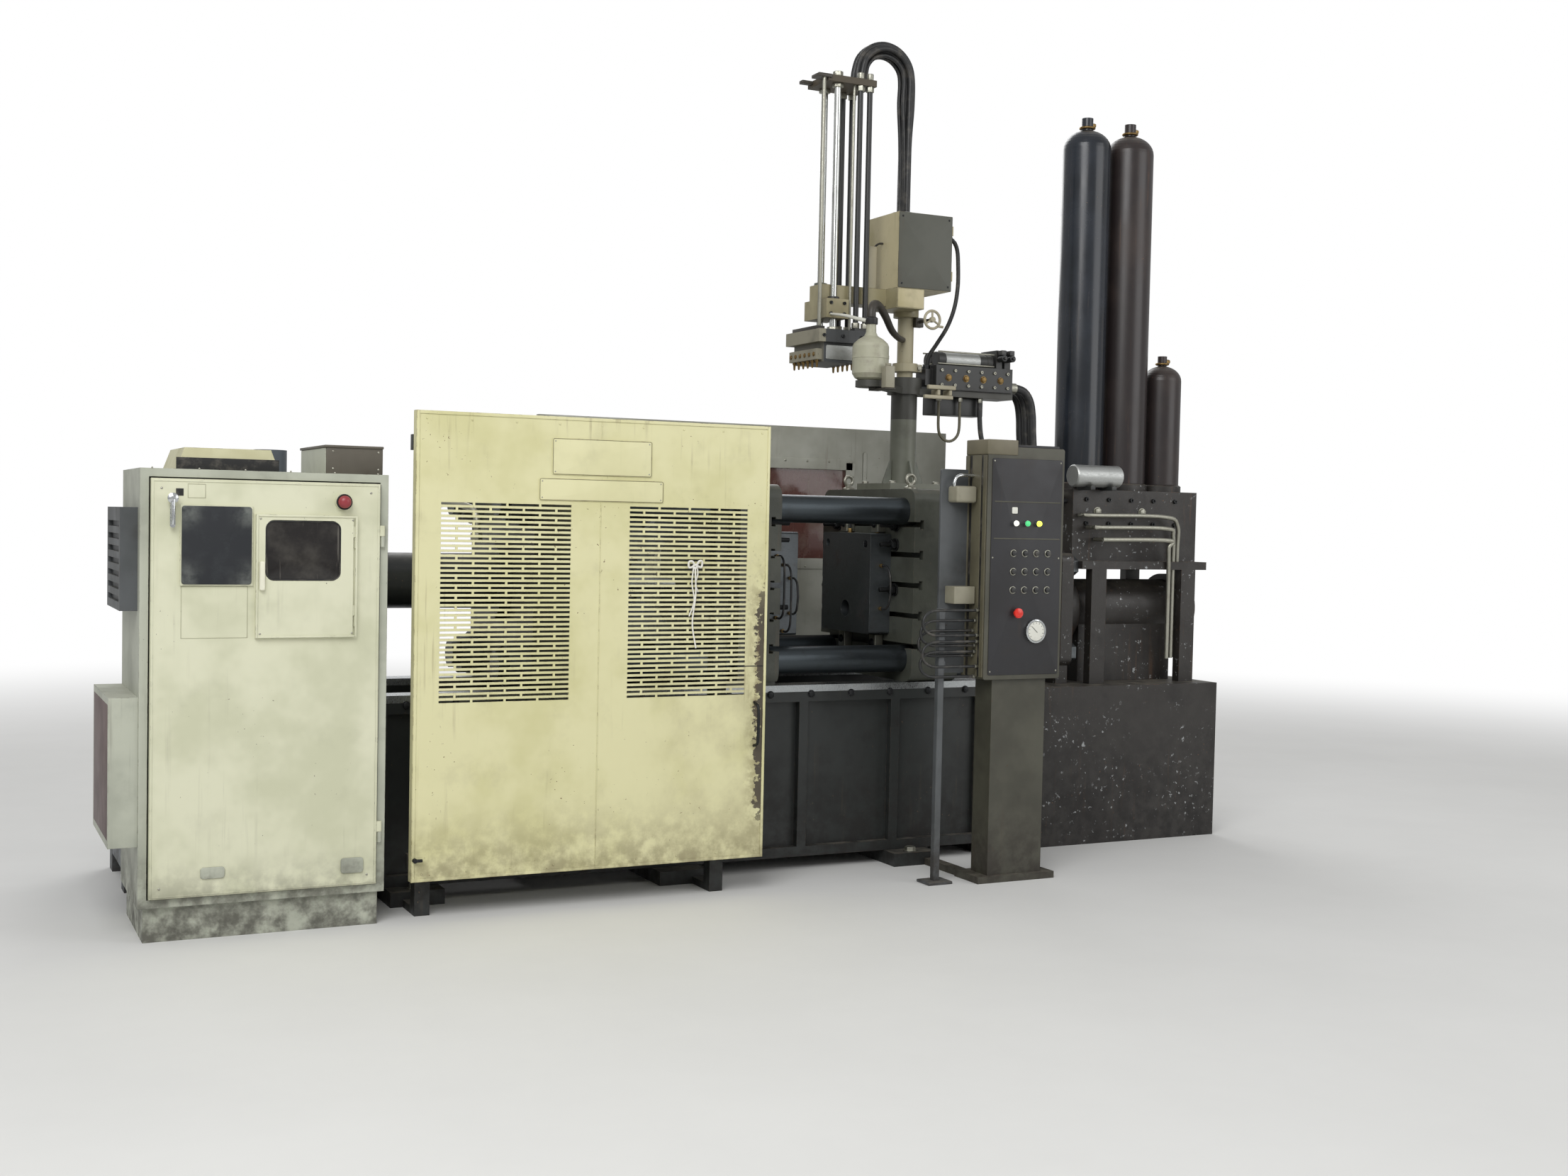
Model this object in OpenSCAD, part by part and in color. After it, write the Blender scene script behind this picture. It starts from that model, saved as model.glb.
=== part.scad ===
// Cold-chamber die casting machine of about 250 tonnes, with a toggle clamp.
// X runs along the machine, from the clamp at low X to the injection end at high X.
// The operator stands at low Y. The origin is on the floor, below the die face of the fixed platen.
// Everything is drawn with the dies open, the safety door slid back and the spray head raised.

/* [Clamp] */
// Height of the machine's centre line above the floor
centre_z = 1275; // [1150:5:1400]
// Spacing of the four tie bars, both across and up
tie_pitch = 680; // [660:5:720]
// Diameter of a tie bar
tie_d = 125; // [100:1:140]
// Side of the square platens
platen_side = 890; // [870:5:960]
// Radius of the platens' corners
platen_corner_r = 60; // [20:1:80]
// Thickness of the fixed platen
fixed_platen_t = 250; // [200:5:300]
// Thickness of the moving platen
moving_platen_t = 200; // [160:5:260]
// Thickness of the end platen
end_platen_t = 220; // [180:5:280]
// Length of thread that a tie bar shows past its nut
tie_end = 40; // [20:1:80]
// Thickness of a tie bar nut
tie_nut_t = 90; // [60:1:120]
// Diameter of a tie bar nut
tie_nut_d = 195; // [170:1:210]
// Pitch of the clamping slots in the platens
slot_pitch = 140; // [120:5:160]
// Width of the neck of a clamping slot
slot_neck = 24; // [18:1:30]

/* [Toggle] */
// Travel of the moving platen from open to closed
die_stroke = 375; // [330:5:385]
// Length of a rear link between its pins
rear_link_l = 300; // [285:1:315]
// Length of a front link between its pins
front_link_l = 400; // [385:1:430]
// Height of the rear pins above the centre line
rear_pin_rise = 380; // [365:1:395]
// Height of the front pins above the centre line
front_pin_rise = 350; // [340:1:365]
// Radius of a main link eye
eye_r = 62; // [50:1:70]
// Diameter of a main pin
main_pin_d = 84; // [60:1:90]
// Thickness of a main link plate
link_t = 50; // [30:1:60]
// Width of a link between its eyes, as a share of its eyes
link_waist = 0.9; // [0.8:0.01:0.96]
// Distance from the rear pin to the arm pin of a rear link
arm_l = 150; // [140:1:165]
// Angle between a rear link and its arm
arm_angle = 18; // [12:1:22]
// Length of a short link between its pins
short_link_l = 150; // [145:1:170]
// Radius of a short link eye
short_eye_r = 42; // [36:1:48]
// Diameter of the crosshead pins
short_pin_d = 56; // [40:1:60]
// Thickness of a short link plate
short_link_t = 36; // [24:1:45]
// Height of the crosshead pins above the centre line
crosshead_pin_rise = 190; // [175:1:200]
// Thickness of the crosshead along the machine
crosshead_t = 100; // [80:1:110]
// Distance from the centre line to each crosshead guide rod
guide_y = 258; // [250:1:270]
// Diameter of a crosshead guide rod
guide_d = 50; // [40:1:60]
// Half width of the centre lug that carries the front pins
lug_half = 50; // [40:1:60]
// Reach of the front pins behind the moving platen
front_lug_reach = 90; // [80:1:110]
// Reach of the rear pins ahead of the end platen
rear_lug_reach = 300; // [290:1:330]
// Radius of the lugs round the pins
lug_r = 68; // [60:1:72]
// Outer diameter of the clamp cylinder
clamp_cyl_d = 235; // [200:5:270]
// Diameter of the clamp cylinder's rod
clamp_rod_d = 70; // [50:1:80]
// Length of the clamp cylinder behind the end platen
clamp_cyl_l = 560; // [500:5:640]

/* [Dies] */
// Thickness of the fixed die half
fixed_die_t = 110; // [90:5:115]
// Thickness of the moving die half
moving_die_t = 190; // [150:5:230]
// Side of the square die blocks
die_side = 470; // [400:5:500]
// Gap between the die halves when the clamp is closed
die_touch_gap = 5; // [5:1:10]

/* [Bed] */
// Low end of the clamp bed, left of the fixed platen's die face
bed_tail = 2450; // [2420:5:2480]
// High end of the clamp bed, right of the fixed platen's die face
bed_nose = 430; // [400:5:450]
// Half the width of the bed over its two beams
bed_half_w = 420; // [400:5:440]
// Width of one beam's flanges
beam_w = 120; // [100:5:140]
// Thickness of a beam's web
beam_web = 50; // [30:1:60]
// Thickness of a beam's flanges
beam_flange = 45; // [30:1:60]
// Height of the slide strips on the beams
way_t = 30; // [20:1:40]
// Thickness of the foot plates
foot_t = 60; // [40:1:80]
// Width of a foot plate along the machine
foot_w = 220; // [160:5:260]
// Half the length of a foot plate across the machine
foot_half_l = 520; // [500:5:560]
// Diameter of an anchor bolt hole
anchor_d = 28; // [20:1:36]
// Distance of the anchor holes from the centre line
anchor_y = 470; // [460:5:480]
// Distance between the first and the last foot plate
foot_span = 2300; // [2250:5:2330]
// Thickness of a bed cross member
cross_t = 90; // [60:5:100]
// Height of the casting chute's lower edge above the floor
chute_z = 360; // [330:5:380]
// Rise of the casting chute across the bed
chute_rise = 280; // [240:5:300]
// Thickness of the casting chute
chute_t = 12; // [6:1:16]

/* [Front safety door] */
// Width of the door
door_w = 1490; // [1460:5:1520]
// Height of the door
door_h = 1800; // [1760:5:1840]
// Height of the door's lower edge above the floor
door_z = 150; // [140:5:170]
// Distance of the door's front from the centre line
door_y = 780; // [760:5:780]
// Depth of the door's folded edges
door_t = 40; // [30:1:45]
// Thickness of the door's front sheet
sheet_t = 4; // [3:0.5:6]
// Distance from the fixed platen's die face to the open door
door_back = 907; // [890:5:930]
// Travel of the door to cover the dies
door_travel = 900; // [850:5:900]
// Number of slot rows in each grille
slot_rows = 41; // [31:2:41]
// Pitch of the slot rows
slot_row_pitch = 19; // [18:0.5:19]
// Height of one slot
slot_h = 9; // [6:0.5:10]
// Length of one slot
slot_l = 123.5; // [110:0.5:126]
// Width of the web between slots
slot_web = 9.5; // [6:0.5:12]
// Height of the grille's lowest slot row above the door's lower edge
grille_z = 685; // [660:5:700]
// Distance from the door's middle to the middle of each grille
grille_x = 385; // [375:5:395]
// Height of a door rail
rail_h = 60; // [50:1:70]
// Thickness of a door rail
rail_t = 30; // [25:1:35]
// Width of a rail post and of a leg of the rear guard
post_w = 60; // [50:1:65]
// Width of a door runner
runner_w = 80; // [70:1:90]
// Thickness of a runner's lips
runner_lip = 20; // [15:1:25]

/* [Rear guard] */
// Width of the rear guard
rear_guard_w = 2300; // [2200:10:2400]
// Height of the rear guard's top above the floor
rear_guard_top = 2050; // [2000:5:2100]
// Distance of the rear guard from the centre line
rear_guard_y = 750; // [730:5:800]
// Depth of the rear guard's frame
rear_guard_t = 40; // [30:1:60]
// Width of the rear guard's window
rear_window_w = 900; // [700:10:1000]
// Height of the rear guard's window
rear_window_h = 520; // [400:10:560]
// Distance of the window's middle from the fixed platen's die face, to the left
rear_window_x = 135; // [100:5:170]
// Height of the window's middle above the floor
rear_window_z = 1600; // [1550:5:1650]
// Reach of the rear guard past the fixed platen
rear_guard_nose = 650; // [600:5:700]
// Thickness of the window pane
pane_t = 8; // [5:1:12]

/* [Control cabinet] */
// Width of the cabinet
cab_w = 880; // [860:5:900]
// Depth of the cabinet
cab_d = 550; // [500:5:580]
// Height of the cabinet's top above the floor
cab_top = 1700; // [1660:5:1720]
// Height of the cabinet's plinth
plinth_h = 128; // [100:1:140]
// Distance from the fixed platen's die face to the cabinet
cab_back = 2500; // [2490:5:2520]
// Thickness of the cabinet's walls
cab_wall = 20; // [15:1:30]
// Width of the frame round the cabinet's door
cab_rim = 30; // [25:1:34]
// Thickness of the cabinet's door
cab_door_t = 30; // [24:1:36]
// Gap round the cabinet's door
cab_gap = 5; // [5:0.5:7]
// How far the cabinet's door stands out of its frame
cab_door_out = 20; // [15:1:22]
// Width of the window flap
flap_w = 351; // [330:1:360]
// Height of the window flap
flap_h = 450; // [430:1:470]
// Thickness of the window flap
flap_t = 14; // [10:1:18]
// Distance of the flap from the hinged side of the door
flap_in = 106; // [95:1:115]
// Height of the flap's lower edge above the lower edge of the door
flap_up = 936; // [900:1:960]
// Gap between the flap and the pad beside it
pad_gap = 10; // [5:1:15]
// Width of the flap's glass
flap_glass_w = 266; // [240:1:275]
// Height of the flap's glass
flap_glass_h = 221; // [200:1:235]
// Side of the square vent pad
vent_pad_w = 250; // [230:1:260]
// Height of the vent pad
vent_pad_h = 288; // [260:1:300]
// Diameter of the door lamp
door_lamp_d = 60; // [40:1:70]
// Width of the hood on the cabinet's top
hood_w = 364; // [330:1:380]
// Height of the hood on the cabinet's top
hood_h = 80; // [60:1:100]
// Distance of the hood from the cabinet's left side
hood_in = 130; // [100:5:160]
// Slope of the hood's ends
hood_slope = 30; // [10:1:40]
// Depth of the box on the cabinet's left side
side_box_t = 100; // [80:5:110]
// Height of the side box's underside above the floor
side_box_z = 350; // [320:5:380]
// Height of the side box
side_box_h = 535; // [500:5:560]
// Depth of the louvre box
louvre_t = 60; // [50:1:70]
// Height of the louvre box's underside above the floor
louvre_z = 1190; // [1150:5:1220]
// Height of the louvre box
louvre_h = 370; // [350:5:390]
// Distance between louvres
louvre_pitch = 45; // [40:1:48]
// Length of the latch lever
latch_l = 96; // [80:1:110]

/* [Power unit] */
// Length of the oil tank along the machine
tank_l = 800; // [760:5:820]
// Width of the oil tank
tank_w = 880; // [800:5:900]
// Height of the oil tank
tank_h = 720; // [680:5:760]
// Diameter of the pump motor
motor_d = 340; // [300:5:360]
// Length of the pump motor
motor_l = 480; // [440:5:500]
// Number of cooling fins round the pump motor
motor_fins = 24; // [16:2:32]
// Height of the skids below the tank
skid_h = 80; // [70:1:90]
// Width of the valve tower along the machine
tower_w = 240; // [220:5:260]
// Depth of the valve tower across the machine
tower_d = 280; // [260:5:300]
// Height of the valve tower above the tank
tower_h = 700; // [650:5:740]
// Height of the valves on the tower
valve_h = 140; // [120:5:160]
// Diameter of the small accumulator on the valves
tank_bottle_d = 140; // [120:5:160]
// Height of the small accumulator on the valves
tank_bottle_h = 260; // [240:5:280]

/* [Injection] */
// Height of the shot axis below the machine's centre line
shot_drop = 125; // [100:5:140]
// Inner diameter of the shot sleeve
sleeve_bore = 80; // [60:1:90]
// Outer diameter of the shot sleeve
sleeve_d = 150; // [140:1:165]
// Length of the shot sleeve behind the fixed platen
sleeve_l = 230; // [215:5:245]
// Length of the pour hole in the shot sleeve
pour_l = 95; // [80:5:110]
// Distance of the pouring opening from the sleeve's end
pour_end = 60; // [50:1:70]
// Length of the plunger's tip
plunger_tip_l = 90; // [70:5:100]
// Travel of the plunger
shot_stroke = 420; // [350:5:425]
// Diameter of the plunger rod
plunger_rod_d = 60; // [40:1:60]
// Outer diameter of the shot cylinder
shot_cyl_d = 290; // [250:5:320]
// Length of the shot cylinder
shot_cyl_l = 820; // [780:5:860]
// Length of the open injection frame between its flanges
frame_l = 800; // [795:5:850]
// Width of the injection frame's flanges
frame_w = 470; // [450:5:475]
// Height of the injection frame's flanges
frame_h = 560; // [540:5:600]
// Thickness of the injection frame's flanges
frame_flange_t = 70; // [50:5:90]
// Diameter of the injection frame's four bars
frame_bar_d = 75; // [60:1:90]
// Spacing of the injection frame's bars, across
frame_bar_across = 345; // [340:5:360]
// Spacing of the injection frame's bars, up
frame_bar_up = 430; // [420:5:450]
// Height of the injection base
inj_base_h = 780; // [740:5:800]
// Half width of the injection base
inj_base_half_w = 360; // [320:5:400]

/* [Accumulators] */
// Diameter of a tall pressure bottle
bottle_d = 244; // [220:1:250]
// Height of a tall bottle's top above the floor
bottle_top = 3630; // [3500:5:3700]
// Distance of the first tall bottle from the fixed platen's die face
bottle_x = 1230; // [1200:5:1240]
// Distance between the two tall bottles
bottle_pitch = 270; // [262:1:280]
// Diameter of the short bottle
short_bottle_d = 200; // [180:1:205]
// Distance of the short bottle from the second tall bottle
short_bottle_step = 250; // [240:1:260]
// Height of the short bottle's top above the floor
short_bottle_top = 2460; // [2300:5:2500]
// Height of the manifold that carries the bottles
manifold_top = 1750; // [1700:5:1800]
// Width of the manifold
manifold_w = 320; // [280:5:360]

/* [Spray unit] */
// Distance of the spray post from the fixed platen's die face
post_x = 190; // [170:5:200]
// Diameter of the lower post
post_d = 126; // [110:1:140]
// Height of the lower post
post_h = 520; // [490:5:560]
// Diameter of the upper pipe
pipe_d = 78; // [60:1:90]
// Height of the upper pipe above the lower post
pipe_h = 310; // [290:5:320]
// Height of the arm on the pipe
arm_h = 120; // [100:5:140]
// Width of the valve box along the machine
box_w = 295; // [270:5:320]
// Depth of the valve box across the machine
box_d = 330; // [300:5:350]
// Height of the valve box
box_h = 355; // [320:5:380]
// Distance of the lift rods from the fixed platen's die face, to the left
lift_x = 245; // [235:5:255]
// Distance between the two lift rods
lift_pitch = 130; // [120:5:140]
// Diameter of a lift rod
lift_rod_d = 32; // [20:1:36]
// Diameter of a hose pipe beside the lift rods
lift_pipe_d = 26; // [16:1:30]
// Distance of the outer hose pipes from the fixed platen's die face, to the left
lift_pipe_x = 85; // [82:1:95]
// Travel of the spray head
spray_travel = 880; // [800:5:900]
// Length of the lift rods above the guide block with the head lowered
lift_spare = 120; // [100:5:140]
// Thickness of the plate on top of the lift rods
lift_plate_t = 30; // [20:1:40]
// Length of the spray head along the machine
head_l = 250; // [220:5:260]
// Width of the spray head across the machine
head_w = 340; // [300:5:400]
// Height of the spray head
head_h = 150; // [130:5:165]
// Height of the spray head's underside above the floor
head_z = 2300; // [2280:5:2320]
// Diameter of the lubricant bottle
lube_d = 168; // [150:1:175]
// Height of the lubricant bottle up to its shoulder
lube_h = 170; // [150:5:180]
// Distance of the lubricant bottle from the fixed platen's die face, to the left
lube_x = 170; // [160:5:185]
// Distance of the lubricant bottle from the centre line
lube_y = 300; // [285:5:320]
// Reach of the shelf beside the post
shelf_reach = 580; // [560:5:600]
// Width of the shelf across the machine
shelf_w = 140; // [120:5:160]
// Length of the valve stack on the shelf
stack_l = 440; // [400:5:445]
// Width of the valve stack across the machine
stack_w = 160; // [150:5:180]
// Height of the valve stack's lower block
stack_h = 120; // [110:5:130]
// Diameter of the cylinders on the valve stack
stack_cyl_d = 70; // [60:1:76]

/* [Operator panel] */
// Width of the operator panel
panel_w = 400; // [370:5:420]
// Depth of the operator panel
panel_d = 170; // [150:5:190]
// Height of the operator panel's top above the floor
panel_top = 1900; // [1860:5:1940]
// Height of the operator panel's lower edge above the floor
panel_z = 890; // [870:5:900]
// Distance of the panel from the fixed platen's die face
panel_x = 40; // [30:5:60]
// Distance of the panel's front from the centre line
panel_y = 980; // [975:5:1000]
// Diameter of a panel lamp
lamp_d = 26; // [18:1:32]

/* [Clearances] */
// Radial gap of a sliding or turning fit
fit = 0.5; // [0.3:0.1:0.8]
// Gap between a piece and the seat it rests on
seat = 0.3; // [0.2:0.05:0.4]
// Side gap between links and lugs
side_gap = 5; // [5:0.5:6]

/* [Hidden] */
$fn = 64;

deck_z = centre_z - platen_side / 2;
platen_top = centre_z + platen_side / 2;
tie_at = tie_pitch / 2;
shot_z = centre_z - shot_drop;

// Along the clamp, worked out from the fixed platen's die face at zero.
die_face_x = -(fixed_die_t + die_touch_gap + die_stroke);
moving_x1 = die_face_x - moving_die_t;
moving_x0 = moving_x1 - moving_platen_t;
front_pin_x = moving_x0 - front_lug_reach;
pin_drop = rear_pin_rise - front_pin_rise;
closed_reach = sqrt(pow(rear_link_l + front_link_l, 2) - pow(pin_drop, 2));
open_reach = closed_reach - die_stroke;
open_span = norm([open_reach, pin_drop]);
rear_pin_x = front_pin_x - open_reach;
end_x1 = rear_pin_x - rear_lug_reach;
end_x0 = end_x1 - end_platen_t;

// The upper links with the dies open, heights taken from the centre line.
fold = acos((pow(rear_link_l, 2) + pow(open_span, 2) - pow(front_link_l, 2)) / (2 * rear_link_l * open_span));
rear_tilt = -atan2(pin_drop, open_reach) - fold;
rear_tilt_closed = -atan2(pin_drop, closed_reach);
rear_pin = [rear_pin_x, rear_pin_rise];
front_pin = [front_pin_x, front_pin_rise];
knee = rear_pin + rear_link_l * [cos(rear_tilt), sin(rear_tilt)];
arm_pin = rear_pin + arm_l * [cos(rear_tilt - arm_angle), sin(rear_tilt - arm_angle)];
arm_pin_closed = rear_pin + arm_l * [cos(rear_tilt_closed - arm_angle), sin(rear_tilt_closed - arm_angle)];
crosshead_pin = [arm_pin[0] - sqrt(pow(short_link_l, 2) - pow(arm_pin[1] - crosshead_pin_rise, 2)),
    crosshead_pin_rise];
crosshead_closed_x = arm_pin_closed[0]
    - sqrt(pow(short_link_l, 2) - pow(arm_pin_closed[1] - crosshead_pin_rise, 2));
crosshead_travel = crosshead_closed_x - crosshead_pin[0];

// Layers of the links, as distances from the machine's middle plane.
front_layer = lug_half + side_gap;
rear_layer = front_layer + link_t + side_gap;
short_layer = rear_layer + link_t + side_gap;
link_outer = short_layer + short_link_t;
cap_t = 12;

// Doors and cabinet.
door_x0 = -(door_back + door_w);
cab_x1 = -cab_back;
cab_x0 = cab_x1 - cab_w;
cab_y0 = -door_y;
cab_open_x0 = cab_x0 + cab_rim;
cab_open_x1 = cab_x1 - cab_rim;
cab_open_z0 = plinth_h + cab_rim;
cab_open_z1 = cab_top - cab_rim;
cab_door_y = cab_y0 - cab_door_out;
hinge_r = 9;
cab_hinge = [cab_open_x1 + 7, cab_y0 - hinge_r - seat];
flap_x1 = cab_open_x1 - flap_in;
flap_z0 = cab_open_z0 + flap_up;
flap_hinge = [flap_x1 + 9, cab_door_y - 6 - seat];
latch_at = [cab_open_x0 + 75, cab_open_z1 - 75];

// Injection end.
knuckle_h = 40;
cab_hinge_z = [cab_open_z0 + 160, cab_open_z1 - 240];
flap_hinge_z = [flap_z0 + 40, flap_z0 + flap_h - 120];
flap_hinge_r = 6;
pad_x1 = flap_x1 - flap_w - pad_gap;
pad_z0 = flap_z0 + 190;
louvres = floor((louvre_h - 50) / louvre_pitch);

// Bed, rails and guards
foot_at = [for (i = [0 : 2]) -foot_span + i * foot_span / 2];
cross_at = [-bed_tail + 60, end_x0, moving_x0 - 60, fixed_platen_t / 2];
rail_back = -door_y + door_t + 15;
rail_z = [door_z + 40, door_z + door_h - 150];
runner_gap = 6;
rail_x1 = -door_back - 10;
rail_post_x = [foot_at[0] - post_w, foot_at[1] + 40];
runner_x = [door_x0 + 100, rail_x1 - door_travel - 2 * runner_w];
rear_guard_x1 = fixed_platen_t + rear_guard_nose;
rear_guard_x0 = rear_guard_x1 - rear_guard_w;

// Power unit
tank_x1 = cab_x1 - 30;
tank_y0 = cab_y0 + cab_d + 60;
motor_y = tank_y0 + 260;
motor_z = tank_h + motor_d / 2 + 70;

// Injection end
frame_x0 = fixed_platen_t;
frame_x1 = frame_x0 + frame_l;
shot_cyl_x1 = frame_x1 + shot_cyl_l;
manifold_x0 = bottle_x - bottle_d / 2 - 20;
short_bottle_x = bottle_x + bottle_pitch + short_bottle_step;
manifold_x1 = short_bottle_x + short_bottle_d / 2 + 20;
plunger_x = frame_x0 + sleeve_l - pour_end + side_gap;
coupling_x = frame_x0 + sleeve_l + shot_stroke + side_gap;

// Spray unit.
post_top = platen_top + post_h;
arm_z = post_top + pipe_h;
box_z = arm_z + arm_h;
box_x0 = post_x - box_w / 2;
guide_z = arm_z - 40;
guide_h = 90;
shelf_t = 30;
shelf_z = post_top - 30;
stack_x1 = post_x + shelf_reach - 10;
lift_top = guide_z + guide_h + spray_travel + lift_spare + lift_plate_t;

// Routes of the hoses: the arch from the valve box to the lift rods' top plate, and the supply
// hoses from the valve stack to the manifold below the bottles.
arch_d = 85;
arch_from = [160, 0, box_z + box_h + seat];
arch_to = [-lift_pipe_x - 10, 0, lift_top + seat];
arch_path = [arch_from, arch_from + [0, 0, 75], [160, 0, 3220], [160, 0, 3400], [160, 0, 3560], [160, 0, 3677],
    [143, 0, 3741], [96, 0, 3787], [32, 0, 3804], [-31, 0, 3787], [-78, 0, 3741], [-95, 0, 3677],
    arch_to + [0, 0, 20], arch_to];
supply_d = 42;
supply_from = [stack_x1 + seat, 0, shelf_z + 30];
supply_to = [manifold_x0 - seat, 0, manifold_top - 30];
supply_path = [supply_from, supply_from + [40, 0, 0], [850, 0, 2225], [885, 0, 2180], [900, 0, 2110],
    [905, 0, 2020], [915, 0, 1930], [940, 0, 1850], [980, 0, 1780], [1025, 0, 1735],
    supply_to - [28, 0, 0], supply_to];
supply_y = [-52, 0, 52];

// A box from one corner to the opposite one.
module block(low, high) {
    translate(low)
        cube(high - low);
}

// A rectangle about its middle, with round corners.
module round_rect(w, h, r) {
    square([w - 2 * r, h], center = true);
    square([w, h - 2 * r], center = true);
    for (sx = [-1, 1], sy = [-1, 1])
        translate([sx * (w / 2 - r), sy * (h / 2 - r)])
            circle(r = r);
}

// An outline in X and Z, given a thickness along Y about y_mid.
module side_plate(y_mid, t) {
    translate([0, y_mid, 0])
        rotate([90, 0, 0])
            linear_extrude(t, center = true)
                children();
}

// An outline in Y and Z, given a thickness along X from x0.
module cross_plate(x0, t) {
    translate([x0, 0, 0])
        rotate([90, 0, 90])
            linear_extrude(t)
                children();
}

module rod_x(d, x0, x1) {
    translate([x0, 0, 0])
        rotate([0, 90, 0])
            cylinder(d = d, h = x1 - x0);
}

module rod_y(d, half) {
    rotate([90, 0, 0])
        cylinder(d = d, h = 2 * half, center = true);
}

// Copies its children to both sides of the middle plane.
module both_sides() {
    children();
    mirror([0, 1, 0])
        children();
}

// Places its children at the four tie bars.
module at_tie_bars() {
    for (sy = [-1, 1], sz = [-1, 1])
        translate([0, sy * tie_at, centre_z + sz * tie_at])
            children();
}

// A bar between two round eyes, as an outline. The bar is a little narrower than the eyes.
module link_outline(a, b, ra, rb) {
    along = (b - a) / norm(b - a);
    lean = acos((ra - rb) / norm(b - a));
    up = [along[0] * cos(lean) - along[1] * sin(lean), along[1] * cos(lean) + along[0] * sin(lean)];
    down = [along[0] * cos(lean) + along[1] * sin(lean), along[1] * cos(lean) - along[0] * sin(lean)];
    translate(a)
        circle(r = ra);
    translate(b)
        circle(r = rb);
    polygon([
        a + link_waist * ra * up,
        b + link_waist * rb * up,
        b + link_waist * rb * down,
        a + link_waist * ra * down
    ]);
}

// Moves an outline's origin to a point in X and Z, measured from the centre line.
module at_pin(p) {
    translate([p[0], 0, centre_z + p[1]])
        children();
}

// Mirrors the upper half of the toggle to the lower half.
module below() {
    translate([0, 0, centre_z])
        mirror([0, 0, 1])
            translate([0, 0, -centre_z])
                children();
}

// The bed is two beams of I section on cross feet, with blocks between them.
module bed_beam() {
    z0 = foot_t;
    z1 = deck_z - way_t;
    mid = bed_half_w - beam_w / 2;
    cross_plate(-bed_tail, bed_tail + bed_nose)
        polygon([[mid - beam_w / 2, z0], [mid + beam_w / 2, z0],
            [mid + beam_w / 2, z0 + beam_flange], [mid + beam_web / 2, z0 + beam_flange],
            [mid + beam_web / 2, z1 - beam_flange], [mid + beam_w / 2, z1 - beam_flange],
            [mid + beam_w / 2, z1], [mid - beam_w / 2, z1],
            [mid - beam_w / 2, z1 - beam_flange], [mid - beam_web / 2, z1 - beam_flange],
            [mid - beam_web / 2, z0 + beam_flange], [mid - beam_w / 2, z0 + beam_flange]]);
    rib_pitch = (bed_tail + bed_nose - beam_flange) / 6;
    for (i = [0 : 6])
        translate([-bed_tail + i * rib_pitch, bed_half_w - beam_w, z0])
            cube([beam_flange, beam_w, z1 - z0]);
}

module bed_beam_rear() {
    color("#2b2e2d")
        bed_beam();
}

module bed_beam_front() {
    color("#2b2e2d")
        mirror([0, 1, 0])
            bed_beam();
}

module bed_feet() {
    color("#2b2e2d")
        for (x = foot_at)
            difference() {
                block([x - foot_w / 2, -foot_half_l, 0], [x + foot_w / 2, foot_half_l, foot_t]);
                if (x == foot_at[0] || x == foot_at[2])
                    for (sy = [-1, 1])
                        translate([x, sy * anchor_y, -1])
                            cylinder(d = anchor_d, h = foot_t + 2);
            }
}

module bed_cross_members() {
    inner = bed_half_w - beam_w;
    color("#2b2e2d")
        for (x = cross_at)
            block([x, -inner, foot_t], [x + cross_t, inner, deck_z - way_t - 60]);
}

module slide_ways() {
    color("#8d9092")
        both_sides()
            block([-bed_tail + 40, bed_half_w - beam_w, deck_z - way_t], [bed_nose - 40, bed_half_w, deck_z]);
}

// A sloping tray below the dies takes the castings to the operator's side.
module casting_chute() {
    inner = bed_half_w - beam_w;
    x0 = cross_at[2] + cross_t + 60;
    x1 = cross_at[3] - 60;
    color("#3a3c3b")
        cross_plate(x0, x1 - x0)
            polygon([[-inner, chute_z], [inner, chute_z + chute_rise], [inner, chute_z + chute_rise + chute_t],
                [-inner, chute_z + chute_t]]);
}

module platen_outline() {
    translate([0, centre_z])
        round_rect(platen_side, platen_side, platen_corner_r);
}

module tie_bores(x0, x1) {
    at_tie_bars()
        rod_x(tie_d + 2 * fit, x0, x1);
}

// Clamping slots across a platen's face, open at both sides, with a wide foot behind a narrow neck.
module t_slots(face_x, inward) {
    for (i = [-2 : 2])
        translate([face_x, 0, centre_z + i * slot_pitch]) {
            translate([inward * 16, 0, 0])
                cube([34, platen_side + 2, slot_neck], center = true);
            translate([inward * 40, 0, 0])
                cube([20, platen_side + 2, slot_neck * 1.7], center = true);
        }
}

module fixed_platen() {
    color("#3a3d38")
        difference() {
            cross_plate(0, fixed_platen_t)
                platen_outline();
            tie_bores(-1, fixed_platen_t + 1);
            translate([0, 0, shot_z])
                rod_x(sleeve_d + 2 * fit, -1, fixed_platen_t + 1);
            t_slots(0, 1);
        }
}

// Lugs reach from a platen's face at x0 to its pins, above the centre line.
module lug_outline(face_x, pin) {
    toward = face_x > pin[0] ? 1 : -1;
    translate([pin[0], centre_z + pin[1]])
        circle(r = lug_r);
    translate([(face_x + toward * 10 + pin[0]) / 2, centre_z + pin[1]])
        square([abs(face_x + toward * 10 - pin[0]), 2 * lug_r], center = true);
}

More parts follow.
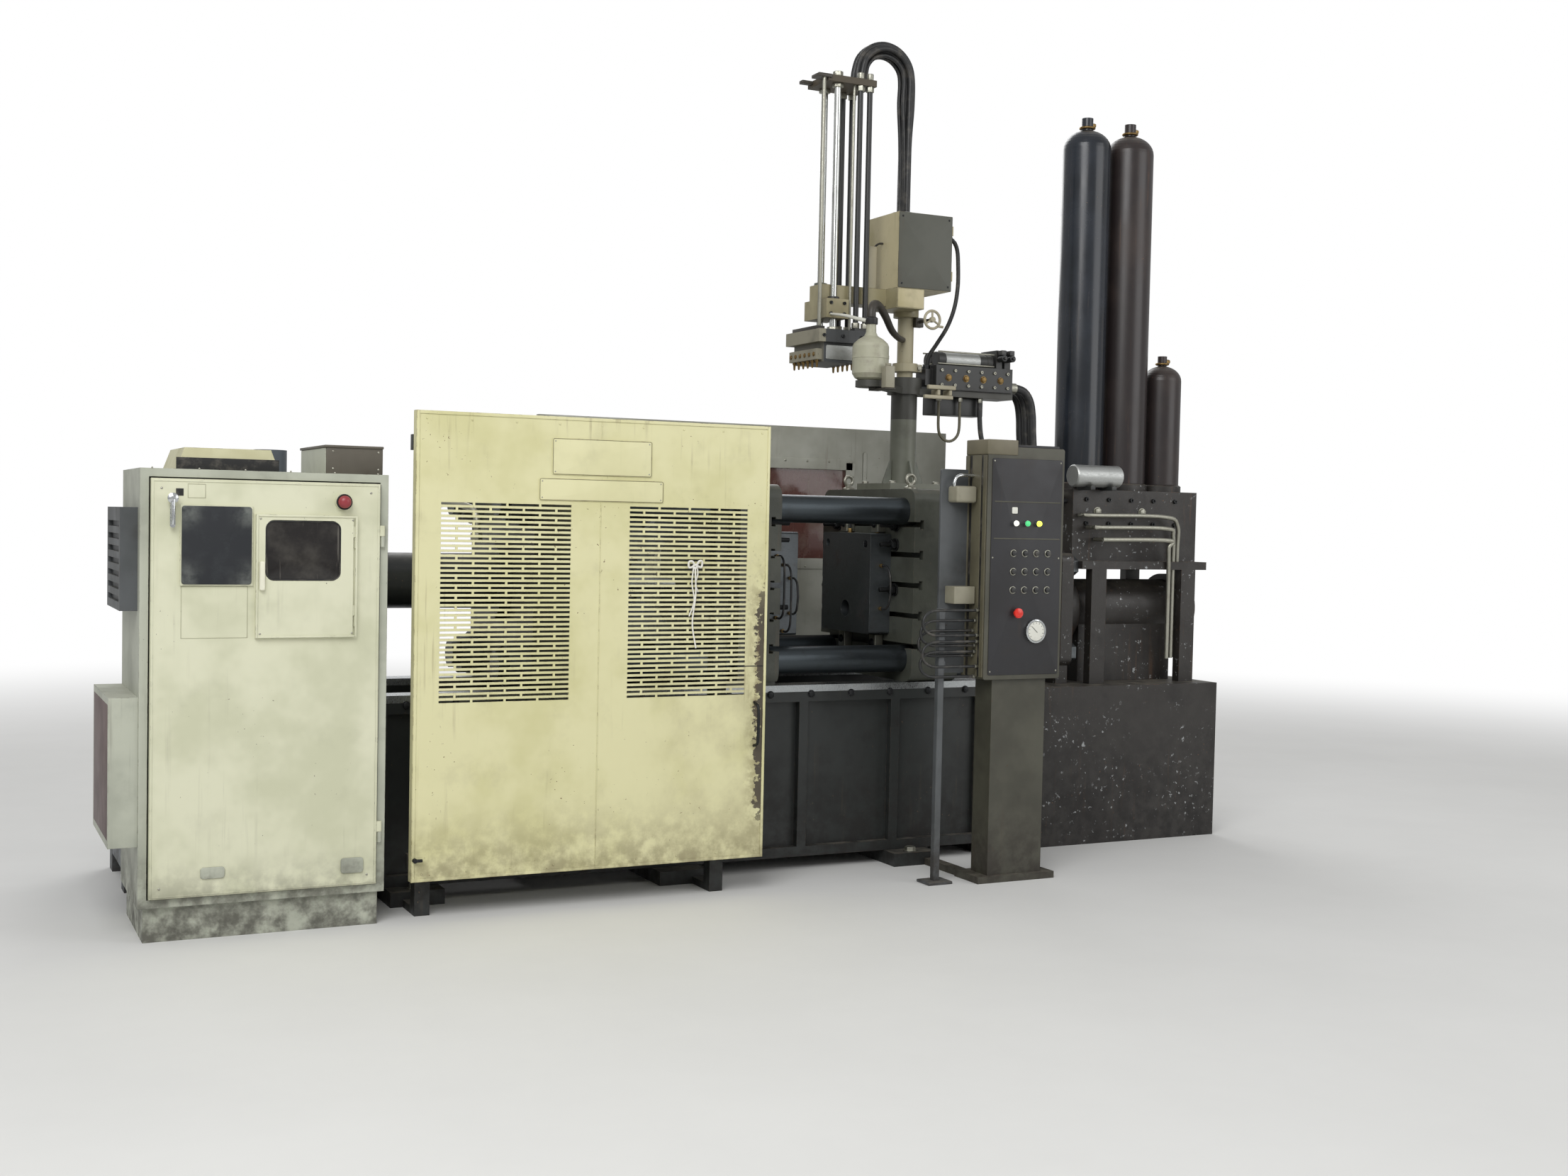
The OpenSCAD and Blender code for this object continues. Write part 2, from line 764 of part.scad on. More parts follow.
module end_platen() {
    lug_w = 2 * (rear_layer - side_gap);
    color("#3a3d38")
        difference() {
            union() {
                cross_plate(end_x0, end_platen_t)
                    platen_outline();
                side_plate(0, lug_w)
                    lug_outline(end_x1, rear_pin);
                below()
                    side_plate(0, lug_w)
                        lug_outline(end_x1, rear_pin);
            }
            tie_bores(end_x0 - 1, end_x1 + 1);
            translate([0, 0, centre_z])
                rod_x(clamp_rod_d + 2 * fit, end_x0 - 1, end_x1 + 1);
            at_pin(rear_pin)
                rod_y(main_pin_d + 2 * fit, lug_w);
            below()
                at_pin(rear_pin)
                    rod_y(main_pin_d + 2 * fit, lug_w);
        }
}

module tie_bars() {
    color("#a9adae")
        at_tie_bars()
            rod_x(tie_d, end_x0 - tie_nut_t - tie_end, fixed_platen_t + tie_nut_t + tie_end);
}

module tie_nut(x0) {
    difference() {
        union() {
            rod_x(tie_nut_d, x0, x0 + tie_nut_t * 0.45);
            rod_x(tie_nut_d * 0.9, x0, x0 + tie_nut_t);
        }
        rod_x(tie_d + 2 * fit, x0 - 1, x0 + tie_nut_t + 1);
    }
}

module tie_bar_nuts() {
    color("#4a4d4e")
        at_tie_bars() {
            tie_nut(fixed_platen_t);
            mirror([1, 0, 0])
                tie_nut(-end_x0);
        }
}

module clamp_cylinder() {
    rod_depth = clamp_cyl_l - 60;
    color("#3d4143")
        translate([0, 0, centre_z])
            difference() {
                union() {
                    rod_x(clamp_cyl_d * 1.5, end_x0 - 50, end_x0);
                    rod_x(clamp_cyl_d, end_x0 - clamp_cyl_l, end_x0);
                    rod_x(clamp_cyl_d * 1.2, end_x0 - clamp_cyl_l - 40, end_x0 - clamp_cyl_l + 30);
                }
                rod_x(clamp_rod_d + 2 * fit, end_x0 - rod_depth, end_x0 + 1);
            }
}

module crosshead_guides() {
    color("#a9adae")
        both_sides()
            translate([0, guide_y, centre_z])
                rod_x(guide_d, end_x1, crosshead_closed_x + crosshead_t);
}

// The crosshead slides on two rods and carries the clamp cylinder's rod.
module crosshead() {
    x0 = crosshead_pin[0] - crosshead_t / 2;
    x1 = crosshead_pin[0] + crosshead_t / 2;
    half_w = short_layer - 2 * side_gap;
    rod_x0 = end_x0 - crosshead_travel - 80;
    color("#6c7072") {
        difference() {
            union() {
                cross_plate(x0, crosshead_t)
                    translate([0, centre_z]) {
                        square([2 * half_w, 2 * (crosshead_pin_rise + short_eye_r)], center = true);
                        round_rect(2 * (guide_y + guide_d), 2 * guide_d, 20);
                    }
                at_pin(crosshead_pin)
                    rod_y(short_pin_d, link_outer + cap_t);
                below()
                    at_pin(crosshead_pin)
                        rod_y(short_pin_d, link_outer + cap_t);
            }
            both_sides()
                translate([0, guide_y, centre_z])
                    rod_x(guide_d + 2 * fit, x0 - 1, x1 + 1);
        }
        translate([0, 0, centre_z])
            rod_x(clamp_rod_d, rod_x0, x0 + 10);
    }
}

// A rear link is two plates on the rear pin, with an arm for the short link.
module rear_link() {
    at_pin([0, 0]) {
        both_sides() {
            side_plate(rear_layer + link_t / 2, link_t) {
                link_outline(rear_pin, knee, eye_r, eye_r);
                link_outline(rear_pin, arm_pin, eye_r, short_eye_r);
                link_outline(arm_pin, knee, short_eye_r, eye_r);
            }
            side_plate(rear_layer + link_t + (side_gap - 1) / 2, side_gap - 1)
                translate(knee)
                    circle(d = main_pin_d);
        }
    }
    at_pin(rear_pin)
        rod_y(main_pin_d, rear_layer + link_t + cap_t);
}

module front_link() {
    at_pin([0, 0]) {
        both_sides()
            side_plate(front_layer + link_t / 2, link_t)
                link_outline(front_pin, knee, eye_r, eye_r);
        side_plate(0, 2 * front_layer)
            translate(front_pin * 0.6 + knee * 0.4)
                circle(r = eye_r / 2);
    }
    at_pin(front_pin)
        rod_y(main_pin_d, rear_layer + link_t + cap_t);
}

module short_link() {
    both_sides()
        difference() {
            at_pin([0, 0]) {
                side_plate(short_layer + short_link_t / 2, short_link_t)
                    link_outline(crosshead_pin, arm_pin, short_eye_r, short_eye_r);
                side_plate(link_outer + cap_t / 2, cap_t)
                    translate(arm_pin)
                        circle(d = short_pin_d);
            }
            at_pin(crosshead_pin)
                rod_y(short_pin_d + 2 * fit, link_outer + 1);
        }
}

module rear_link_upper() {
    color("#55595b")
        rear_link();
}

module rear_link_lower() {
    color("#55595b")
        below()
            rear_link();
}

module front_link_upper() {
    color("#4d5153")
        front_link();
}

module front_link_lower() {
    color("#4d5153")
        below()
            front_link();
}

module short_link_upper() {
    color("#777b7d")
        short_link();
}

module short_link_lower() {
    color("#777b7d")
        below()
            short_link();
}

module front_lugs() {
    outer_mid = rear_layer + link_t / 2;
    side_plate(0, 2 * lug_half)
        lug_outline(moving_x0, front_pin);
    both_sides()
        side_plate(outer_mid, link_t)
            lug_outline(moving_x0, front_pin);
}

module moving_platen() {
    shoe_t = 20;
    color("#3a3d38") {
        difference() {
            union() {
                cross_plate(moving_x0, moving_platen_t)
                    intersection() {
                        platen_outline();
                        translate([0, centre_z + shoe_t / 2])
                            square([platen_side, platen_side - shoe_t], center = true);
                    }
                front_lugs();
                below()
                    front_lugs();
            }
            tie_bores(moving_x0 - 1, moving_x1 + 1);
            t_slots(moving_x1, -1);
            at_pin(front_pin)
                rod_y(main_pin_d + 2 * fit, platen_side);
            below()
                at_pin(front_pin)
                    rod_y(main_pin_d + 2 * fit, platen_side);
        }
        both_sides()
            block([moving_x0 - 40, bed_half_w - beam_w + 10, deck_z + seat],
                [moving_x1, bed_half_w - 10, deck_z + shoe_t]);
    }
}

module die_block(x0, t) {
    cross_plate(x0, t)
        translate([0, centre_z])
            round_rect(die_side, die_side, 12);
}

module fixed_die() {
    biscuit = sleeve_bore;
    color("#5f6467")
        difference() {
            die_block(-fixed_die_t, fixed_die_t);
            translate([0, 0, shot_z])
                rod_x(biscuit, -fixed_die_t - 1, 1);
            for (sy = [-1, 1])
                translate([0, sy * (die_side / 2 - 50), centre_z + die_side / 2 - 50])
                    rod_x(36, -fixed_die_t - 1, -fixed_die_t + 50);
        }
}

module moving_die() {
    color("#5f6467") {
        difference() {
            die_block(moving_x1, moving_die_t - 60);
            translate([moving_x1 + moving_die_t - 80, 0, centre_z + 40])
                cube([60, 240, 200], center = true);
        }
        die_block(die_face_x - 60, 60);
    }
}

// The door runs on two rails behind it, on posts that stand in front of the bed.
module door_rails() {
    color("#4b4e4c") {
        for (z = rail_z)
            block([door_x0, rail_back, z], [rail_x1, rail_back + rail_t, z + rail_h]);
        for (x = rail_post_x) {
            block([x, rail_back + rail_t, 0], [x + post_w, rail_back + rail_t + post_w, rail_z[1] + rail_h]);
            block([x, rail_back + rail_t + post_w, 0], [x + post_w, -foot_half_l, foot_t / 2]);
        }
    }
}

// Runners on the door's back hook over each rail.
module door_runners() {
    back = -door_y + door_t;
    tip = rail_back + rail_t - runner_gap;
    color("#4b4e4c")
        for (x = runner_x, z = rail_z) {
            block([x, back, z - runner_lip - seat], [x + runner_w, rail_back - runner_gap, z + rail_h + runner_lip + seat]);
            block([x, back, z + rail_h + seat], [x + runner_w, tip, z + rail_h + seat + runner_lip]);
            block([x, back, z - seat - runner_lip], [x + runner_w, tip, z - seat]);
        }
}

// One row of slots, four to a row, every other row shifted by half a slot.
module slot_row(shift) {
    step = slot_l + slot_web;
    half_l = 2 * slot_l + 1.5 * slot_web;
    for (i = [-2 : 2]) {
        mid = (i + (shift ? 0 : 0.5)) * step;
        x0 = max(mid - slot_l / 2, -half_l);
        x1 = min(mid + slot_l / 2, half_l);
        if (x1 - x0 > slot_web)
            translate([x0, 0])
                square([x1 - x0, slot_h]);
    }
}

module grille() {
    for (r = [0 : slot_rows - 1])
        translate([0, r * slot_row_pitch])
            slot_row(r % 2 == 1);
}

module safety_door() {
    mid_x = door_x0 + door_w / 2;
    edge = 30;
    color("#d9d7ab") {
        side_plate(-door_y + sheet_t / 2, sheet_t)
            difference() {
                translate([door_x0, door_z])
                    square([door_w, door_h]);
                for (side = [-1, 1])
                    translate([mid_x + side * grille_x, door_z + grille_z])
                        grille();
            }
        side_plate(-door_y + sheet_t + (door_t - sheet_t) / 2, door_t - sheet_t)
            difference() {
                translate([door_x0, door_z])
                    square([door_w, door_h]);
                for (side = [-1, 1])
                    translate([mid_x + side * (door_w / 4 - edge / 4) - (door_w / 2 - 1.5 * edge) / 2,
                        door_z + edge])
                        square([door_w / 2 - 1.5 * edge, door_h - 2 * edge]);
            }
    }
}

module rear_guard() {
    y1 = rear_guard_y + rear_guard_t;
    foot_w2 = post_w + 20;
    color("#b9bab0") {
        difference() {
            block([rear_guard_x0, rear_guard_y, door_z], [rear_guard_x1, y1, rear_guard_top]);
            translate([-rear_window_x, rear_guard_y + rear_guard_t / 2, rear_window_z])
                cube([rear_window_w, 2 * rear_guard_t, rear_window_h], center = true);
        }
        for (x = [rear_guard_x0, rear_guard_x1 - post_w])
            block([x, rear_guard_y, 0], [x + post_w, y1, door_z]);
        for (x = [foot_at[1], foot_at[2]]) {
            block([x - foot_w2 / 2, foot_half_l, 0], [x + foot_w2 / 2, y1, foot_t / 2]);
            block([x - foot_w2 / 2, rear_guard_y, foot_t / 2], [x + foot_w2 / 2, y1, door_z]);
        }
    }
}

module rear_guard_window() {
    color("#7a4a40")
        translate([-rear_window_x, rear_guard_y + rear_guard_t / 2, rear_window_z])
            cube([rear_window_w - 2 * seat, pane_t, rear_window_h - 2 * seat], center = true);
}

// The fixed half of an upright hinge: a knuckle on a wall behind it, with its pin standing up.
module hinge_fixed(at, r, z, wall_y) {
    translate([at[0], at[1], z]) {
        cylinder(r = r, h = knuckle_h);
        cylinder(r = r * 0.45, h = 2 * knuckle_h);
    }
    block([at[0] - r * 0.5, at[1], z], [at[0] + r, wall_y, z + knuckle_h]);
}

// The moving half: a knuckle round the pin, with a leaf to a leaf's edge at edge_x.
module hinge_moving(at, r, z, edge_x) {
    difference() {
        union() {
            translate([at[0], at[1], z + knuckle_h + seat])
                cylinder(r = r, h = knuckle_h);
            block([edge_x - 2, at[1] - r, z + knuckle_h + seat], [at[0], at[1], z + 2 * knuckle_h + seat]);
        }
        translate([at[0], at[1], z + knuckle_h])
            cylinder(r = r * 0.45 + fit, h = knuckle_h + 1 + seat);
    }
}

module control_cabinet() {
    color("#a9a9a0") {
        cabinet_shell();
        for (z = cab_hinge_z)
            hinge_fixed(cab_hinge, hinge_r, z, cab_y0);
    }
}

module cabinet_shell() {
    y1 = cab_y0 + cab_d;
    difference() {
        union() {
            block([cab_x0, cab_y0, plinth_h], [cab_x1, y1, cab_top]);
            block([cab_x0 + 20, cab_y0 + 25, 0], [cab_x1 - 20, y1 - 20, plinth_h]);
            block([cab_x0 + 300, y1 - 21, skid_h + 10], [cab_x1 - 300, tank_y0, plinth_h]);
        }
        block([cab_x0 + cab_wall, cab_y0 + cab_wall, plinth_h + cab_wall],
            [cab_x1 - cab_wall, y1 - cab_wall, cab_top - cab_wall]);
        block([cab_open_x0, cab_y0 - 1, cab_open_z0], [cab_open_x1, cab_y0 + cab_wall + 1, cab_open_z1]);
    }
}

module cabinet_hood() {
    x0 = cab_x0 + hood_in;
    color("#c9c7a6")
        side_plate(cab_y0 + cab_d / 2, cab_d * 0.7)
            polygon([[x0, cab_top], [x0 + hood_w, cab_top], [x0 + hood_w - hood_slope, cab_top + hood_h],
                [x0 + hood_slope, cab_top + hood_h]]);
}

module distribution_box() {
    color("#8a6d50")
        block([cab_x0 - side_box_t, cab_y0 + 10, side_box_z], [cab_x0, cab_y0 + cab_d, side_box_z + side_box_h]);
}

module louvre_box() {
    x0 = cab_x0 - louvre_t;
    y0 = cab_y0 + 60;
    y1 = cab_y0 + cab_d - 60;
    color("#55585a")
        difference() {
            block([x0, y0, louvre_z], [cab_x0, y1, louvre_z + louvre_h]);
            for (i = [0 : louvres - 1])
                translate([0, 0, louvre_z + 30 + louvre_pitch * i])
                    block([x0 - 1, y0 + 30, 0], [x0 + louvre_t / 4, y1 - 30, louvre_pitch * 0.45]);
        }
}

module cabinet_door() {
    x0 = cab_open_x0 + cab_gap;
    x1 = cab_open_x1 - cab_gap;
    z0 = cab_open_z0 + cab_gap;
    z1 = cab_open_z1 - cab_gap;
    color("#d6d6bc") {
        difference() {
            block([x0, cab_door_y, z0], [x1, cab_door_y + cab_door_t, z1]);
            block([flap_x1 - flap_w + 30, cab_door_y - 1, flap_z0 + 30],
                [flap_x1 - 30, cab_door_y + cab_door_t + 1, flap_z0 + flap_h - 30]);
        }
        block([pad_x1 - vent_pad_w, cab_door_y - 8, pad_z0], [pad_x1, cab_door_y, pad_z0 + vent_pad_h]);
        translate([cab_open_x1 - 143, cab_door_y, cab_open_z1 - 75])
            rotate([90, 0, 0])
                cylinder(d = door_lamp_d, h = 22);
        translate([latch_at[0], cab_door_y, latch_at[1]])
            rotate([90, 0, 0])
                cylinder(d = 30, h = 12);
        for (z = cab_hinge_z)
            hinge_moving(cab_hinge, hinge_r, z, x1);
        for (z = flap_hinge_z)
            hinge_fixed(flap_hinge, flap_hinge_r, z, cab_door_y);
    }
}

module cabinet_latch() {
    color("#c5c8c9")
        translate([0, cab_door_y - 12 - seat - 6, 0])
            side_plate(0, 12) {
                translate(latch_at)
                    circle(r = 16);
                translate(latch_at - [0, latch_l / 2])
                    square([18, latch_l], center = true);
                translate(latch_at - [0, latch_l])
                    circle(r = 9);
            }
}

module window_flap() {
    glass_x = flap_x1 - 50 - flap_glass_w / 2;
    color("#d6d6bc")
        difference() {
            block([flap_x1 - flap_w, cab_door_y - seat - flap_t, flap_z0], [flap_x1, cab_door_y - seat, flap_z0 + flap_h]);
            side_plate(cab_door_y - seat - flap_t, 8)
                translate([glass_x, flap_z0 + flap_h - 20 - flap_glass_h / 2])
                    round_rect(flap_glass_w, flap_glass_h, 30);
        }
    color("#d6d6bc")
        for (z = flap_hinge_z)
            hinge_moving(flap_hinge, flap_hinge_r, z, flap_x1);
}

module oil_tank() {
    x0 = tank_x1 - tank_l;
    y1 = tank_y0 + tank_w;
    color("#5a6167") {
        block([x0, tank_y0, skid_h], [tank_x1, y1, tank_h]);
        for (y = [tank_y0 + 80, tank_y0 + 300])
            block([x0, y, 0], [foot_at[0] - foot_w / 2, y + 100, skid_h]);
        block([x0, y1 - 120, 0], [tank_x1, y1 - 20, skid_h]);
    }
}

module pump_motor() {
    x0 = tank_x1 - 40 - motor_l;
    color("#c9c7a6") {
        translate([0, motor_y, motor_z]) {
            rod_x(motor_d - 40, x0, x0 + motor_l);
            rod_x(motor_d, x0, x0 + 60);
            rod_x(motor_d, x0 + motor_l - 50, x0 + motor_l);
            for (i = [0 : motor_fins - 1])
                rotate([i * 360 / motor_fins, 0, 0])
                    block([x0 + 50, -3, motor_d / 2 - 30], [x0 + motor_l - 40, 3, motor_d / 2 - 4]);
        }
        block([x0 + 60, motor_y - 110, tank_h], [x0 + motor_l - 60, motor_y + 110, motor_z - motor_d / 2 + 40]);
    }
}

module valve_tower() {
    x0 = tank_x1 - tower_w - 60;
    y0 = tank_y0 + tank_w - tower_d - 100;
    z1 = tank_h + tower_h;
    valve_w = 50;
    step = (tower_w - valve_w - 30) / 2;
    color("#4f5456") {
        block([x0, y0, tank_h], [x0 + tower_w, y0 + tower_d, z1]);
        for (i = [0 : 2])
            block([x0 + 10 + step * i, y0 + 40, z1], [x0 + 10 + step * i + valve_w, y0 + tower_d - 40, z1 + valve_h]);
        translate([x0 + tower_w / 2, y0 + tower_d / 2, z1 + valve_h])
            cylinder(d = tank_bottle_d, h = tank_bottle_h);
    }
}

module injection_base() {
    color("#2f2c2a")
        block([bed_nose, -inj_base_half_w, 0], [manifold_x1, inj_base_half_w, inj_base_h]);
}

module injection_frame() {
    color("#33322f") {
        for (x = [frame_x0, frame_x1 - frame_flange_t])
            difference() {
                cross_plate(x, frame_flange_t)
                    translate([0, shot_z])
                        round_rect(frame_w, frame_h, 40);
                translate([0, 0, shot_z])
                    rod_x(sleeve_d + 2 * fit, x - 1, x + frame_flange_t + 1);
            }
        for (sy = [-1, 1], sz = [-1, 1])
            translate([0, sy * frame_bar_across / 2, shot_z + sz * frame_bar_up / 2])
                rod_x(frame_bar_d, frame_x0 + frame_flange_t, frame_x1 - frame_flange_t);
        block([frame_x1 - frame_flange_t, -200, inj_base_h], [frame_x1, 200, shot_z - frame_h / 2]);
    }
}

module shot_sleeve() {
    x1 = frame_x0 + sleeve_l;
    color("#7c8082")
        translate([0, 0, shot_z])
            difference() {
                rod_x(sleeve_d, 0, x1);
                rod_x(sleeve_bore, -1, x1 + 1);
                translate([x1 - pour_end - pour_l / 2, 0, sleeve_d / 2])
                    cube([pour_l, sleeve_bore * 0.8, sleeve_d], center = true);
            }
}

module plunger_rod() {
    color("#9a9d9f")
        translate([0, 0, shot_z]) {
            rod_x(sleeve_bore - 2 * fit, plunger_x, plunger_x + plunger_tip_l);
            rod_x(plunger_rod_d, plunger_x, frame_x1 + shot_stroke + 60);
            rod_x(plunger_rod_d * 1.8, coupling_x, coupling_x + 65);
        }
}

module shot_cylinder() {
    color("#35322f")
        difference() {
            union() {
                translate([0, 0, shot_z]) {
                    rod_x(shot_cyl_d, frame_x1, shot_cyl_x1);
                    rod_x(shot_cyl_d * 1.35, frame_x1, frame_x1 + 70);
                    rod_x(shot_cyl_d * 1.2, shot_cyl_x1 - 90, shot_cyl_x1);
                }
                block([frame_x1 + 120, -120, inj_base_h], [shot_cyl_x1 - 120, 120, shot_z]);
            }
            translate([0, 0, shot_z])
                rod_x(plunger_rod_d + 2 * fit, frame_x1 - 1, frame_x1 + shot_stroke + 80);
        }
}

// The manifold stands on a saddle plate with four legs beside the shot cylinder.
module accumulator_manifold() {
    saddle_z = shot_z + shot_cyl_d * 0.68 + side_gap;
    leg_y0 = shot_cyl_d * 0.68 + side_gap;
    leg_y1 = leg_y0 + 50;
    color("#2d2b29") {
        block([manifold_x0, -leg_y1, saddle_z], [manifold_x1, leg_y1, saddle_z + 40]);
        block([manifold_x0, -manifold_w / 2, saddle_z + 40], [manifold_x1, manifold_w / 2, manifold_top]);
        both_sides()
            for (x = [manifold_x0 + 60, manifold_x1 - 160])
                block([x, leg_y0, inj_base_h], [x + 90, leg_y1, saddle_z]);
    }
}

// A gas bottle as one turned profile: foot ring, round shoulder and neck with its cap.
module bottle(x, d, z0, z1) {
    r = d / 2;
    neck_r = r * 0.24;
    neck_h = r * 0.5;
    dome_z = z1 - z0 - neck_h;
    arc = [for (a = [0 : 10 : 80]) [r * cos(a), dome_z - r * 0.8 + r * 0.8 * sin(a)]];
    foot = [for (a = [270 : 15 : 360]) [r - 40 + 40 * cos(a), 40 + 40 * sin(a)]];
    translate([x, 0, z0])
        rotate_extrude()
            polygon(concat([[0, 0]], foot, arc, [[neck_r, dome_z], [neck_r, dome_z + neck_h],
                [0, dome_z + neck_h]]));
}

module accumulator_left() {
    color("#1f2226")
        bottle(bottle_x, bottle_d, manifold_top, bottle_top);
}

module accumulator_right() {
    color("#2a2424")
        bottle(bottle_x + bottle_pitch, bottle_d, manifold_top, bottle_top);
}

module accumulator_short() {
    color("#262628")
        bottle(short_bottle_x, short_bottle_d, manifold_top, short_bottle_top);
}

// The post stands on the fixed platen. A collar on it carries a shelf toward the injection end and
// a bar with a round pad for the lubricant bottle.
module spray_post() {
    base_t = 30;
    collar_h = 80;
    collar_z = post_top - collar_h * 0.75;
    bar_l = norm([post_x + lube_x, lube_y]);
    color("#6b6e63") {
        block([post_x - 160, -160, platen_top], [post_x + 140, 160, platen_top + base_t]);
        translate([post_x, 0, platen_top])
            cylinder(d = post_d, h = post_h);
        translate([post_x, 0, collar_z])
            cylinder(d = post_d + 40, h = collar_h);
        translate([post_x, 0, post_top])
            cylinder(d = pipe_d, h = pipe_h);
        translate([post_x, 0, post_top + 50])
            cylinder(d = pipe_d + 44, h = 40);
        block([post_x, -shelf_w / 2, shelf_z - shelf_t], [post_x + shelf_reach, shelf_w / 2, shelf_z]);
        translate([post_x, 0, shelf_z - shelf_t])
            rotate([0, 0, atan2(-lube_y, -post_x - lube_x)])
                block([0, -20, 0], [bar_l, 20, shelf_t]);
        translate([-lube_x, -lube_y, shelf_z - shelf_t])
            cylinder(d = lube_d * 0.8, h = shelf_t);
    }
}

// Two blocks on the shelf with two cylinders lying on them and three valves at the outer end.
module spray_valve_stack() {
    x0 = stack_x1 - stack_l;
    top = shelf_z + stack_h;
    low_y = stack_cyl_d / 2 + 3;
    color("#25282a") {
        block([x0, -stack_w / 2, shelf_z], [stack_x1, stack_w / 2, top]);
        for (sy = [-1, 1])
            translate([0, sy * low_y, top + stack_cyl_d / 2 - 6]) {
                rod_x(stack_cyl_d, x0 + 20, stack_x1 - 110);
                rod_x(stack_cyl_d + 4, x0 + 20, x0 + 50);
                rod_x(stack_cyl_d + 4, stack_x1 - 140, stack_x1 - 110);
            }
        for (i = [0 : 1])
            block([stack_x1 - 90 + i * 48, -stack_w / 2 + 10, top],
                [stack_x1 - 56 + i * 48, stack_w / 2 - 10, top + 90]);
        block([x0 - 40, -45, shelf_z + 20], [x0, 45, top - 20]);
    }
}

module spray_valve_box() {
    color("#b8ae8b")
        block([box_x0, -box_d / 2, box_z], [box_x0 + box_w, box_d / 2, box_z + box_h]);
}

// The arm on the post carries the valve box's bracket and the guide block that the lift rods
// slide through.
module spray_guide() {
    x0 = -lift_x - 60;
    half_w = lift_pitch / 2 + 45;
    color("#4d4f48")
        difference() {
            union() {
                block([x0, -60, arm_z + 40], [post_x + 50, 60, box_z]);
                block([box_x0, -box_d / 2, arm_z + 25], [post_x, 60, box_z]);
                translate([post_x, 0, arm_z])
                    cylinder(d = pipe_d + 44, h = 60);
                block([x0, -half_w, guide_z], [-lift_x + 60, half_w, guide_z + guide_h]);
            }
            for (sy = [-1, 1])
                translate([-lift_x, sy * lift_pitch / 2, guide_z - 1])
                    cylinder(d = lift_rod_d + 2 * fit, h = guide_h + arm_h);
        }
}

// Two rods and four hose pipes join the spray head to a top plate and slide down together. The
// head is a stepped block with a nozzle bar along each side and a hose block at its right end.
module spray_carriage() {
    top_t = head_h * 0.4;
    half_w = lift_pitch / 2 + 40;
    plate_z = lift_top - lift_plate_t;
    head_x1 = -lift_x + head_l / 2;
    hose_block_x1 = -lift_pipe_x + lift_pipe_d;
    hose_block_z = [head_z + 100, head_z + head_h + 20];
    pipe_y = 60 + lift_pipe_d;
    color("#8f938f") {
        for (sy = [-1, 1]) {
            translate([-lift_x, sy * lift_pitch / 2, head_z + head_h])
                cylinder(d = lift_rod_d, h = plate_z - head_z - head_h);
            for (x = [-lift_pipe_x - 50, -lift_pipe_x])
                translate([x, sy * pipe_y, hose_block_z[1]])
                    cylinder(d = lift_pipe_d, h = plate_z - hose_block_z[1]);
        }
        block([-lift_x - 70, -half_w, plate_z], [hose_block_x1, half_w, lift_top]);
        block([head_x1 - 30, -half_w, hose_block_z[0]], [hose_block_x1, half_w, hose_block_z[1]]);
        block([-lift_x - head_l / 2, -head_w / 2, head_z + head_h - top_t],
            [head_x1, head_w / 2, head_z + head_h]);
        block([-lift_x - head_l * 0.36, -head_w * 0.44, head_z],
            [-lift_x + head_l * 0.36, head_w * 0.44, head_z + head_h - top_t]);
        for (sx = [-1, 1])
            translate([-lift_x + sx * head_l * 0.42, 0, head_z + 35])
                cube([head_l * 0.14, head_w * 0.8, 50], center = true);
    }
}

// One turned profile: a foot that widens to the body, a round shoulder and a narrow neck.
module lubricant_bottle() {
    r = lube_d / 2;
    color("#c9c9bd")
        translate([-lube_x, -lube_y, shelf_z])
            rotate_extrude()
                polygon([[0, 0], [r * 0.6, 0], [r * 0.85, 12], [r, 32], [r, lube_h - 14], [r * 0.93, lube_h],
                    [r * 0.7, lube_h + 18], [r * 0.38, lube_h + 34], [24, lube_h + 50], [22, lube_h + 100],
                    [0, lube_h + 100]]);
}

function path_dir(p, i) = let (a = p[max(i - 1, 0)], b = p[min(i + 1, len(p) - 1)]) (b - a) / norm(b - a);

// Rings of the swept tube lie in the plane of Y and the path's own normal.
function ring(p, dir, r, sides) = [for (k = [0 : sides - 1])
    let (a = 360 * k / sides) p + r * (cos(a) * [0, 1, 0] + sin(a) * [dir[2], 0, -dir[0]])];

module swept_tube(path, d, sides) {
    n = len(path);
    points = [for (i = [0 : n - 1]) each ring(path[i], path_dir(path, i), d / 2, sides)];
    walls = [for (i = [0 : n - 2], k = [0 : sides - 1]) let (j = (k + 1) % sides)
        [i * sides + k, i * sides + j, (i + 1) * sides + j, (i + 1) * sides + k]];
    ends = [[for (k = [0 : sides - 1]) sides - 1 - k], [for (k = [0 : sides - 1]) (n - 1) * sides + k]];
    polyhedron(points, concat(walls, ends));
}

module hose_arch() {
    color("#1c1d1e")
        swept_tube(arch_path, arch_d, 12);
}

module supply_hoses() {
    color("#1c1d1e")
        for (y = supply_y)
            translate([0, y, 0])
                swept_tube(supply_path, supply_d, 12);
}

module operator_panel() {
    color("#57564a")
        side_plate(-panel_y + panel_d / 2, panel_d)
            translate([panel_x + panel_w / 2, (panel_z + panel_top) / 2])
                round_rect(panel_w, panel_top - panel_z, 12);
}

module panel_lamps() {
    color("#c9c9c9")
        for (i = [0 : 2])
            translate([panel_x + panel_w / 2 - 60 + 60 * i, -panel_y, panel_top - 330])
                rotate([90, 0, 0])
                    cylinder(d = lamp_d, h = 18);
}

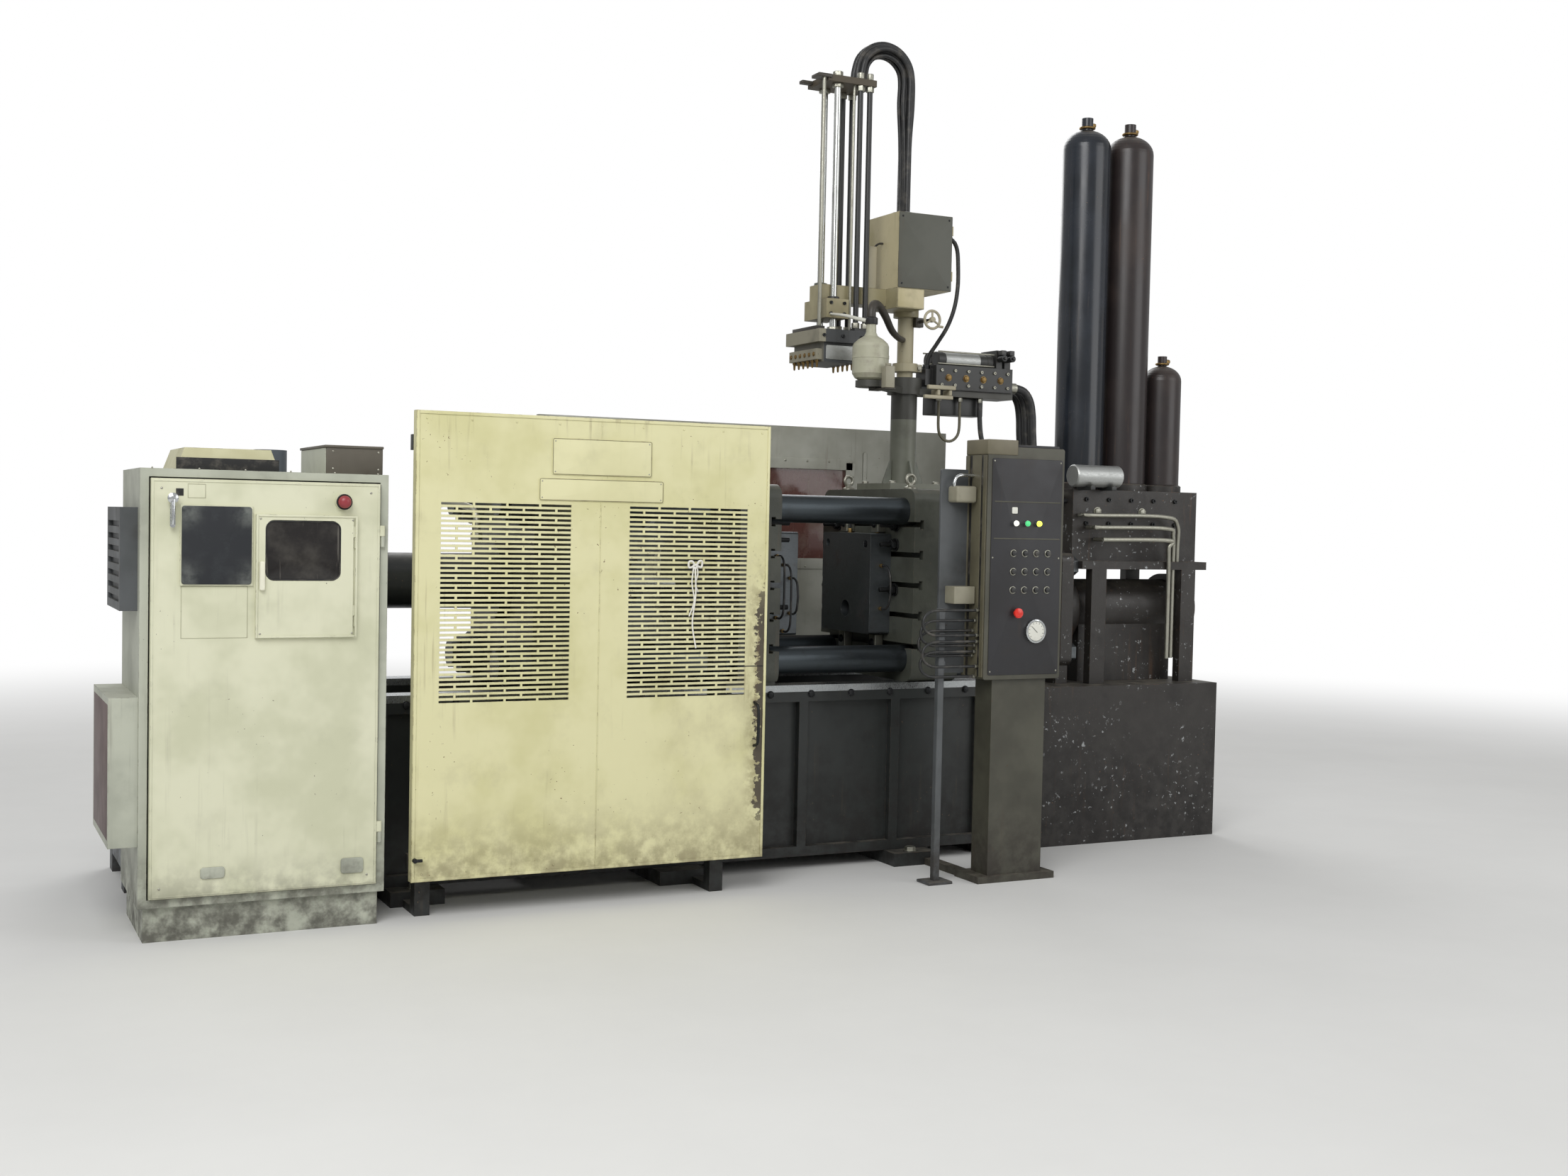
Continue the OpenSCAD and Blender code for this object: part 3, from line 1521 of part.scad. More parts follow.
module panel_stand() {
    color("#6d7064") {
        block([panel_x + 60, -panel_y + 20, 30], [panel_x + panel_w - 60, -panel_y + panel_d - 20, panel_z]);
        block([panel_x, -panel_y, 0], [panel_x + panel_w, -panel_y + panel_d + 20, 30]);
        block([panel_x + 10, -panel_y + panel_d + 20, 0], [panel_x + 60, -foot_half_l, 30]);
    }
}

bed_beam_front();
bed_beam_rear();
bed_feet();
bed_cross_members();
slide_ways();
casting_chute();
end_platen();
fixed_platen();
tie_bars();
tie_bar_nuts();
clamp_cylinder();
crosshead_guides();
fixed_die();
moving_platen();
moving_die();
crosshead();
rear_link_upper();
rear_link_lower();
front_link_upper();
front_link_lower();
short_link_upper();
short_link_lower();
door_rails();
safety_door();
door_runners();
rear_guard();
rear_guard_window();
control_cabinet();
cabinet_hood();
distribution_box();
louvre_box();
cabinet_door();
cabinet_latch();
window_flap();
oil_tank();
pump_motor();
valve_tower();
injection_base();
injection_frame();
shot_sleeve();
shot_cylinder();
plunger_rod();
accumulator_manifold();
accumulator_left();
accumulator_right();
accumulator_short();
spray_post();
spray_valve_box();
spray_guide();
spray_carriage();
lubricant_bottle();
spray_valve_stack();
hose_arch();
supply_hoses();
operator_panel();
panel_lamps();
panel_stand();
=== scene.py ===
import logging
from collections.abc import Iterable
from dataclasses import dataclass, field
from enum import Enum
from functools import lru_cache
from typing import Any, Protocol

import bmesh
import bpy
import numpy as np
from mathutils import Matrix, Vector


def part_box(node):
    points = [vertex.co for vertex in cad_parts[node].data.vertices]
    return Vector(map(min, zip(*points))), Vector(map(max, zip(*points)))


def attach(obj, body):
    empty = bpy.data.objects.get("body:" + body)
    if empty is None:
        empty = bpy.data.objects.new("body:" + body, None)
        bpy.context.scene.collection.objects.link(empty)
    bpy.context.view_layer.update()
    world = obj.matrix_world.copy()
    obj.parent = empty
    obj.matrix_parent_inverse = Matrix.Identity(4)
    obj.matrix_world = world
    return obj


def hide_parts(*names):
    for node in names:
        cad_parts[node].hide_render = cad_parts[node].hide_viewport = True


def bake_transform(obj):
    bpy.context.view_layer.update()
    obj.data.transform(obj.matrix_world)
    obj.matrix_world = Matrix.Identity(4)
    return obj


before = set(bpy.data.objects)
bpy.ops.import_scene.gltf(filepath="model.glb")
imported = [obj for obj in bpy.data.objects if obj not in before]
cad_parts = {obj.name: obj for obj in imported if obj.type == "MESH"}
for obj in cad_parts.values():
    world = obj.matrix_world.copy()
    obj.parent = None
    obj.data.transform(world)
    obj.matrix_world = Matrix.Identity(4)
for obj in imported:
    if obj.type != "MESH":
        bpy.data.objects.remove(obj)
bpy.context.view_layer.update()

LOG = logging.getLogger("die_casting_machine")

Array = np.ndarray
Vec = tuple[float, float, float]
Flat = tuple[tuple[float, float], ...]
Profile = list[tuple[float, float]]
# The left and right side, foot and top of an upright rectangle
Box = tuple[float, float, float, float]
Socket = bpy.types.NodeSocket

# Directions of the machine: X to the operator's right, Y to the rear, Z up
ORIGIN: Vec = (0.0, 0.0, 0.0)
RIGHT: Vec = (1.0, 0.0, 0.0)
LEFT: Vec = (-1.0, 0.0, 0.0)
REAR: Vec = (0.0, 1.0, 0.0)
FRONT: Vec = (0.0, -1.0, 0.0)
UP: Vec = (0.0, 0.0, 1.0)
DOWN: Vec = (0.0, 0.0, -1.0)

MM_PER_METRE = 1000.0
WELD_GAP = 2e-6
SLIVER = 1e-7
SHARP_ANGLE = 38.0
HOSE_STEPS = 40
HOSE_SIDES = 12
# How far a piece on a face reaches into that face
SUNK = 0.0005


# Colours, node trees and finishes


def linear(code: str) -> tuple[float, float, float, float]:
    """Turns an sRGB hex colour to linear light: x / 12.92 when dark, ((x + 0.055) / 1.055) ^ 2.4 above.

    Args:
        code: the colour as #rrggbb.
    Returns:
        Linear red, green, blue and an alpha of 1.
    """
    part = np.array([int(code[i:i + 2], 16) for i in (1, 3, 5)]) / 255.0
    light = np.where(part <= 0.04045, part / 12.92, ((part + 0.055) / 1.055) ** 2.4)
    return (*light.tolist(), 1.0)


def add_node(tree: bpy.types.NodeTree, kind: str, inputs: dict[str | int, Any] | None = None,
             **settings: Any) -> bpy.types.Node:
    """Adds one node with its settings and links.

    Args:
        tree: the node tree it goes into.
        kind: the node's type.
        inputs: values or sockets for its inputs, by name or number.
        settings: the node's own properties.
    Returns:
        The node.
    """
    node = tree.nodes.new(kind)
    for key, value in settings.items():
        setattr(node, key, value)
    for key, value in (inputs or {}).items():
        if isinstance(value, bpy.types.NodeSocket):
            tree.links.new(value, node.inputs[key])
        else:
            node.inputs[key].default_value = value
    return node


class Graph:
    """The node tree of one finish, built up coat by coat over a base colour."""

    NOISE_ROUGHNESS = 0.62
    EDGE_SHARES = (0.995, 0.9)
    LEVEL_SHARES = (0.6, 0.95)

    def __init__(self, name: str, colour: str, roughness: float, metal: float = 0.0) -> None:
        """Starts the tree with a plain base.

        Args:
            name: the material's name.
            colour: the base colour as sRGB hex.
            roughness: the base roughness.
            metal: 1 for bare metal, 0 for anything else.
        """
        self.material = bpy.data.materials.new(name)
        self.material.use_nodes = True
        self.tree = self.material.node_tree
        self.tree.nodes.clear()
        self.colour: Any = linear(colour)
        self.rough: Any = roughness
        self.metal: Any = metal
        self.normal: Socket | None = None
        self.place = self.add("ShaderNodeTexCoord", "Object")
        self.facing = self.add("ShaderNodeNewGeometry", "Normal")

    def add(self, kind: str, output: str | int, inputs: dict[str | int, Any] | None = None,
            **settings: Any) -> Socket:
        """Adds a node to this tree and hands back one of its outputs, chosen by name or number."""
        return add_node(self.tree, kind, inputs, **settings).outputs[output]

    def patches(self, size_mm: float, low: float, high: float, stretch: Vec = (1.0, 1.0, 1.0),
                detail: float = 4.0) -> Socket:
        """A mask of cloudy patches: noise at 1000 / size_mm cells a metre, eased between two levels.

        Args:
            size_mm: the size of one patch.
            low: the noise level where the mask leaves 0.
            high: the noise level where the mask reaches 1.
            stretch: a factor on each axis; a small one draws the patches out along it.
            detail: octaves of finer noise.
        Returns:
            The mask.
        """
        place = self.add("ShaderNodeMapping", 0, {"Vector": self.place, "Scale": stretch})
        cloud = self.add("ShaderNodeTexNoise", 0, {"Vector": place, "Scale": MM_PER_METRE / size_mm,
                                                   "Detail": detail, "Roughness": self.NOISE_ROUGHNESS})
        return self.spread(cloud, low, high, True)

    def spread(self, value: Socket, low: float, high: float, eased: bool = False) -> Socket:
        """Spreads a value to a mask that is 0 at low and 1 at high, straight or eased at both ends."""
        return self.add("ShaderNodeMapRange", 0, {"Value": value, "From Min": low, "From Max": high},
                        interpolation_type="SMOOTHSTEP" if eased else "LINEAR")

    def edges(self, radius_mm: float) -> Socket:
        """Rounds the edges' shading and masks them: 1 less the rounded normal's share along the true one.

        Args:
            radius_mm: how wide an edge is.
        Returns:
            A mask that is 1 on edges.
        """
        soft = self.add("ShaderNodeBevel", 0, {"Radius": radius_mm / MM_PER_METRE}, samples=4)
        self.normal = soft
        share = self.add("ShaderNodeVectorMath", "Value", {0: soft, 1: self.facing}, operation="DOT_PRODUCT")
        return self.spread(share, *self.EDGE_SHARES)

    def times(self, *masks: Any) -> Any:
        """The product of masks and numbers, two by two."""
        whole = masks[0]
        for mask in masks[1:]:
            whole = self.add("ShaderNodeMath", 0, {0: whole, 1: mask}, operation="MULTIPLY")
        return whole

    def most(self, a: Any, b: Any) -> Socket:
        """The larger of two masks."""
        return self.add("ShaderNodeMath", 0, {0: a, 1: b}, operation="MAXIMUM")

    def ramp(self, axis: int, start: float, end: float) -> Socket:
        """A mask that goes from 0 at start to 1 at end along one axis, in metres."""
        split = self.add("ShaderNodeSeparateXYZ", axis, {0: self.place})
        return self.spread(split, start, end, True)

    def upward(self) -> Socket:
        """A mask that is 1 on faces that look up."""
        split = self.add("ShaderNodeSeparateXYZ", 2, {0: self.facing})
        return self.spread(split, *self.LEVEL_SHARES)

    def coat(self, colour: str, roughness: float, mask: Any, metal: float | None = None) -> None:
        """Lays a coat over what is there, where the mask is 1.

        Args:
            colour: the coat's colour as sRGB hex.
            roughness: the coat's roughness.
            mask: where it lies.
            metal: the coat's metallic share, or None to keep what is there.
        """
        self.colour = self.add("ShaderNodeMix", 2, {0: mask, 6: self.colour, 7: linear(colour)},
                               data_type="RGBA")
        self.rough = self.add("ShaderNodeMix", 0, {0: mask, 2: self.rough, 3: roughness})
        if metal is not None:
            self.metal = self.add("ShaderNodeMix", 0, {0: mask, 2: self.metal, 3: metal})

    def relief(self, height: Socket, depth_mm: float, strength: float = 1.0) -> None:
        """Adds bumps of a real depth over the normal so far."""
        inputs: dict[str | int, Any] = {"Height": height, "Distance": depth_mm / MM_PER_METRE,
                                        "Strength": strength}
        if self.normal is not None:
            inputs["Normal"] = self.normal
        self.normal = self.add("ShaderNodeBump", 0, inputs)

    def shade(self, **constants: Any) -> Socket:
        """The Principled shader of everything laid so far.

        Args:
            constants: shader inputs that are the same all over, with _ for a space.
        Returns:
            The shader's output.
        """
        inputs: dict[str | int, Any] = {"Base Color": self.colour, "Roughness": self.rough,
                                        "Metallic": self.metal}
        if self.normal is not None:
            inputs["Normal"] = self.normal
        inputs.update({key.replace("_", " "): value for key, value in constants.items()})
        return self.add("ShaderNodeBsdfPrincipled", 0, inputs)

    def close(self, **constants: Any) -> bpy.types.Material:
        """Joins the tree to a Principled shader and hands the material back."""
        return self.join(self.shade(**constants))

    def join(self, shader: Socket) -> bpy.types.Material:
        """Links a shader to the material's output and hands the material back."""
        add_node(self.tree, "ShaderNodeOutputMaterial", {"Surface": shader})
        return self.material


class Finish(Protocol):
    """What any finish offers: a name, the record's slot it belongs to, and its material."""

    name: str
    slot: str

    def make(self) -> bpy.types.Material:
        """Builds the finish's material."""


@lru_cache(maxsize=None)
def material_of(finish: Finish) -> bpy.types.Material:
    """The one material of a finish, made at its first use."""
    return finish.make()


@dataclass(frozen=True)
class Enamel:
    """Air-drying machine enamel sprayed on steel or castings.

    It gives a soft sheen with a fine orange peel, chips down to primer along edges, soil in clouds,
    thin runs below joints and floor grime at the foot. Amounts go from 0 to 1.
    """

    name: str
    slot: str
    colour: str
    tone: str
    under: str = "#4a3a2e"
    grime: str = "#2c2620"
    dust_colour: str = "#8d877a"
    roughness: float = 0.42
    # The orange peel is drawn about twice as coarse as it is, so that it shows
    peel_mm: float = 4.0
    chips: float = 0.5
    soil: float = 0.4
    runs: float = 0.3
    dust: float = 0.3
    grime_top: float = 0.45
    cast_mm: float = 0.0
    splash: float = 0.0

    # Clouds: size in mm, the noise level where the mask leaves 0 and the level where it is full;
    # the streaks also have their stretch, drawn out down the part, and their detail
    TONE_CLOUD = (420.0, 0.42, 0.66)
    SOIL_CLOUD = (160.0, 0.52, 0.8)
    STREAKS = (26.0, 0.56, 0.74, (1.0, 1.0, 0.045), 3.0)
    STREAK_AREAS = (500.0, 0.45, 0.62)
    FOOT_CLOUD = (70.0, 0.28, 0.66)
    SPOT_AREAS = (300.0, 0.5, 0.6)
    FLECKS = (22.0, 0.62, 0.68)
    FLECK_AREAS = (260.0, 0.44, 0.6)
    DUST_CLOUD = (90.0, 0.3, 0.7)
    EDGE_MM = 2.5
    FLECK_COLOUR = "#b4b7b8"

    def marks(self, g: Graph) -> None:
        """Marks that belong to one place of a part; plain enamel has none."""

    def make(self) -> bpy.types.Material:
        """Builds the enamel from its base up to the dust that lies on it."""
        g = Graph(self.name, self.colour, self.roughness)
        g.coat(self.tone, self.roughness + 0.08, g.patches(*self.TONE_CLOUD))
        self.marks(g)
        g.coat(self.grime, 0.55, g.times(g.patches(*self.SOIL_CLOUD), self.soil))
        run = g.patches(*self.STREAKS)
        g.coat(self.under, 0.6, g.times(run, g.patches(*self.STREAK_AREAS), self.runs))
        foot = g.times(g.ramp(2, self.grime_top, 0.02), g.patches(*self.FOOT_CLOUD))
        g.coat(self.grime, 0.7, g.times(foot, 0.8))
        edge = g.edges(self.EDGE_MM)
        worn = g.times(edge, g.patches(38.0, 0.62 - 0.22 * self.chips, 0.72 - 0.2 * self.chips))
        spots = g.patches(14.0, 0.74 - 0.05 * self.chips, 0.76 - 0.05 * self.chips, detail=2.0)
        g.coat(self.under, 0.62, g.most(worn, g.times(spots, g.patches(*self.SPOT_AREAS))))
        if self.splash > 0.0:
            flecks = g.times(g.patches(*self.FLECKS), g.patches(*self.FLECK_AREAS))
            g.coat(self.FLECK_COLOUR, 0.45, g.times(flecks, self.splash), 0.7)
        g.coat(self.dust_colour, 0.85, g.times(g.upward(), g.patches(*self.DUST_CLOUD), self.dust))
        g.relief(g.patches(self.peel_mm, 0.3, 0.7, detail=1.0), 0.06, 0.35)
        if self.cast_mm > 0.0:
            g.relief(g.patches(self.cast_mm, 0.25, 0.75), 0.5, 0.5)
        return g.close()


@dataclass(frozen=True)
class Band:
    """A coat between two heights; side gives the X where it ends and the X where it is full."""

    low: float
    high: float
    colour: str
    roughness: float = 0.45
    metal: float = 0.0
    side: tuple[float, float] | None = None


@dataclass(frozen=True)
class BandedEnamel(Enamel):
    """Enamel of a welded part whose stretches are painted, plated or left bare; some bands carry painted
    light or shade.
    """

    bands: tuple[Band, ...] = ()
    soft: float = 0.0006

    def marks(self, g: Graph) -> None:
        """Lays every band between its two heights."""
        for band in self.bands:
            foot = g.ramp(2, band.low - self.soft, band.low)
            mask = g.times(foot, g.ramp(2, band.high + self.soft, band.high))
            if band.side is not None:
                mask = g.times(mask, g.ramp(0, *band.side))
            g.coat(band.colour, band.roughness, mask, band.metal)


@dataclass(frozen=True)
class TornEnamel(Enamel):
    """The sliding guard's enamel, sooty on the right grille and torn along the right edge at hand height."""

    edge_x: float = -0.907
    torn: tuple[float, float] = (0.3, 1.5)

    def marks(self, g: Graph) -> None:
        """Lays the soot, then a painted shade along the torn strip's border, then the brown undercoat where
        the torn strip's width beats a rough noise.
        """
        low, high = self.torn
        soot = g.times(g.ramp(0, self.edge_x - 0.62, self.edge_x - 0.2), g.ramp(2, high + 0.25, low + 0.7))
        g.coat("#a39b78", 0.6, g.times(soot, g.patches(150.0, 0.3, 0.75), 0.4))
        heat = g.times(soot, g.ramp(2, low + 0.5, low + 0.75), g.patches(20.0, 0.56, 0.72), 0.5)
        g.coat("#4a4436", 0.65, heat)
        height = g.times(g.ramp(2, high, high - 0.35), g.ramp(2, low - 0.15, low + 0.1))
        width = g.times(g.ramp(0, self.edge_x - 0.11, self.edge_x), height)
        noise = g.times(g.patches(32.0, 0.3, 0.7, (1.0, 1.0, 1.3), 6.0), 0.55)
        rough = g.add("ShaderNodeMath", 0, {0: width, 1: noise}, operation="ADD")
        tear = g.spread(rough, 0.90, 0.96)
        # A darker band beside the torn strip, darkest next to it, is painted shade along the tear's border.
        border_shade = g.times(g.ramp(0, self.edge_x - 0.12, self.edge_x - 0.03), height, g.patches(45.0, 0.36, 0.6))
        g.coat("#8d8360", 0.6, g.times(border_shade, 0.75))
        g.coat("#4d463a", 0.7, g.times(tear, height))


@dataclass(frozen=True)
class Steel:
    """Bare machined metal: turned, ground, cast or plated, with a film of oil and some stain.

    It gives a bright metal with fine lines along one axis; a rough stretch is a dull old surface.
    """

    name: str
    slot: str
    colour: str = "#b1b5b6"
    stain: str = "#5b4a3a"
    roughness: float = 0.28
    line_mm: float = 1.2
    lines: Vec = (1.0, 1.0, 1.0)
    stained: float = 0.3
    pits: float = 0.0
    edge_mm: float = 1.0

    # The tool lines are drawn this many times as coarse as they are, so that they show
    COARSER = 6.0

    def make(self) -> bpy.types.Material:
        """Builds the metal with its tool lines, stains and bright edges."""
        g = Graph(self.name, self.colour, self.roughness, 1.0)
        fine = g.patches(self.line_mm * self.COARSER, 0.3, 0.7, self.lines, 2.0)
        g.coat(self.colour, min(1.0, self.roughness + 0.22), fine)
        g.coat(self.stain, 0.5, g.times(g.patches(120.0, 0.5, 0.78), self.stained), 0.6)
        g.coat("#d8dadb", 0.25, g.times(g.edges(self.edge_mm), g.patches(40.0, 0.3, 0.6), 0.7), 1.0)
        g.relief(fine, 0.03, 0.3)
        if self.pits > 0.0:
            g.relief(g.patches(6.0, 0.3, 0.7), 0.4, self.pits)
        return g.close()


@dataclass(frozen=True)
class Moulded:
    """Moulded rubber or plastic: an even body colour with a fine grain and a little dust."""

    name: str
    slot: str
    colour: str
    roughness: float = 0.5
    # The moulding grain is drawn coarser than it is, so that it shows
    grain_mm: float = 1.5
    dust: float = 0.25
    glow: float = 0.0
    clear: float = 0.0

    def make(self) -> bpy.types.Material:
        """Builds the plastic, with its dust in clouds and its grain as relief."""
        g = Graph(self.name, self.colour, self.roughness)
        g.coat("#8b8478", 0.85, g.times(g.patches(60.0, 0.48, 0.78), self.dust))
        g.relief(g.patches(self.grain_mm, 0.3, 0.7, detail=1.0), 0.05, 0.4)
        extra: dict[str, Any] = {}
        if self.glow > 0.0:
            extra = {"Emission_Color": linear(self.colour), "Emission_Strength": self.glow}
        return g.close(IOR=1.5, Transmission_Weight=self.clear, Coat_Weight=0.2, **extra)


@dataclass(frozen=True)
class Glazing:
    """Tinted safety glass or acrylic in a guard: dark and glossy, filmed with release agent."""

    name: str
    slot: str
    colour: str
    film: float = 0.35
    clear: float = 0.0

    def make(self) -> bpy.types.Material:
        """Builds the pane with its film in clouds and thin runs."""
        g = Graph(self.name, self.colour, 0.08)
        haze = g.times(g.patches(140.0, 0.42, 0.72), self.film)
        g.coat("#9a958a", 0.5, haze)
        g.coat("#a8a398", 0.6, g.times(g.patches(18.0, 0.6, 0.7, (1.0, 1.0, 0.06)), 0.25))
        return g.close(IOR=1.5, Transmission_Weight=self.clear)


@dataclass(frozen=True)
class SmudgedPad:
    """A black rubber sheet on the cabinet door, rubbed pale by hands at its four corners."""

    name: str = "smudged_black_pad"
    slot: str = "cabinet_door_paint"
    middle: tuple[float, float] = (-3.122, 1.429)
    half: tuple[float, float] = (0.12, 0.14)

    def make(self) -> bpy.types.Material:
        """Builds the rubber; a corner is where the pad is both far out in X and far out in Z."""
        g = Graph(self.name, "#1b1e23", 0.62)
        far = []
        for axis, mid, half in ((0, self.middle[0], self.half[0]), (2, self.middle[1], self.half[1])):
            below = g.ramp(axis, mid - half * 0.2, mid - half)
            far.append(g.most(below, g.ramp(axis, mid + half * 0.2, mid + half)))
        g.coat("#7b7f7a", 0.7, g.times(*far, g.patches(70.0, 0.3, 0.72), 0.8))
        g.coat("#34383b", 0.7, g.times(g.patches(55.0, 0.5, 0.75), 0.4))
        g.relief(g.patches(3.0, 0.3, 0.7, detail=1.0), 0.05, 0.4)
        return g.close(IOR=1.5)


@dataclass(frozen=True)
class StudioFloor:
    """A matt painted studio floor that fades into the white background far from the machine."""

    name: str = "pale_studio_floor"
    slot: str = ""
    fade: tuple[float, float] = (4.8, 12.0)

    def make(self) -> bpy.types.Material:
        """Builds the floor; the fade is a ramp of the distance from the middle, seen by the camera only."""
        g = Graph(self.name, "#dcdcda", 0.7)
        g.coat("#d8d8d6", 0.75, g.patches(700.0, 0.2, 0.8))
        far = g.add("ShaderNodeVectorMath", "Value", {0: g.place}, operation="LENGTH")
        far = g.spread(far, *self.fade, True)
        seen = g.times(far, g.add("ShaderNodeLightPath", "Is Camera Ray"))
        white = g.add("ShaderNodeEmission", 0, {"Color": linear("#ffffff"), "Strength": 1.0})
        return g.join(g.add("ShaderNodeMixShader", 0, {0: seen, 1: g.shade(), 2: white}))


class Finishes:
    """Every finish of the machine, named for the real material and how it was put on; a few also carry
    painted light or shade.
    """

    guard = Enamel("cream_yellow_enamel", "guard_paint", "#d9d5a9", "#cdc998", "#6a5236", "#6b5f44",
                   chips=0.5, soil=0.16, runs=0.35, grime_top=0.5)
    torn_guard = TornEnamel("torn_cream_yellow_enamel", "guard_paint", "#d9d5a9", "#cdc998", "#6a5236",
                            "#6b5f44", chips=0.6, soil=0.16, runs=0.4, grime_top=0.5)
    plate_cream = Enamel("plain_plate_enamel", "guard_paint", "#dcd8ad", "#d4d0a3",
                         soil=0.1, chips=0.2, runs=0.1)
    plate_rim = Enamel("plate_rim_enamel", "guard_paint", "#77704e", "#6a6346", soil=0.2, chips=0.2)
    cabinet_line = Enamel("faded_olive_enamel", "cabinet_door_paint", "#b9b99f", "#adad92",
                          soil=0.2, chips=0.2)
    cabinet_grip = Enamel("pale_cream_enamel", "cabinet_door_paint", "#e6e4d0", "#dcdac4",
                          soil=0.1, chips=0.2)
    rear_guard = Enamel("pale_grey_enamel", "rear_guard_paint", "#b2b3a8", "#a1a195", "#6c5a48", soil=0.2)
    cabinet_door = Enamel("cream_olive_enamel", "cabinet_door_paint", "#d6d6bc", "#c5c6aa", "#7a7466",
                          "#4a463c", chips=0.35, soil=0.09, runs=0.2, grime_top=0.35)
    cabinet_frame = Enamel("light_grey_enamel", "cabinet_frame", "#b4b7a8", "#a3a698", soil=0.2)
    hood = Enamel("cream_enamel", "hood_paint", "#cfccaa", "#bdb994", soil=0.3)
    grey_brown = Enamel("grey_brown_enamel", "hood_paint", "#5d584e", "#4f4a41", soil=0.4)
    brown = Enamel("maroon_brown_enamel", "brown_paint", "#5d4542", "#4e3836", soil=0.4)
    grey_box = Enamel("dark_grey_enamel", "grey_box", "#55585a", "#474a4b", soil=0.4)
    dark = Enamel("oily_dark_enamel", "dark_enamel", "#2b2e2d", "#1f2221", "#5a4a3a", "#15120f",
                  roughness=0.36, soil=0.6, grime_top=0.7, dust=0.35)
    platen = Enamel("green_grey_casting_enamel", "platen_paint", "#4b4d45", "#3c3e37", "#6b5a48", "#171512",
                    roughness=0.4, soil=0.55, cast_mm=9.0, dust=0.4)
    tank = Enamel("blue_grey_enamel", "tank_paint", "#5a6167", "#4a5157", soil=0.5)
    motor = Enamel("motor_cream_enamel", "motor_paint", "#c9c7a6", "#b2af8d", soil=0.45, cast_mm=7.0)
    injection = Enamel("splashed_dark_enamel", "injection_paint", "#302d2a", "#231f1c", "#6a4c33", "#120f0d",
                       roughness=0.4, soil=0.6, splash=0.75, grime_top=0.9, dust=0.45, cast_mm=12.0)
    bottle_blue = Enamel("blue_black_gloss_enamel", "bottle_blue", "#1d2127", "#262b33", "#5b4f44",
                         roughness=0.2, peel_mm=8.0, chips=0.3, soil=0.2, dust=0.4)
    bottle_brown = Enamel("brown_black_enamel", "bottle_brown", "#2a2424", "#352c29", "#6a4c38",
                          roughness=0.3, peel_mm=8.0, chips=0.4, soil=0.3, runs=0.5)
    spray_grey = Enamel("grey_green_enamel", "spray_grey", "#6b6e63", "#595c52", "#3b3028", soil=0.5)
    spray_box = Enamel("tan_enamel", "spray_box_paint", "#b8ae8b", "#a0966f", "#4a3b2c", "#3d352a",
                       soil=0.35, chips=0.8, dust=0.4)
    panel = Enamel("olive_grey_enamel", "panel_paint", "#4c4b40", "#3f3e34", soil=0.45)
    # Painted shade: the cap's tan is darkened to the shade it stands in.
    panel_tan_painted_shade = Enamel("shaded_panel_tan_enamel", "panel_paint", "#6f6956", "#605b49", soil=0.35)
    panel_olive = Enamel("panel_olive_enamel", "panel_paint", "#605c4a", "#524e3f", soil=0.45, runs=0.5)
    panel_dark = Enamel("dark_panel_enamel", "panel_paint", "#27272a", "#222123", soil=0.3, chips=0.2)
    # Painted shade: the valve box's front face is in shade, and this dark grey lid stands for that shade on
    # the tan box.
    spray_box_painted_shade = Enamel("painted_shade_lid_enamel", "spray_box_paint", "#4a4b42", "#43443c", soil=0.25, chips=0.4)
    # The first band is the dark collar at the top of the lower post and, below it down to 2.06 m, painted
    # shadow on the post.
    post = BandedEnamel("spray_post_enamel", "spray_grey", "#6a6c60", "#5b5d52", "#3b3028", soil=0.4, bands=(
        Band(2.06, 2.2625, "#3f3f3a"), Band(2.2625, 2.60, "#a19a80", 0.5)))
    arm_tan = Enamel("chipped_tan_enamel", "spray_grey", "#9c9474", "#857d60", "#3a3027",
                     soil=0.45, chips=1.0)
    # The last band, pale on the head's left end, is a painted highlight of its lit left face.
    carriage = BandedEnamel("spray_head_enamel", "spray_grey", "#46484a", "#393b3c", "#2c2622",
                            soil=0.4, chips=0.3, bands=(
        Band(2.451, 3.599, "#2b2c2c", 0.4), Band(2.451, 3.599, "#c9cbc8", 0.14, 1.0, (-0.199, -0.201)),
        Band(3.5995, 3.64, "#4b4336", 0.55), Band(2.29, 2.4505, "#8a8675", 0.6, 0.0, (-0.333, -0.337))))
    spray_dark = Enamel("dark_brown_enamel", "spray_grey", "#3c3831", "#2f2c27", soil=0.4, chips=0.5)
    spray_pale = Enamel("pale_tan_enamel", "spray_grey", "#a7a089", "#958e78", "#3a3027",
                        soil=0.35, chips=0.6)
    filter_cream = Enamel("filter_cream_enamel", "spray_grey", "#938f7d", "#827e6d", soil=0.3, chips=0.3)
    stack_black = Enamel("black_hydraulic_enamel", "grey_box", "#232424", "#2d2e2d", "#4a443c",
                         roughness=0.34, soil=0.5, dust=0.6, dust_colour="#a7a8a2")
    ground = Steel("hard_chromed_ground_steel", "ground_steel", "#b4b8b9", roughness=0.2,
                   lines=(8.0, 1.0, 1.0))
    tie_bar = Steel("oiled_tie_bar_steel", "ground_steel", "#50565a", "#2b2724", 0.3,
                    lines=(8.0, 1.0, 1.0), stained=0.5)
    link = Steel("oiled_machined_casting", "link_steel", "#6a6e70", "#2e241c", 0.42, 3.0,
                 stained=0.55, pits=0.4)
    die = Steel("heat_stained_die_steel", "die_steel", "#74797c", "#4b3b33", 0.38, 2.0, (1.0, 1.0, 6.0), 0.6)
    chrome = Steel("chrome_plate", "chrome", "#cfd2d3", roughness=0.1, stained=0.1, edge_mm=0.4)
    zinc = Steel("zinc_plated_steel", "ground_steel", "#a8a79b", roughness=0.34, stained=0.35, edge_mm=0.5)
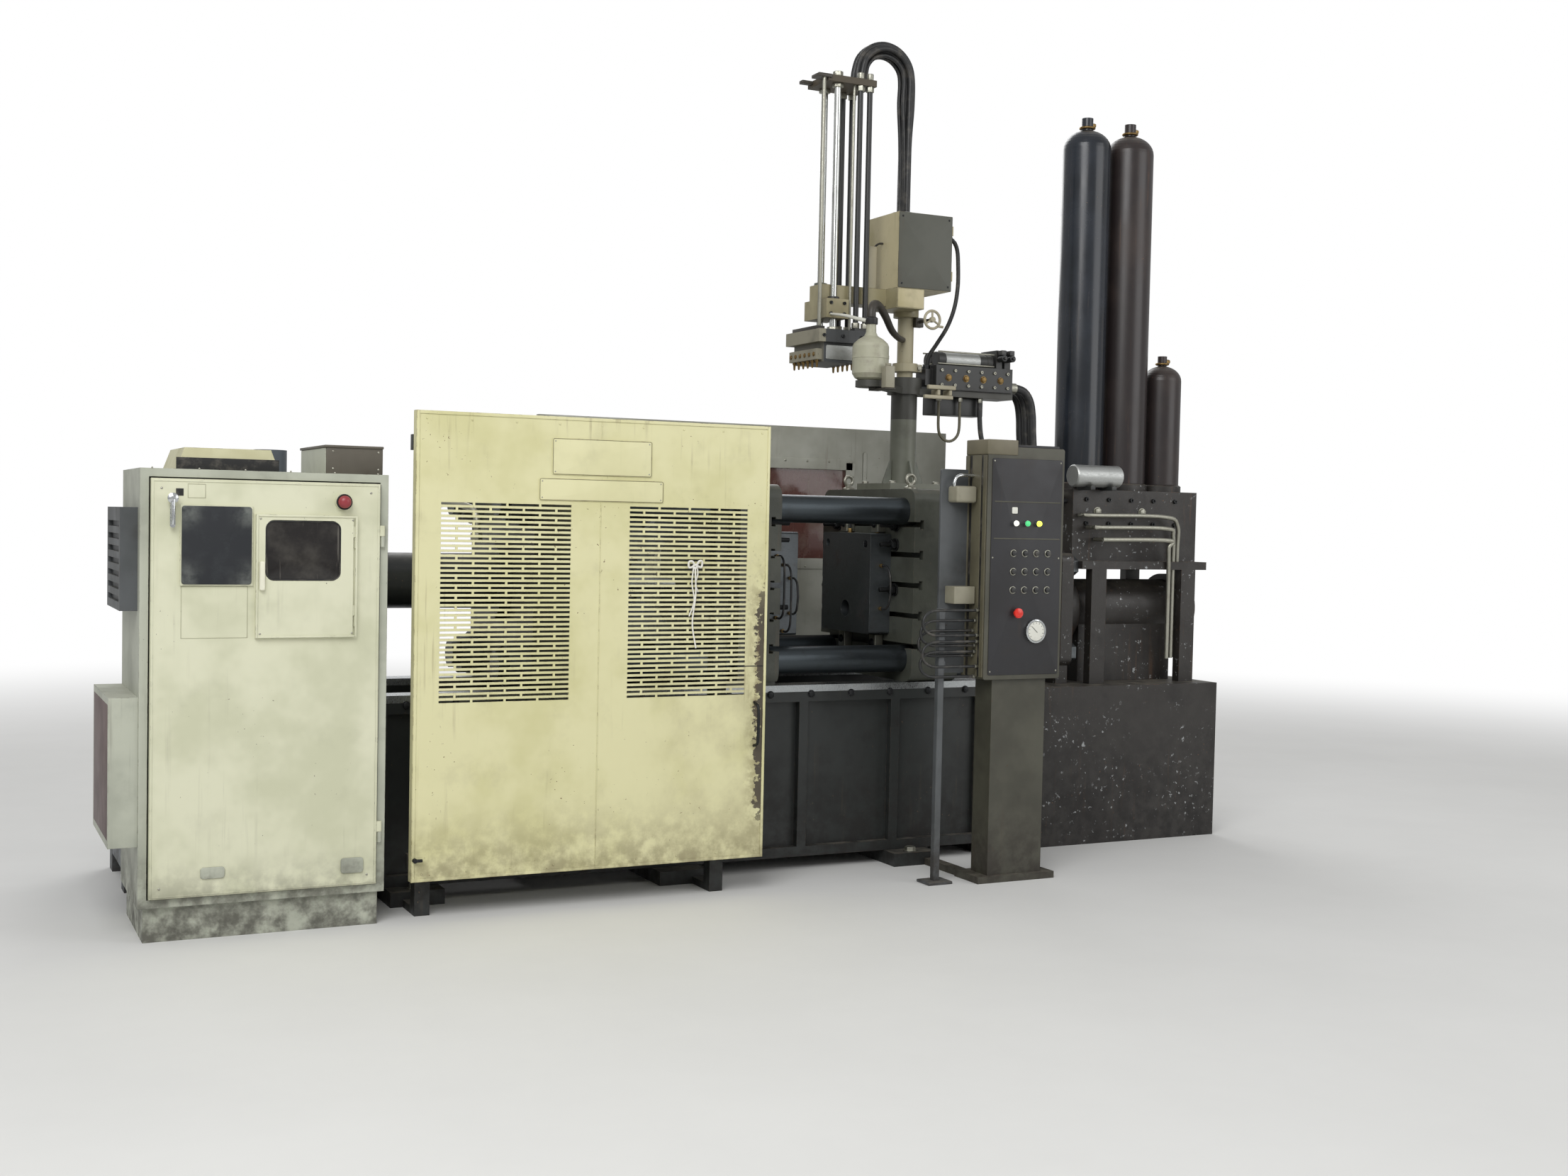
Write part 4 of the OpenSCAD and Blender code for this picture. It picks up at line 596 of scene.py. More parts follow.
    black_screw = Steel("black_oxide_steel", "dark_enamel", "#3a3b3c", "#1d1814", 0.45,
                        stained=0.4, edge_mm=0.4)
    brass = Steel("turned_brass", "ground_steel", "#8d754c", "#4a3822", 0.36, stained=0.4, edge_mm=0.4)
    copper = Steel("drawn_copper_tube", "ground_steel", "#a8694a", "#4d3324", 0.35, stained=0.5, edge_mm=0.3)
    aluminium = Steel("bare_aluminium_plate", "ground_steel", "#b9bbb9", "#8a867a", 0.4,
                      stained=0.3, edge_mm=0.5)
    hose = Moulded("black_hose_rubber", "hose_rubber", "#1b1c1d", 0.55, 2.0, 0.3)
    seal = Moulded("black_seal_rubber", "hose_rubber", "#141414", 0.6, 1.0, 0.35)
    pad = SmudgedPad()
    floor = StudioFloor()
    black_plastic = Moulded("black_moulded_plastic", "lamp_plastic", "#1e1f20", 0.45, 1.5, 0.3)
    olive_hose = Moulded("olive_hose_rubber", "hose_rubber", "#55513f", 0.55, 2.0, 0.4)
    white_pipe = Moulded("white_plastic_pipe", "lube_plastic", "#cbcbc0", 0.45, 2.0, 0.3)
    bottle_plastic = Moulded("blow_moulded_polythene", "lube_plastic", "#a9a893", 0.42, 4.0, 0.6)
    white_tie = Moulded("white_cotton_tie", "lamp_plastic", "#e4e2da", 0.9, 1.0, 0.15)
    # Only the stop button wears this; it is no lamp, so its glow is painted light.
    red_button_painted_glow = Moulded("glowing_red_button_cap", "lamp_plastic", "#c4281c", 0.25, 3.0, 0.1, 0.25)
    lamp_dull = Moulded("dull_red_lamp_cap", "lamp_plastic", "#8f2f36", 0.4, 3.0, 0.35, 0.03)
    lamp_green = Moulded("green_lamp_cap", "lamp_plastic", "#3fa868", 0.25, 3.0, 0.1, 1.2)
    lamp_yellow = Moulded("yellow_lamp_cap", "lamp_plastic", "#d9e04a", 0.25, 3.0, 0.1, 2.0)
    lamp_white = Moulded("white_lamp_cap", "lamp_plastic", "#e6e6dc", 0.25, 3.0, 0.1, 0.8)
    dial = Moulded("white_dial_card", "lamp_plastic", "#dcdcd2", 0.55, 2.0, 0.15)
    smoked = Glazing("smoked_window", "window", "#1d1a19", 0.12)
    red_glass = Glazing("red_tinted_window", "window", "#63423c", 0.3, 0.4)


# Surfaces worked out as arrays


@dataclass
class Shape:
    """Points and quads of a surface; quads whose corners meet are welded when the mesh is made."""

    points: Array
    quads: Array

    @staticmethod
    def net(grid: Array, wrap: bool = True) -> "Shape":
        """Joins a grid of points into quads.

        Args:
            grid: rows by columns by 3.
            wrap: whether the last column meets the first.
        Returns:
            The surface.
        """
        rows, cols = grid.shape[:2]
        r, c = np.meshgrid(np.arange(rows - 1), np.arange(cols if wrap else cols - 1), indexing="ij")
        n = (c + 1) % cols
        quads = np.stack([r * cols + c, r * cols + n, (r + 1) * cols + n, (r + 1) * cols + c], -1)
        return Shape(grid.reshape(-1, 3), quads.reshape(-1, 4))

    def at(self, places: Array | list) -> "Shape":
        """Copies at many places: every place is added to every point.

        Args:
            places: one place or many, n by 3.
        Returns:
            All copies as one surface.
        """
        spots = np.atleast_2d(np.asarray(places, float))
        points = (spots[:, None] + self.points[None]).reshape(-1, 3)
        quads = (np.arange(len(spots))[:, None, None] * len(self.points) + self.quads[None]).reshape(-1, 4)
        return Shape(points, quads)

    def turned(self, centre: Vec, along: Vec, degrees: Array | list | float) -> "Shape":
        """Copies turned about an axis by each angle: p cos a + (k x p) sin a + k (k . p)(1 - cos a).

        Args:
            centre: a point on the axis.
            along: the axis direction k.
            degrees: one angle or many.
        Returns:
            All copies as one surface.
        """
        k = np.asarray(along, float) / np.linalg.norm(along)
        a = np.radians(np.atleast_1d(degrees))[:, None, None]
        p = (self.points - np.asarray(centre))[None]
        points = p * np.cos(a) + np.cross(k, p) * np.sin(a) + k * (p @ k)[..., None] * (1 - np.cos(a))
        quads = (np.arange(len(a))[:, None, None] * len(self.points) + self.quads[None]).reshape(-1, 4)
        return Shape((points + np.asarray(centre)).reshape(-1, 3), quads)

    def both_sides(self) -> "Shape":
        """The surface and its mirror image across the machine's centre plane."""
        return self + Shape(self.points * np.array([1.0, -1.0, 1.0]), self.quads[:, ::-1])

    def __add__(self, other: "Shape") -> "Shape":
        """Two surfaces as one."""
        quads = np.vstack([self.quads, other.quads + len(self.points)])
        return Shape(np.vstack([self.points, other.points]), quads)


def gather(shapes: Iterable[Shape]) -> Shape:
    """Many surfaces as one, in their order."""
    first, *rest = shapes
    return sum(rest, first)


def frame_of(along: Vec | Array) -> Array:
    """Three unit rows: two across a direction and the direction itself."""
    k = np.asarray(along, float) / np.linalg.norm(along)
    ref = np.eye(3)[np.argmin(np.abs(k))]
    e1 = np.cross(ref, k)
    e1 /= np.linalg.norm(e1)
    return np.stack([e1, np.cross(k, e1), k])


def lathe(profile: Profile, at: Vec, along: Vec = UP, sides: int = 32) -> Shape:
    """A turned piece: the point (r, h) of the profile goes round at + h k + r (e1 cos u + e2 sin u).

    Args:
        profile: radius and height pairs; it starts and ends at radius 0 to be closed.
        at: the foot of the axis.
        along: the axis direction.
        sides: steps round the axis; 6 makes a hexagon.
    Returns:
        The surface.
    """
    e1, e2, k = frame_of(along)
    u = np.linspace(0.0, 2 * np.pi, sides, endpoint=False)
    r, h = np.asarray(profile, float).T
    around = np.cos(u)[:, None] * e1 + np.sin(u)[:, None] * e2
    return Shape.net(np.asarray(at) + h[:, None, None] * k + r[:, None, None] * around[None])


def disc(radius: float, height: float, at: Vec, along: Vec = UP, soft: float = 0.002,
         sides: int = 32) -> Shape:
    """A turned drum with rounded rims: a rectangle profile whose corners are quarter arcs.

    Args:
        radius: the drum's radius.
        height: its height along the axis.
        at: the middle of its foot.
        along: the axis direction.
        soft: the radius of the rims.
        sides: steps round the axis.
    Returns:
        The surface.
    """
    t = np.linspace(0.0, np.pi / 2, 4)
    low = [(radius - soft + soft * np.sin(a), soft - soft * np.cos(a)) for a in t]
    high = [(radius - soft + soft * np.cos(a), height - soft + soft * np.sin(a)) for a in t]
    return lathe([(0.0, 0.0), *low, *high, (0.0, height)], at, along, sides)


def ring(big: float, small: float, at: Vec, along: Vec = UP, sides: int = 36) -> Shape:
    """A torus: a circle of radius small goes round at a distance big from the axis."""
    t = np.linspace(0.0, 2 * np.pi, 11)
    return lathe([(big + small * np.cos(a), small * np.sin(a)) for a in t], at, along, sides)


def block(low: Vec, high: Vec, soft: float = 0.003, axis: int = 2, corner: float | None = None,
          steps: int = 4) -> Shape:
    """A box with rounded corners and edges.

    A rounded rectangle of corner radius c is carried along one axis and drawn in by soft (1 - cos t)
    at each end while it rises by soft sin t, then closed at its middle.

    Args:
        low: lowest corner.
        high: highest corner.
        soft: radius of the edges at both ends.
        axis: the axis that the outline is carried along.
        corner: radius of the outline's corners, or None for the same as the edges.
        steps: steps in each quarter turn.
    Returns:
        The surface.
    """
    lo, hi = np.asarray(low, float), np.asarray(high, float)
    a, b = [i for i in range(3) if i != axis]
    mid, half = (lo + hi) / 2, (hi - lo) / 2
    c = min(corner if corner is not None else soft, half[a] * 0.999, half[b] * 0.999)
    c = max(c, soft * 1.001)
    quarter = np.linspace(0.0, np.pi / 2, steps + 1)
    turn = np.concatenate([quarter + i * np.pi / 2 for i in range(4)])
    sign_a = np.repeat([1.0, -1.0, -1.0, 1.0], steps + 1)
    sign_b = np.repeat([1.0, 1.0, -1.0, -1.0], steps + 1)
    t = np.linspace(0.0, np.pi / 2, steps + 1)
    inset = np.concatenate([soft * (1 - np.sin(t)), soft * (1 - np.cos(t))])
    rise = np.concatenate([-half[axis] + soft * (1 - np.cos(t)), half[axis] - soft * (1 - np.sin(t))])
    grid = np.zeros((len(inset), len(turn), 3))
    reach = (c - inset)[:, None]
    grid[..., a] = mid[a] + sign_a * (half[a] - c) + reach * np.cos(turn)
    grid[..., b] = mid[b] + sign_b * (half[b] - c) + reach * np.sin(turn)
    grid[..., axis] = mid[axis] + rise[:, None]
    caps = np.repeat(mid[None, None], len(turn), axis=1)
    foot, top = caps.copy(), caps.copy()
    foot[..., axis], top[..., axis] = lo[axis], hi[axis]
    return Shape.net(np.concatenate([foot, grid, top]))


def prism(outline: Profile, axis: int, low: float, high: float) -> Shape:
    """A flat plate: an outline on both faces, each face closed at the outline's middle.

    Args:
        outline: its corners in the two other axes, seen from their middle without overlap.
        axis: the axis across the plate.
        low: where it starts along that axis.
        high: where it ends.
    Returns:
        The surface.
    """
    flat = np.asarray(outline, float)
    a, b = [i for i in range(3) if i != axis]
    grid = np.zeros((4, len(flat), 3))
    grid[..., a], grid[..., b] = flat[:, 0], flat[:, 1]
    grid[[0, 3], :, a], grid[[0, 3], :, b] = flat[:, 0].mean(), flat[:, 1].mean()
    grid[:2, :, axis], grid[2:, :, axis] = low, high
    return Shape.net(grid)


def smooth_path(points: list[Vec], count: int) -> Array:
    """A smooth curve through points: Catmull-Rom spans, then even steps along its length.

    Args:
        points: the points to pass through.
        count: how many points to give back.
    Returns:
        count by 3 points.
    """
    p = np.asarray(points, float)
    p = np.vstack([2 * p[0] - p[1], p, 2 * p[-1] - p[-2]])
    t = np.linspace(0.0, 1.0, 24, endpoint=False)[None, :, None]
    a, b, c, d = (p[i:len(p) - 3 + i, None] for i in range(4))
    bend, rise = 3 * b - a - 3 * c + d, 2 * a - 5 * b + 4 * c - d
    curve = 0.5 * (2 * b + (c - a) * t + rise * t ** 2 + bend * t ** 3)
    curve = np.vstack([curve.reshape(-1, 3), p[-2]])
    run = np.concatenate([[0.0], np.cumsum(np.linalg.norm(np.diff(curve, axis=0), axis=1))])
    even = np.linspace(0.0, run[-1], count)
    return np.stack([np.interp(even, run, curve[:, i]) for i in range(3)], -1)


def tube(path: Array, radius: float | Array, sides: int = 12) -> Shape:
    """A round bar on a path: rings across each tangent, squared to the path's flattest normal, ends closed.

    Args:
        path: n by 3 points.
        radius: one radius or one for each point.
        sides: steps round the bar.
    Returns:
        The surface.
    """
    tangent = np.gradient(path, axis=0)
    tangent /= np.linalg.norm(tangent, axis=1)[:, None]
    flat = np.linalg.svd(path - path.mean(0))[2][2]
    e1 = np.cross(flat, tangent)
    e1 /= np.linalg.norm(e1, axis=1)[:, None]
    e2 = np.cross(tangent, e1)
    u = np.linspace(0.0, 2 * np.pi, sides, endpoint=False)[None, :, None]
    r = np.broadcast_to(np.asarray(radius, float), (len(path),))[:, None, None]
    rings = path[:, None] + r * (np.cos(u) * e1[:, None] + np.sin(u) * e2[:, None])
    ends = [np.repeat(path[i][None, None], sides, axis=1) for i in (0, -1)]
    return Shape.net(np.concatenate([ends[0], rings, ends[1]]))


def rod(a: Vec, b: Vec, radius: float, sides: int = 20) -> Shape:
    """A straight round bar between two points, with rounded rims."""
    span = np.asarray(b, float) - np.asarray(a, float)
    return disc(radius, float(np.linalg.norm(span)), a, tuple(span), min(0.002, radius * 0.3), sides)


class Head(Enum):
    """The kinds of fastener head on the machine."""

    HEX = "hex"
    SOCKET = "socket"
    PAN = "pan"


def bolts(places: Array | list, along: Vec, across: float, head: Head = Head.HEX) -> Shape:
    """Fastener heads at many places.

    A hex head is a six-sided lathe with a chamfer on a round washer, a socket head a drum with a six-sided
    sunk centre, and a pan head a shallow dome.

    Args:
        places: the points where the heads sit.
        along: the way they stand out.
        across: the head's width.
        head: the kind of head.
    Returns:
        All heads as one surface.
    """
    r = across / 2
    if head is Head.HEX:
        washer = lathe([(0, 0), (r * 1.35, 0), (r * 1.35, r * 0.16), (0, r * 0.16)], ORIGIN, along, 16)
        body = lathe([(0, r * 0.16), (r * 1.12, r * 0.16), (r * 1.12, r * 0.75), (r * 0.92, r * 0.88),
                      (0, r * 0.88)], ORIGIN, along, 6)
        one = washer + body
    elif head is Head.SOCKET:
        one = lathe([(0, 0), (r, 0), (r, r * 0.85), (r * 0.9, r * 0.98), (r * 0.55, r * 0.98),
                     (r * 0.5, r * 0.45), (0, r * 0.45)], ORIGIN, along, 12)
    else:
        one = lathe([(0, 0), (r, 0), (r * 0.96, r * 0.22), (r * 0.7, r * 0.42), (r * 0.25, r * 0.5),
                     (0, r * 0.5)], ORIGIN, along, 12)
    return one.at(places)


def circle_of(count: int, radius: float, at: Vec, along: Vec, start: float = 0.0) -> Array:
    """Even places on a circle round an axis: at + radius (e1 cos u + e2 sin u)."""
    e1, e2, _ = frame_of(along)
    u = np.radians(start) + np.linspace(0.0, 2 * np.pi, count, endpoint=False)
    return np.asarray(at) + radius * (np.cos(u)[:, None] * e1 + np.sin(u)[:, None] * e2)


def places(xs: Any, ys: Any, zs: Any) -> Array:
    """Every crossing of three lists of coordinates, as n by 3 points."""
    return np.stack(np.meshgrid(xs, ys, zs, indexing="ij"), -1).reshape(-1, 3)


def piece(name: str, shape: Shape, finish: Finish, body: str = "root") -> bpy.types.Object:
    """Makes an object of a surface: welds it, turns its faces outwards, smooths it and puts it on a body.

    Args:
        name: the object's name.
        shape: its surface.
        finish: what it is made of.
        body: the CAD body it rides on.
    Returns:
        The object.
    """
    mesh = bpy.data.meshes.new(name)
    mesh.from_pydata(shape.points.tolist(), [], shape.quads.tolist())
    work = bmesh.new()
    work.from_mesh(mesh)
    bmesh.ops.remove_doubles(work, verts=work.verts, dist=WELD_GAP)
    bmesh.ops.dissolve_degenerate(work, edges=work.edges, dist=SLIVER)
    bmesh.ops.recalc_face_normals(work, faces=work.faces)
    work.to_mesh(mesh)
    work.free()
    mesh.shade_smooth()
    mesh.set_sharp_from_angle(angle=np.radians(SHARP_ANGLE))
    mesh.materials.append(material_of(finish))
    made = bpy.data.objects.new(name, mesh)
    bpy.context.scene.collection.objects.link(made)
    if body:
        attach(made, body)
    LOG.info("%s: %d faces on %s", name, len(mesh.polygons), body)
    return made


def dress(nodes: list[str], finish: Finish) -> None:
    """Gives CAD nodes a finish in all their material slots.

    Args:
        nodes: the nodes' names.
        finish: what they are made of.
    """
    for name in nodes:
        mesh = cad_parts[name].data
        mesh.materials.clear()
        mesh.materials.append(material_of(finish))
    LOG.info("%s on %s", finish.name, ", ".join(nodes))


def hose(name: str, points: list[Vec], diameter: float, finish: Finish, body: str = "root",
         stiffness: str = "medium", lay: str = "hanging") -> bpy.types.Object:
    """A free hose on a smooth curve.

    Args:
        name: the piece's name.
        points: the points it passes through, from its exit on.
        diameter: its outer diameter.
        finish: its rubber.
        body: the body it rides on.
        stiffness: limp, medium or stiff; not used.
        lay: how it lies; not used.
    Returns:
        The piece.
    """
    path = smooth_path(points, HOSE_STEPS)
    made = piece(name, tube(path, diameter / 2, HOSE_SIDES), finish, body)
    return made


def border(box: Box, wide: float, y0: float, y1: float, soft: float) -> Shape:
    """Four strips just inside the sides of an upright rectangle.

    Args:
        box: the rectangle.
        wide: how wide the strips are.
        y0: where they start in Y.
        y1: where they end.
        soft: the radius of their edges.
    Returns:
        The strips as one surface.
    """
    x0, x1, z0, z1 = box
    strips = ((x0, x0 + wide, z0, z1), (x1 - wide, x1, z0, z1),
              (x0 + wide, x1 - wide, z0, z0 + wide), (x0 + wide, x1 - wide, z1 - wide, z1))
    return gather(block((a, y0, c), (b, y1, d), soft, 1) for a, b, c, d in strips)


def rounded_path(at: Vec, half_w: float, half_h: float, corner: float) -> Array:
    """A closed rounded rectangle in X and Z: quarter arcs round four corner centres.

    Args:
        at: its middle.
        half_w: half its width.
        half_h: half its height.
        corner: the corner radius.
    Returns:
        The points, n by 3, without a repeat of the first.
    """
    quarter = np.linspace(0.0, np.pi / 2, 7)
    turn = np.concatenate([quarter + i * np.pi / 2 for i in range(4)])
    sx = np.repeat([1.0, -1.0, -1.0, 1.0], len(quarter))
    sz = np.repeat([1.0, 1.0, -1.0, -1.0], len(quarter))
    x = at[0] + sx * (half_w - corner) + corner * np.cos(turn)
    z = at[2] + sz * (half_h - corner) + corner * np.sin(turn)
    return np.stack([x, np.full_like(x, at[1]), z], -1)


def closed_tube(path: Array, radius: float, sides: int = 8) -> Shape:
    """A round bar on a closed flat path: rings across the tangent and the path's plane.

    Args:
        path: n by 3 points of a closed flat loop.
        radius: the bar's radius.
        sides: steps round it.
    Returns:
        The surface.
    """
    tangent = np.roll(path, -1, 0) - np.roll(path, 1, 0)
    tangent /= np.linalg.norm(tangent, axis=1)[:, None]
    flat = np.linalg.svd(path - path.mean(0))[2][2]
    e1 = np.cross(flat, tangent)
    u = np.linspace(0.0, 2 * np.pi, sides, endpoint=False)[None, :, None]
    rings = path[:, None] + radius * (np.cos(u) * e1[:, None] + np.sin(u) * flat)
    return Shape.net(np.concatenate([rings, rings[:1]]))


# Sub-assemblies


@dataclass
class ClampUnit:
    """The clamp end: platens, tie bars, toggle links, crosshead and cylinder."""

    centre: float = 1.275
    tie: float = 0.34
    nut_radius: float = 0.0975
    pin_bolt: float = 0.013
    grease_x: tuple[float, float] = (-1.58, -1.46)
    pins: dict[str, list[tuple[float, float]]] = field(default_factory=lambda: {
        "rear_link": [(-1.294357, 0.380)],
        "front_link": [(-0.970, 0.350), (-1.26632, 0.08131)],
        "short_link": [(-1.470689, 0.190)],
    })

    def dress(self) -> None:
        """Puts the finishes on the clamp's nodes."""
        dress(["end_platen", "fixed_platen", "moving_platen"], Finishes.platen)
        dress(["clamp_cylinder"], Finishes.dark)
        dress(["tie_bars"], Finishes.tie_bar)
        dress(["crosshead_guides", "slide_ways"], Finishes.ground)
        dress(["tie_bar_nuts", "crosshead"] + [f"{k}_{s}" for k in self.pins for s in ("upper", "lower")],
              Finishes.link)
        dress(["fixed_die", "moving_die"], Finishes.die)

    def pin_screws(self) -> None:
        """Three screws on the cap of each link pin, on both sides."""
        for kind, pins in self.pins.items():
            for side, sign in (("upper", 1.0), ("lower", -1.0)):
                node = f"{kind}_{side}"
                y = float(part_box(node)[1].y)
                caps = [(x, y, self.centre + sign * rise) for x, rise in pins]
                spots = np.vstack([circle_of(3, 0.018, cap, REAR, 30.0) for cap in caps])
                screws = bolts(spots, REAR, self.pin_bolt, Head.SOCKET)
                piece(f"{node}_pin_screws", screws.both_sides(), Finishes.black_screw, node)

    def nut_screws(self) -> None:
        """Six lock screws on the outer face of every tie bar nut."""
        low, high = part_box("tie_bar_nuts")
        heads = []
        for y in (-self.tie, self.tie):
            for z in (self.centre - self.tie, self.centre + self.tie):
                for x, way in ((low.x, -1.0), (high.x, 1.0)):
                    spots = circle_of(6, self.nut_radius * 0.82, (x, y, z), (way, 0, 0), 15.0)
                    heads.append(bolts(spots, (way, 0, 0), 0.014, Head.SOCKET))
        piece("tie_nut_lock_screws", gather(heads), Finishes.black_screw)

    def cylinder(self) -> None:
        """End cap bolts and two bent pressure pipes with their unions on the clamp cylinder."""
        low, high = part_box("clamp_cylinder")
        cap = circle_of(8, 0.095, (low.x, 0.0, self.centre), LEFT, 22.5)
        piece("clamp_cylinder_bolts", bolts(cap, LEFT, 0.024), Finishes.black_screw)
        top = self.centre + (high.z - low.z) / 2
        pipes = []
        for x, y in ((low.x + 0.08, 0.03), (high.x - 0.12, -0.03)):
            route = [(x, y, top - 0.01), (x, y, top + 0.09), (x - 0.02, y + 0.05, top + 0.14),
                     (x - 0.1, y + 0.22, top + 0.15), (x - 0.12, y + 0.34, top + 0.1),
                     (x - 0.12, y + 0.38, top - 0.12), (x - 0.12, y + 0.385, 0.62)]
            pipes += [tube(smooth_path(route, 60), 0.014, 14),
                      disc(0.026, 0.04, (x, y, top - 0.012), UP, 0.002, 6)]
        piece("clamp_pressure_pipes", gather(pipes), Finishes.zinc)

    def eye_bolts(self) -> None:
        """Lifting eyes on the platens."""
        top = self.centre + 0.445
        spots = {"root": places([0.06, -1.7], [-0.3, 0.3], [top]),
                 "moving_platen": places([-0.78], [-0.25, 0.25], [top])}
        collar = lathe([(0, 0), (0.03, 0), (0.03, 0.008), (0.018, 0.014), (0.014, 0.022), (0, 0.022)], ORIGIN)
        eye = ring(0.022, 0.008, (0, 0, 0.044), REAR)
        for body, where in spots.items():
            piece(f"{body}_lifting_eyes", (collar + eye).at(where), Finishes.zinc, body)

    def grease_lines(self) -> None:
        """A grease block on the end platen with thin copper lines along its front edge."""
        x0, x1 = self.grease_x
        piece("grease_block", block((x0, -0.16, 1.722), (x1, -0.08, 1.757), 0.004), Finishes.aluminium)
        lines = []
        for i in range(5):
            y = -0.155 + 0.016 * i
            end = y - 0.06 * i - 0.02
            route = [(x0 - 0.002, y, 1.74), (x0 - 0.05, y, 1.745), (x0 - 0.09, y - 0.04 * i, 1.728),
                     (x0 - 0.12, end, 1.724), (x0 - 0.2, end - 0.01, 1.724)]
            lines.append(tube(smooth_path(route, 30), 0.003, 8))
        piece("grease_lines", gather(lines), Finishes.copper)

    def build(self) -> None:
        """Dresses the clamp unit and adds its pieces."""
        self.dress()
        self.pin_screws()
        self.nut_screws()
        self.cylinder()
        self.eye_bolts()
        self.grease_lines()


@dataclass
class DieSet:
    """The two die halves' clamps, their slot studs and their cooling hoses."""

    half: float = 0.235
    centre: float = 1.275
    stud_y: float = 0.28
    clamp: float = 0.045
    arch_x: float = -0.026
    arch_foot: float = 1.5105
    loops: tuple[Vec, ...] = ((-0.60, 1.12, 1.40), (-0.565, 1.06, 1.36), (-0.53, 1.14, 1.30))
    bend: tuple[Vec, ...] = ((0.0, 0.018, 0.0), (0.0, 0.05, 0.0), (0.004, 0.085, 0.02), (0.006, 0.10, 0.07))

    def clamps(self) -> None:
        """Clamp bars with bolts that hold each die half to its platen."""
        fixed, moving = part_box("fixed_die"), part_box("moving_die")
        rows = (("fixed", fixed[1].x, -1.0, "root"), ("moving", moving[0].x, 1.0, "moving_platen"))
        for name, x, way, body in rows:
            bars, heads = [], []
            for y in (-0.15, 0.15):
                for up in (-1.0, 1.0):
                    z = self.centre + up * (self.half + 0.045)
                    a, b = sorted((x, x + way * self.clamp))
                    bars.append(block((a + 0.0005, y - 0.03, z - 0.04), (b, y + 0.03, z + 0.04), 0.004))
                    heads.append(bolts([(x + way * self.clamp, y, z)], (way, 0, 0), 0.028))
            piece(f"{name}_die_clamps", gather(bars), Finishes.zinc, body)
            piece(f"{name}_die_clamp_bolts", gather(heads), Finishes.black_screw, body)

    def studs(self) -> None:
        """Threaded studs with nuts that stand out of the platens' slots beside the dies."""
        rows = (("fixed", 0.0, -1.0, 0.085, (1.55, 1.46, 1.25), "root"),
                ("moving", -0.68, 1.0, 0.12, (1.55, 1.475, 1.17), "moving_platen"))
        washer = [(0.0, 0.0), (0.03, 0.0), (0.03, 0.007), (0.0, 0.007)]
        for name, x, way, reach, heights, body in rows:
            along = (way, 0, 0)
            stud = disc(0.011, reach, ORIGIN, along, 0.002, 16) + lathe(washer, ORIGIN, along, 24)
            stud += disc(0.024, 0.022, (way * 0.0072, 0, 0), along, 0.003, 6)
            spots = places([x + way * 0.0002], [-self.stud_y, self.stud_y], heights)
            piece(f"{name}_platen_studs", stud.at(spots), Finishes.black_screw, body)

    def cooling(self) -> None:
        """Cooling hoses beside both halves and one over the fixed half, with brass ends."""
        y = -self.half
        route = [(-0.055, y - 0.018, 1.36), (-0.055, y - 0.05, 1.36), (-0.06, y - 0.085, 1.345),
                 (-0.06, y - 0.105, 1.30), (-0.06, y - 0.105, 1.22), (-0.06, y - 0.085, 1.175),
                 (-0.055, y - 0.05, 1.16), (-0.055, y - 0.018, 1.16)]
        hose("fixed_die_loop", route, 0.010, Finishes.hose)
        arch = ((-0.15, 1.535), (-0.15, 1.58), (-0.125, 1.635), (-0.07, 1.662), (0.0, 1.668),
                (0.06, 1.655), (0.105, 1.615), (0.12, 1.565), (0.12, 1.535))
        hose("fixed_die_arch", [(self.arch_x, across, z) for across, z in arch], 0.014, Finishes.hose)
        for i, (x, low, high) in enumerate(self.loops):
            route = [(x - a, y - b, high - c) for a, b, c in self.bend]
            route += [(x - a, y - b, low + c) for a, b, c in reversed(self.bend)]
            hose(f"moving_die_loop_{i + 1}", route, 0.010, Finishes.hose, "moving_platen")
        union = disc(0.009, 0.018, ORIGIN, FRONT, 0.001, 6)
        feet = [(self.arch_x, arch[0][0], self.arch_foot), (self.arch_x, arch[-1][0], self.arch_foot)]
        fixed = union.at([(-0.055, y, 1.36), (-0.055, y, 1.16)])
        fixed += disc(0.012, 0.02, ORIGIN, UP, 0.001, 6).at(feet)
        piece("fixed_die_unions", fixed, Finishes.brass)
        spots = [(x, y, z) for x, *ends in self.loops for z in ends]
        piece("moving_die_unions", union.at(spots), Finishes.brass, "moving_platen")

    def build(self) -> None:
        """Adds the die clamps, studs and cooling hoses."""
        self.clamps()
        self.studs()
        self.cooling()


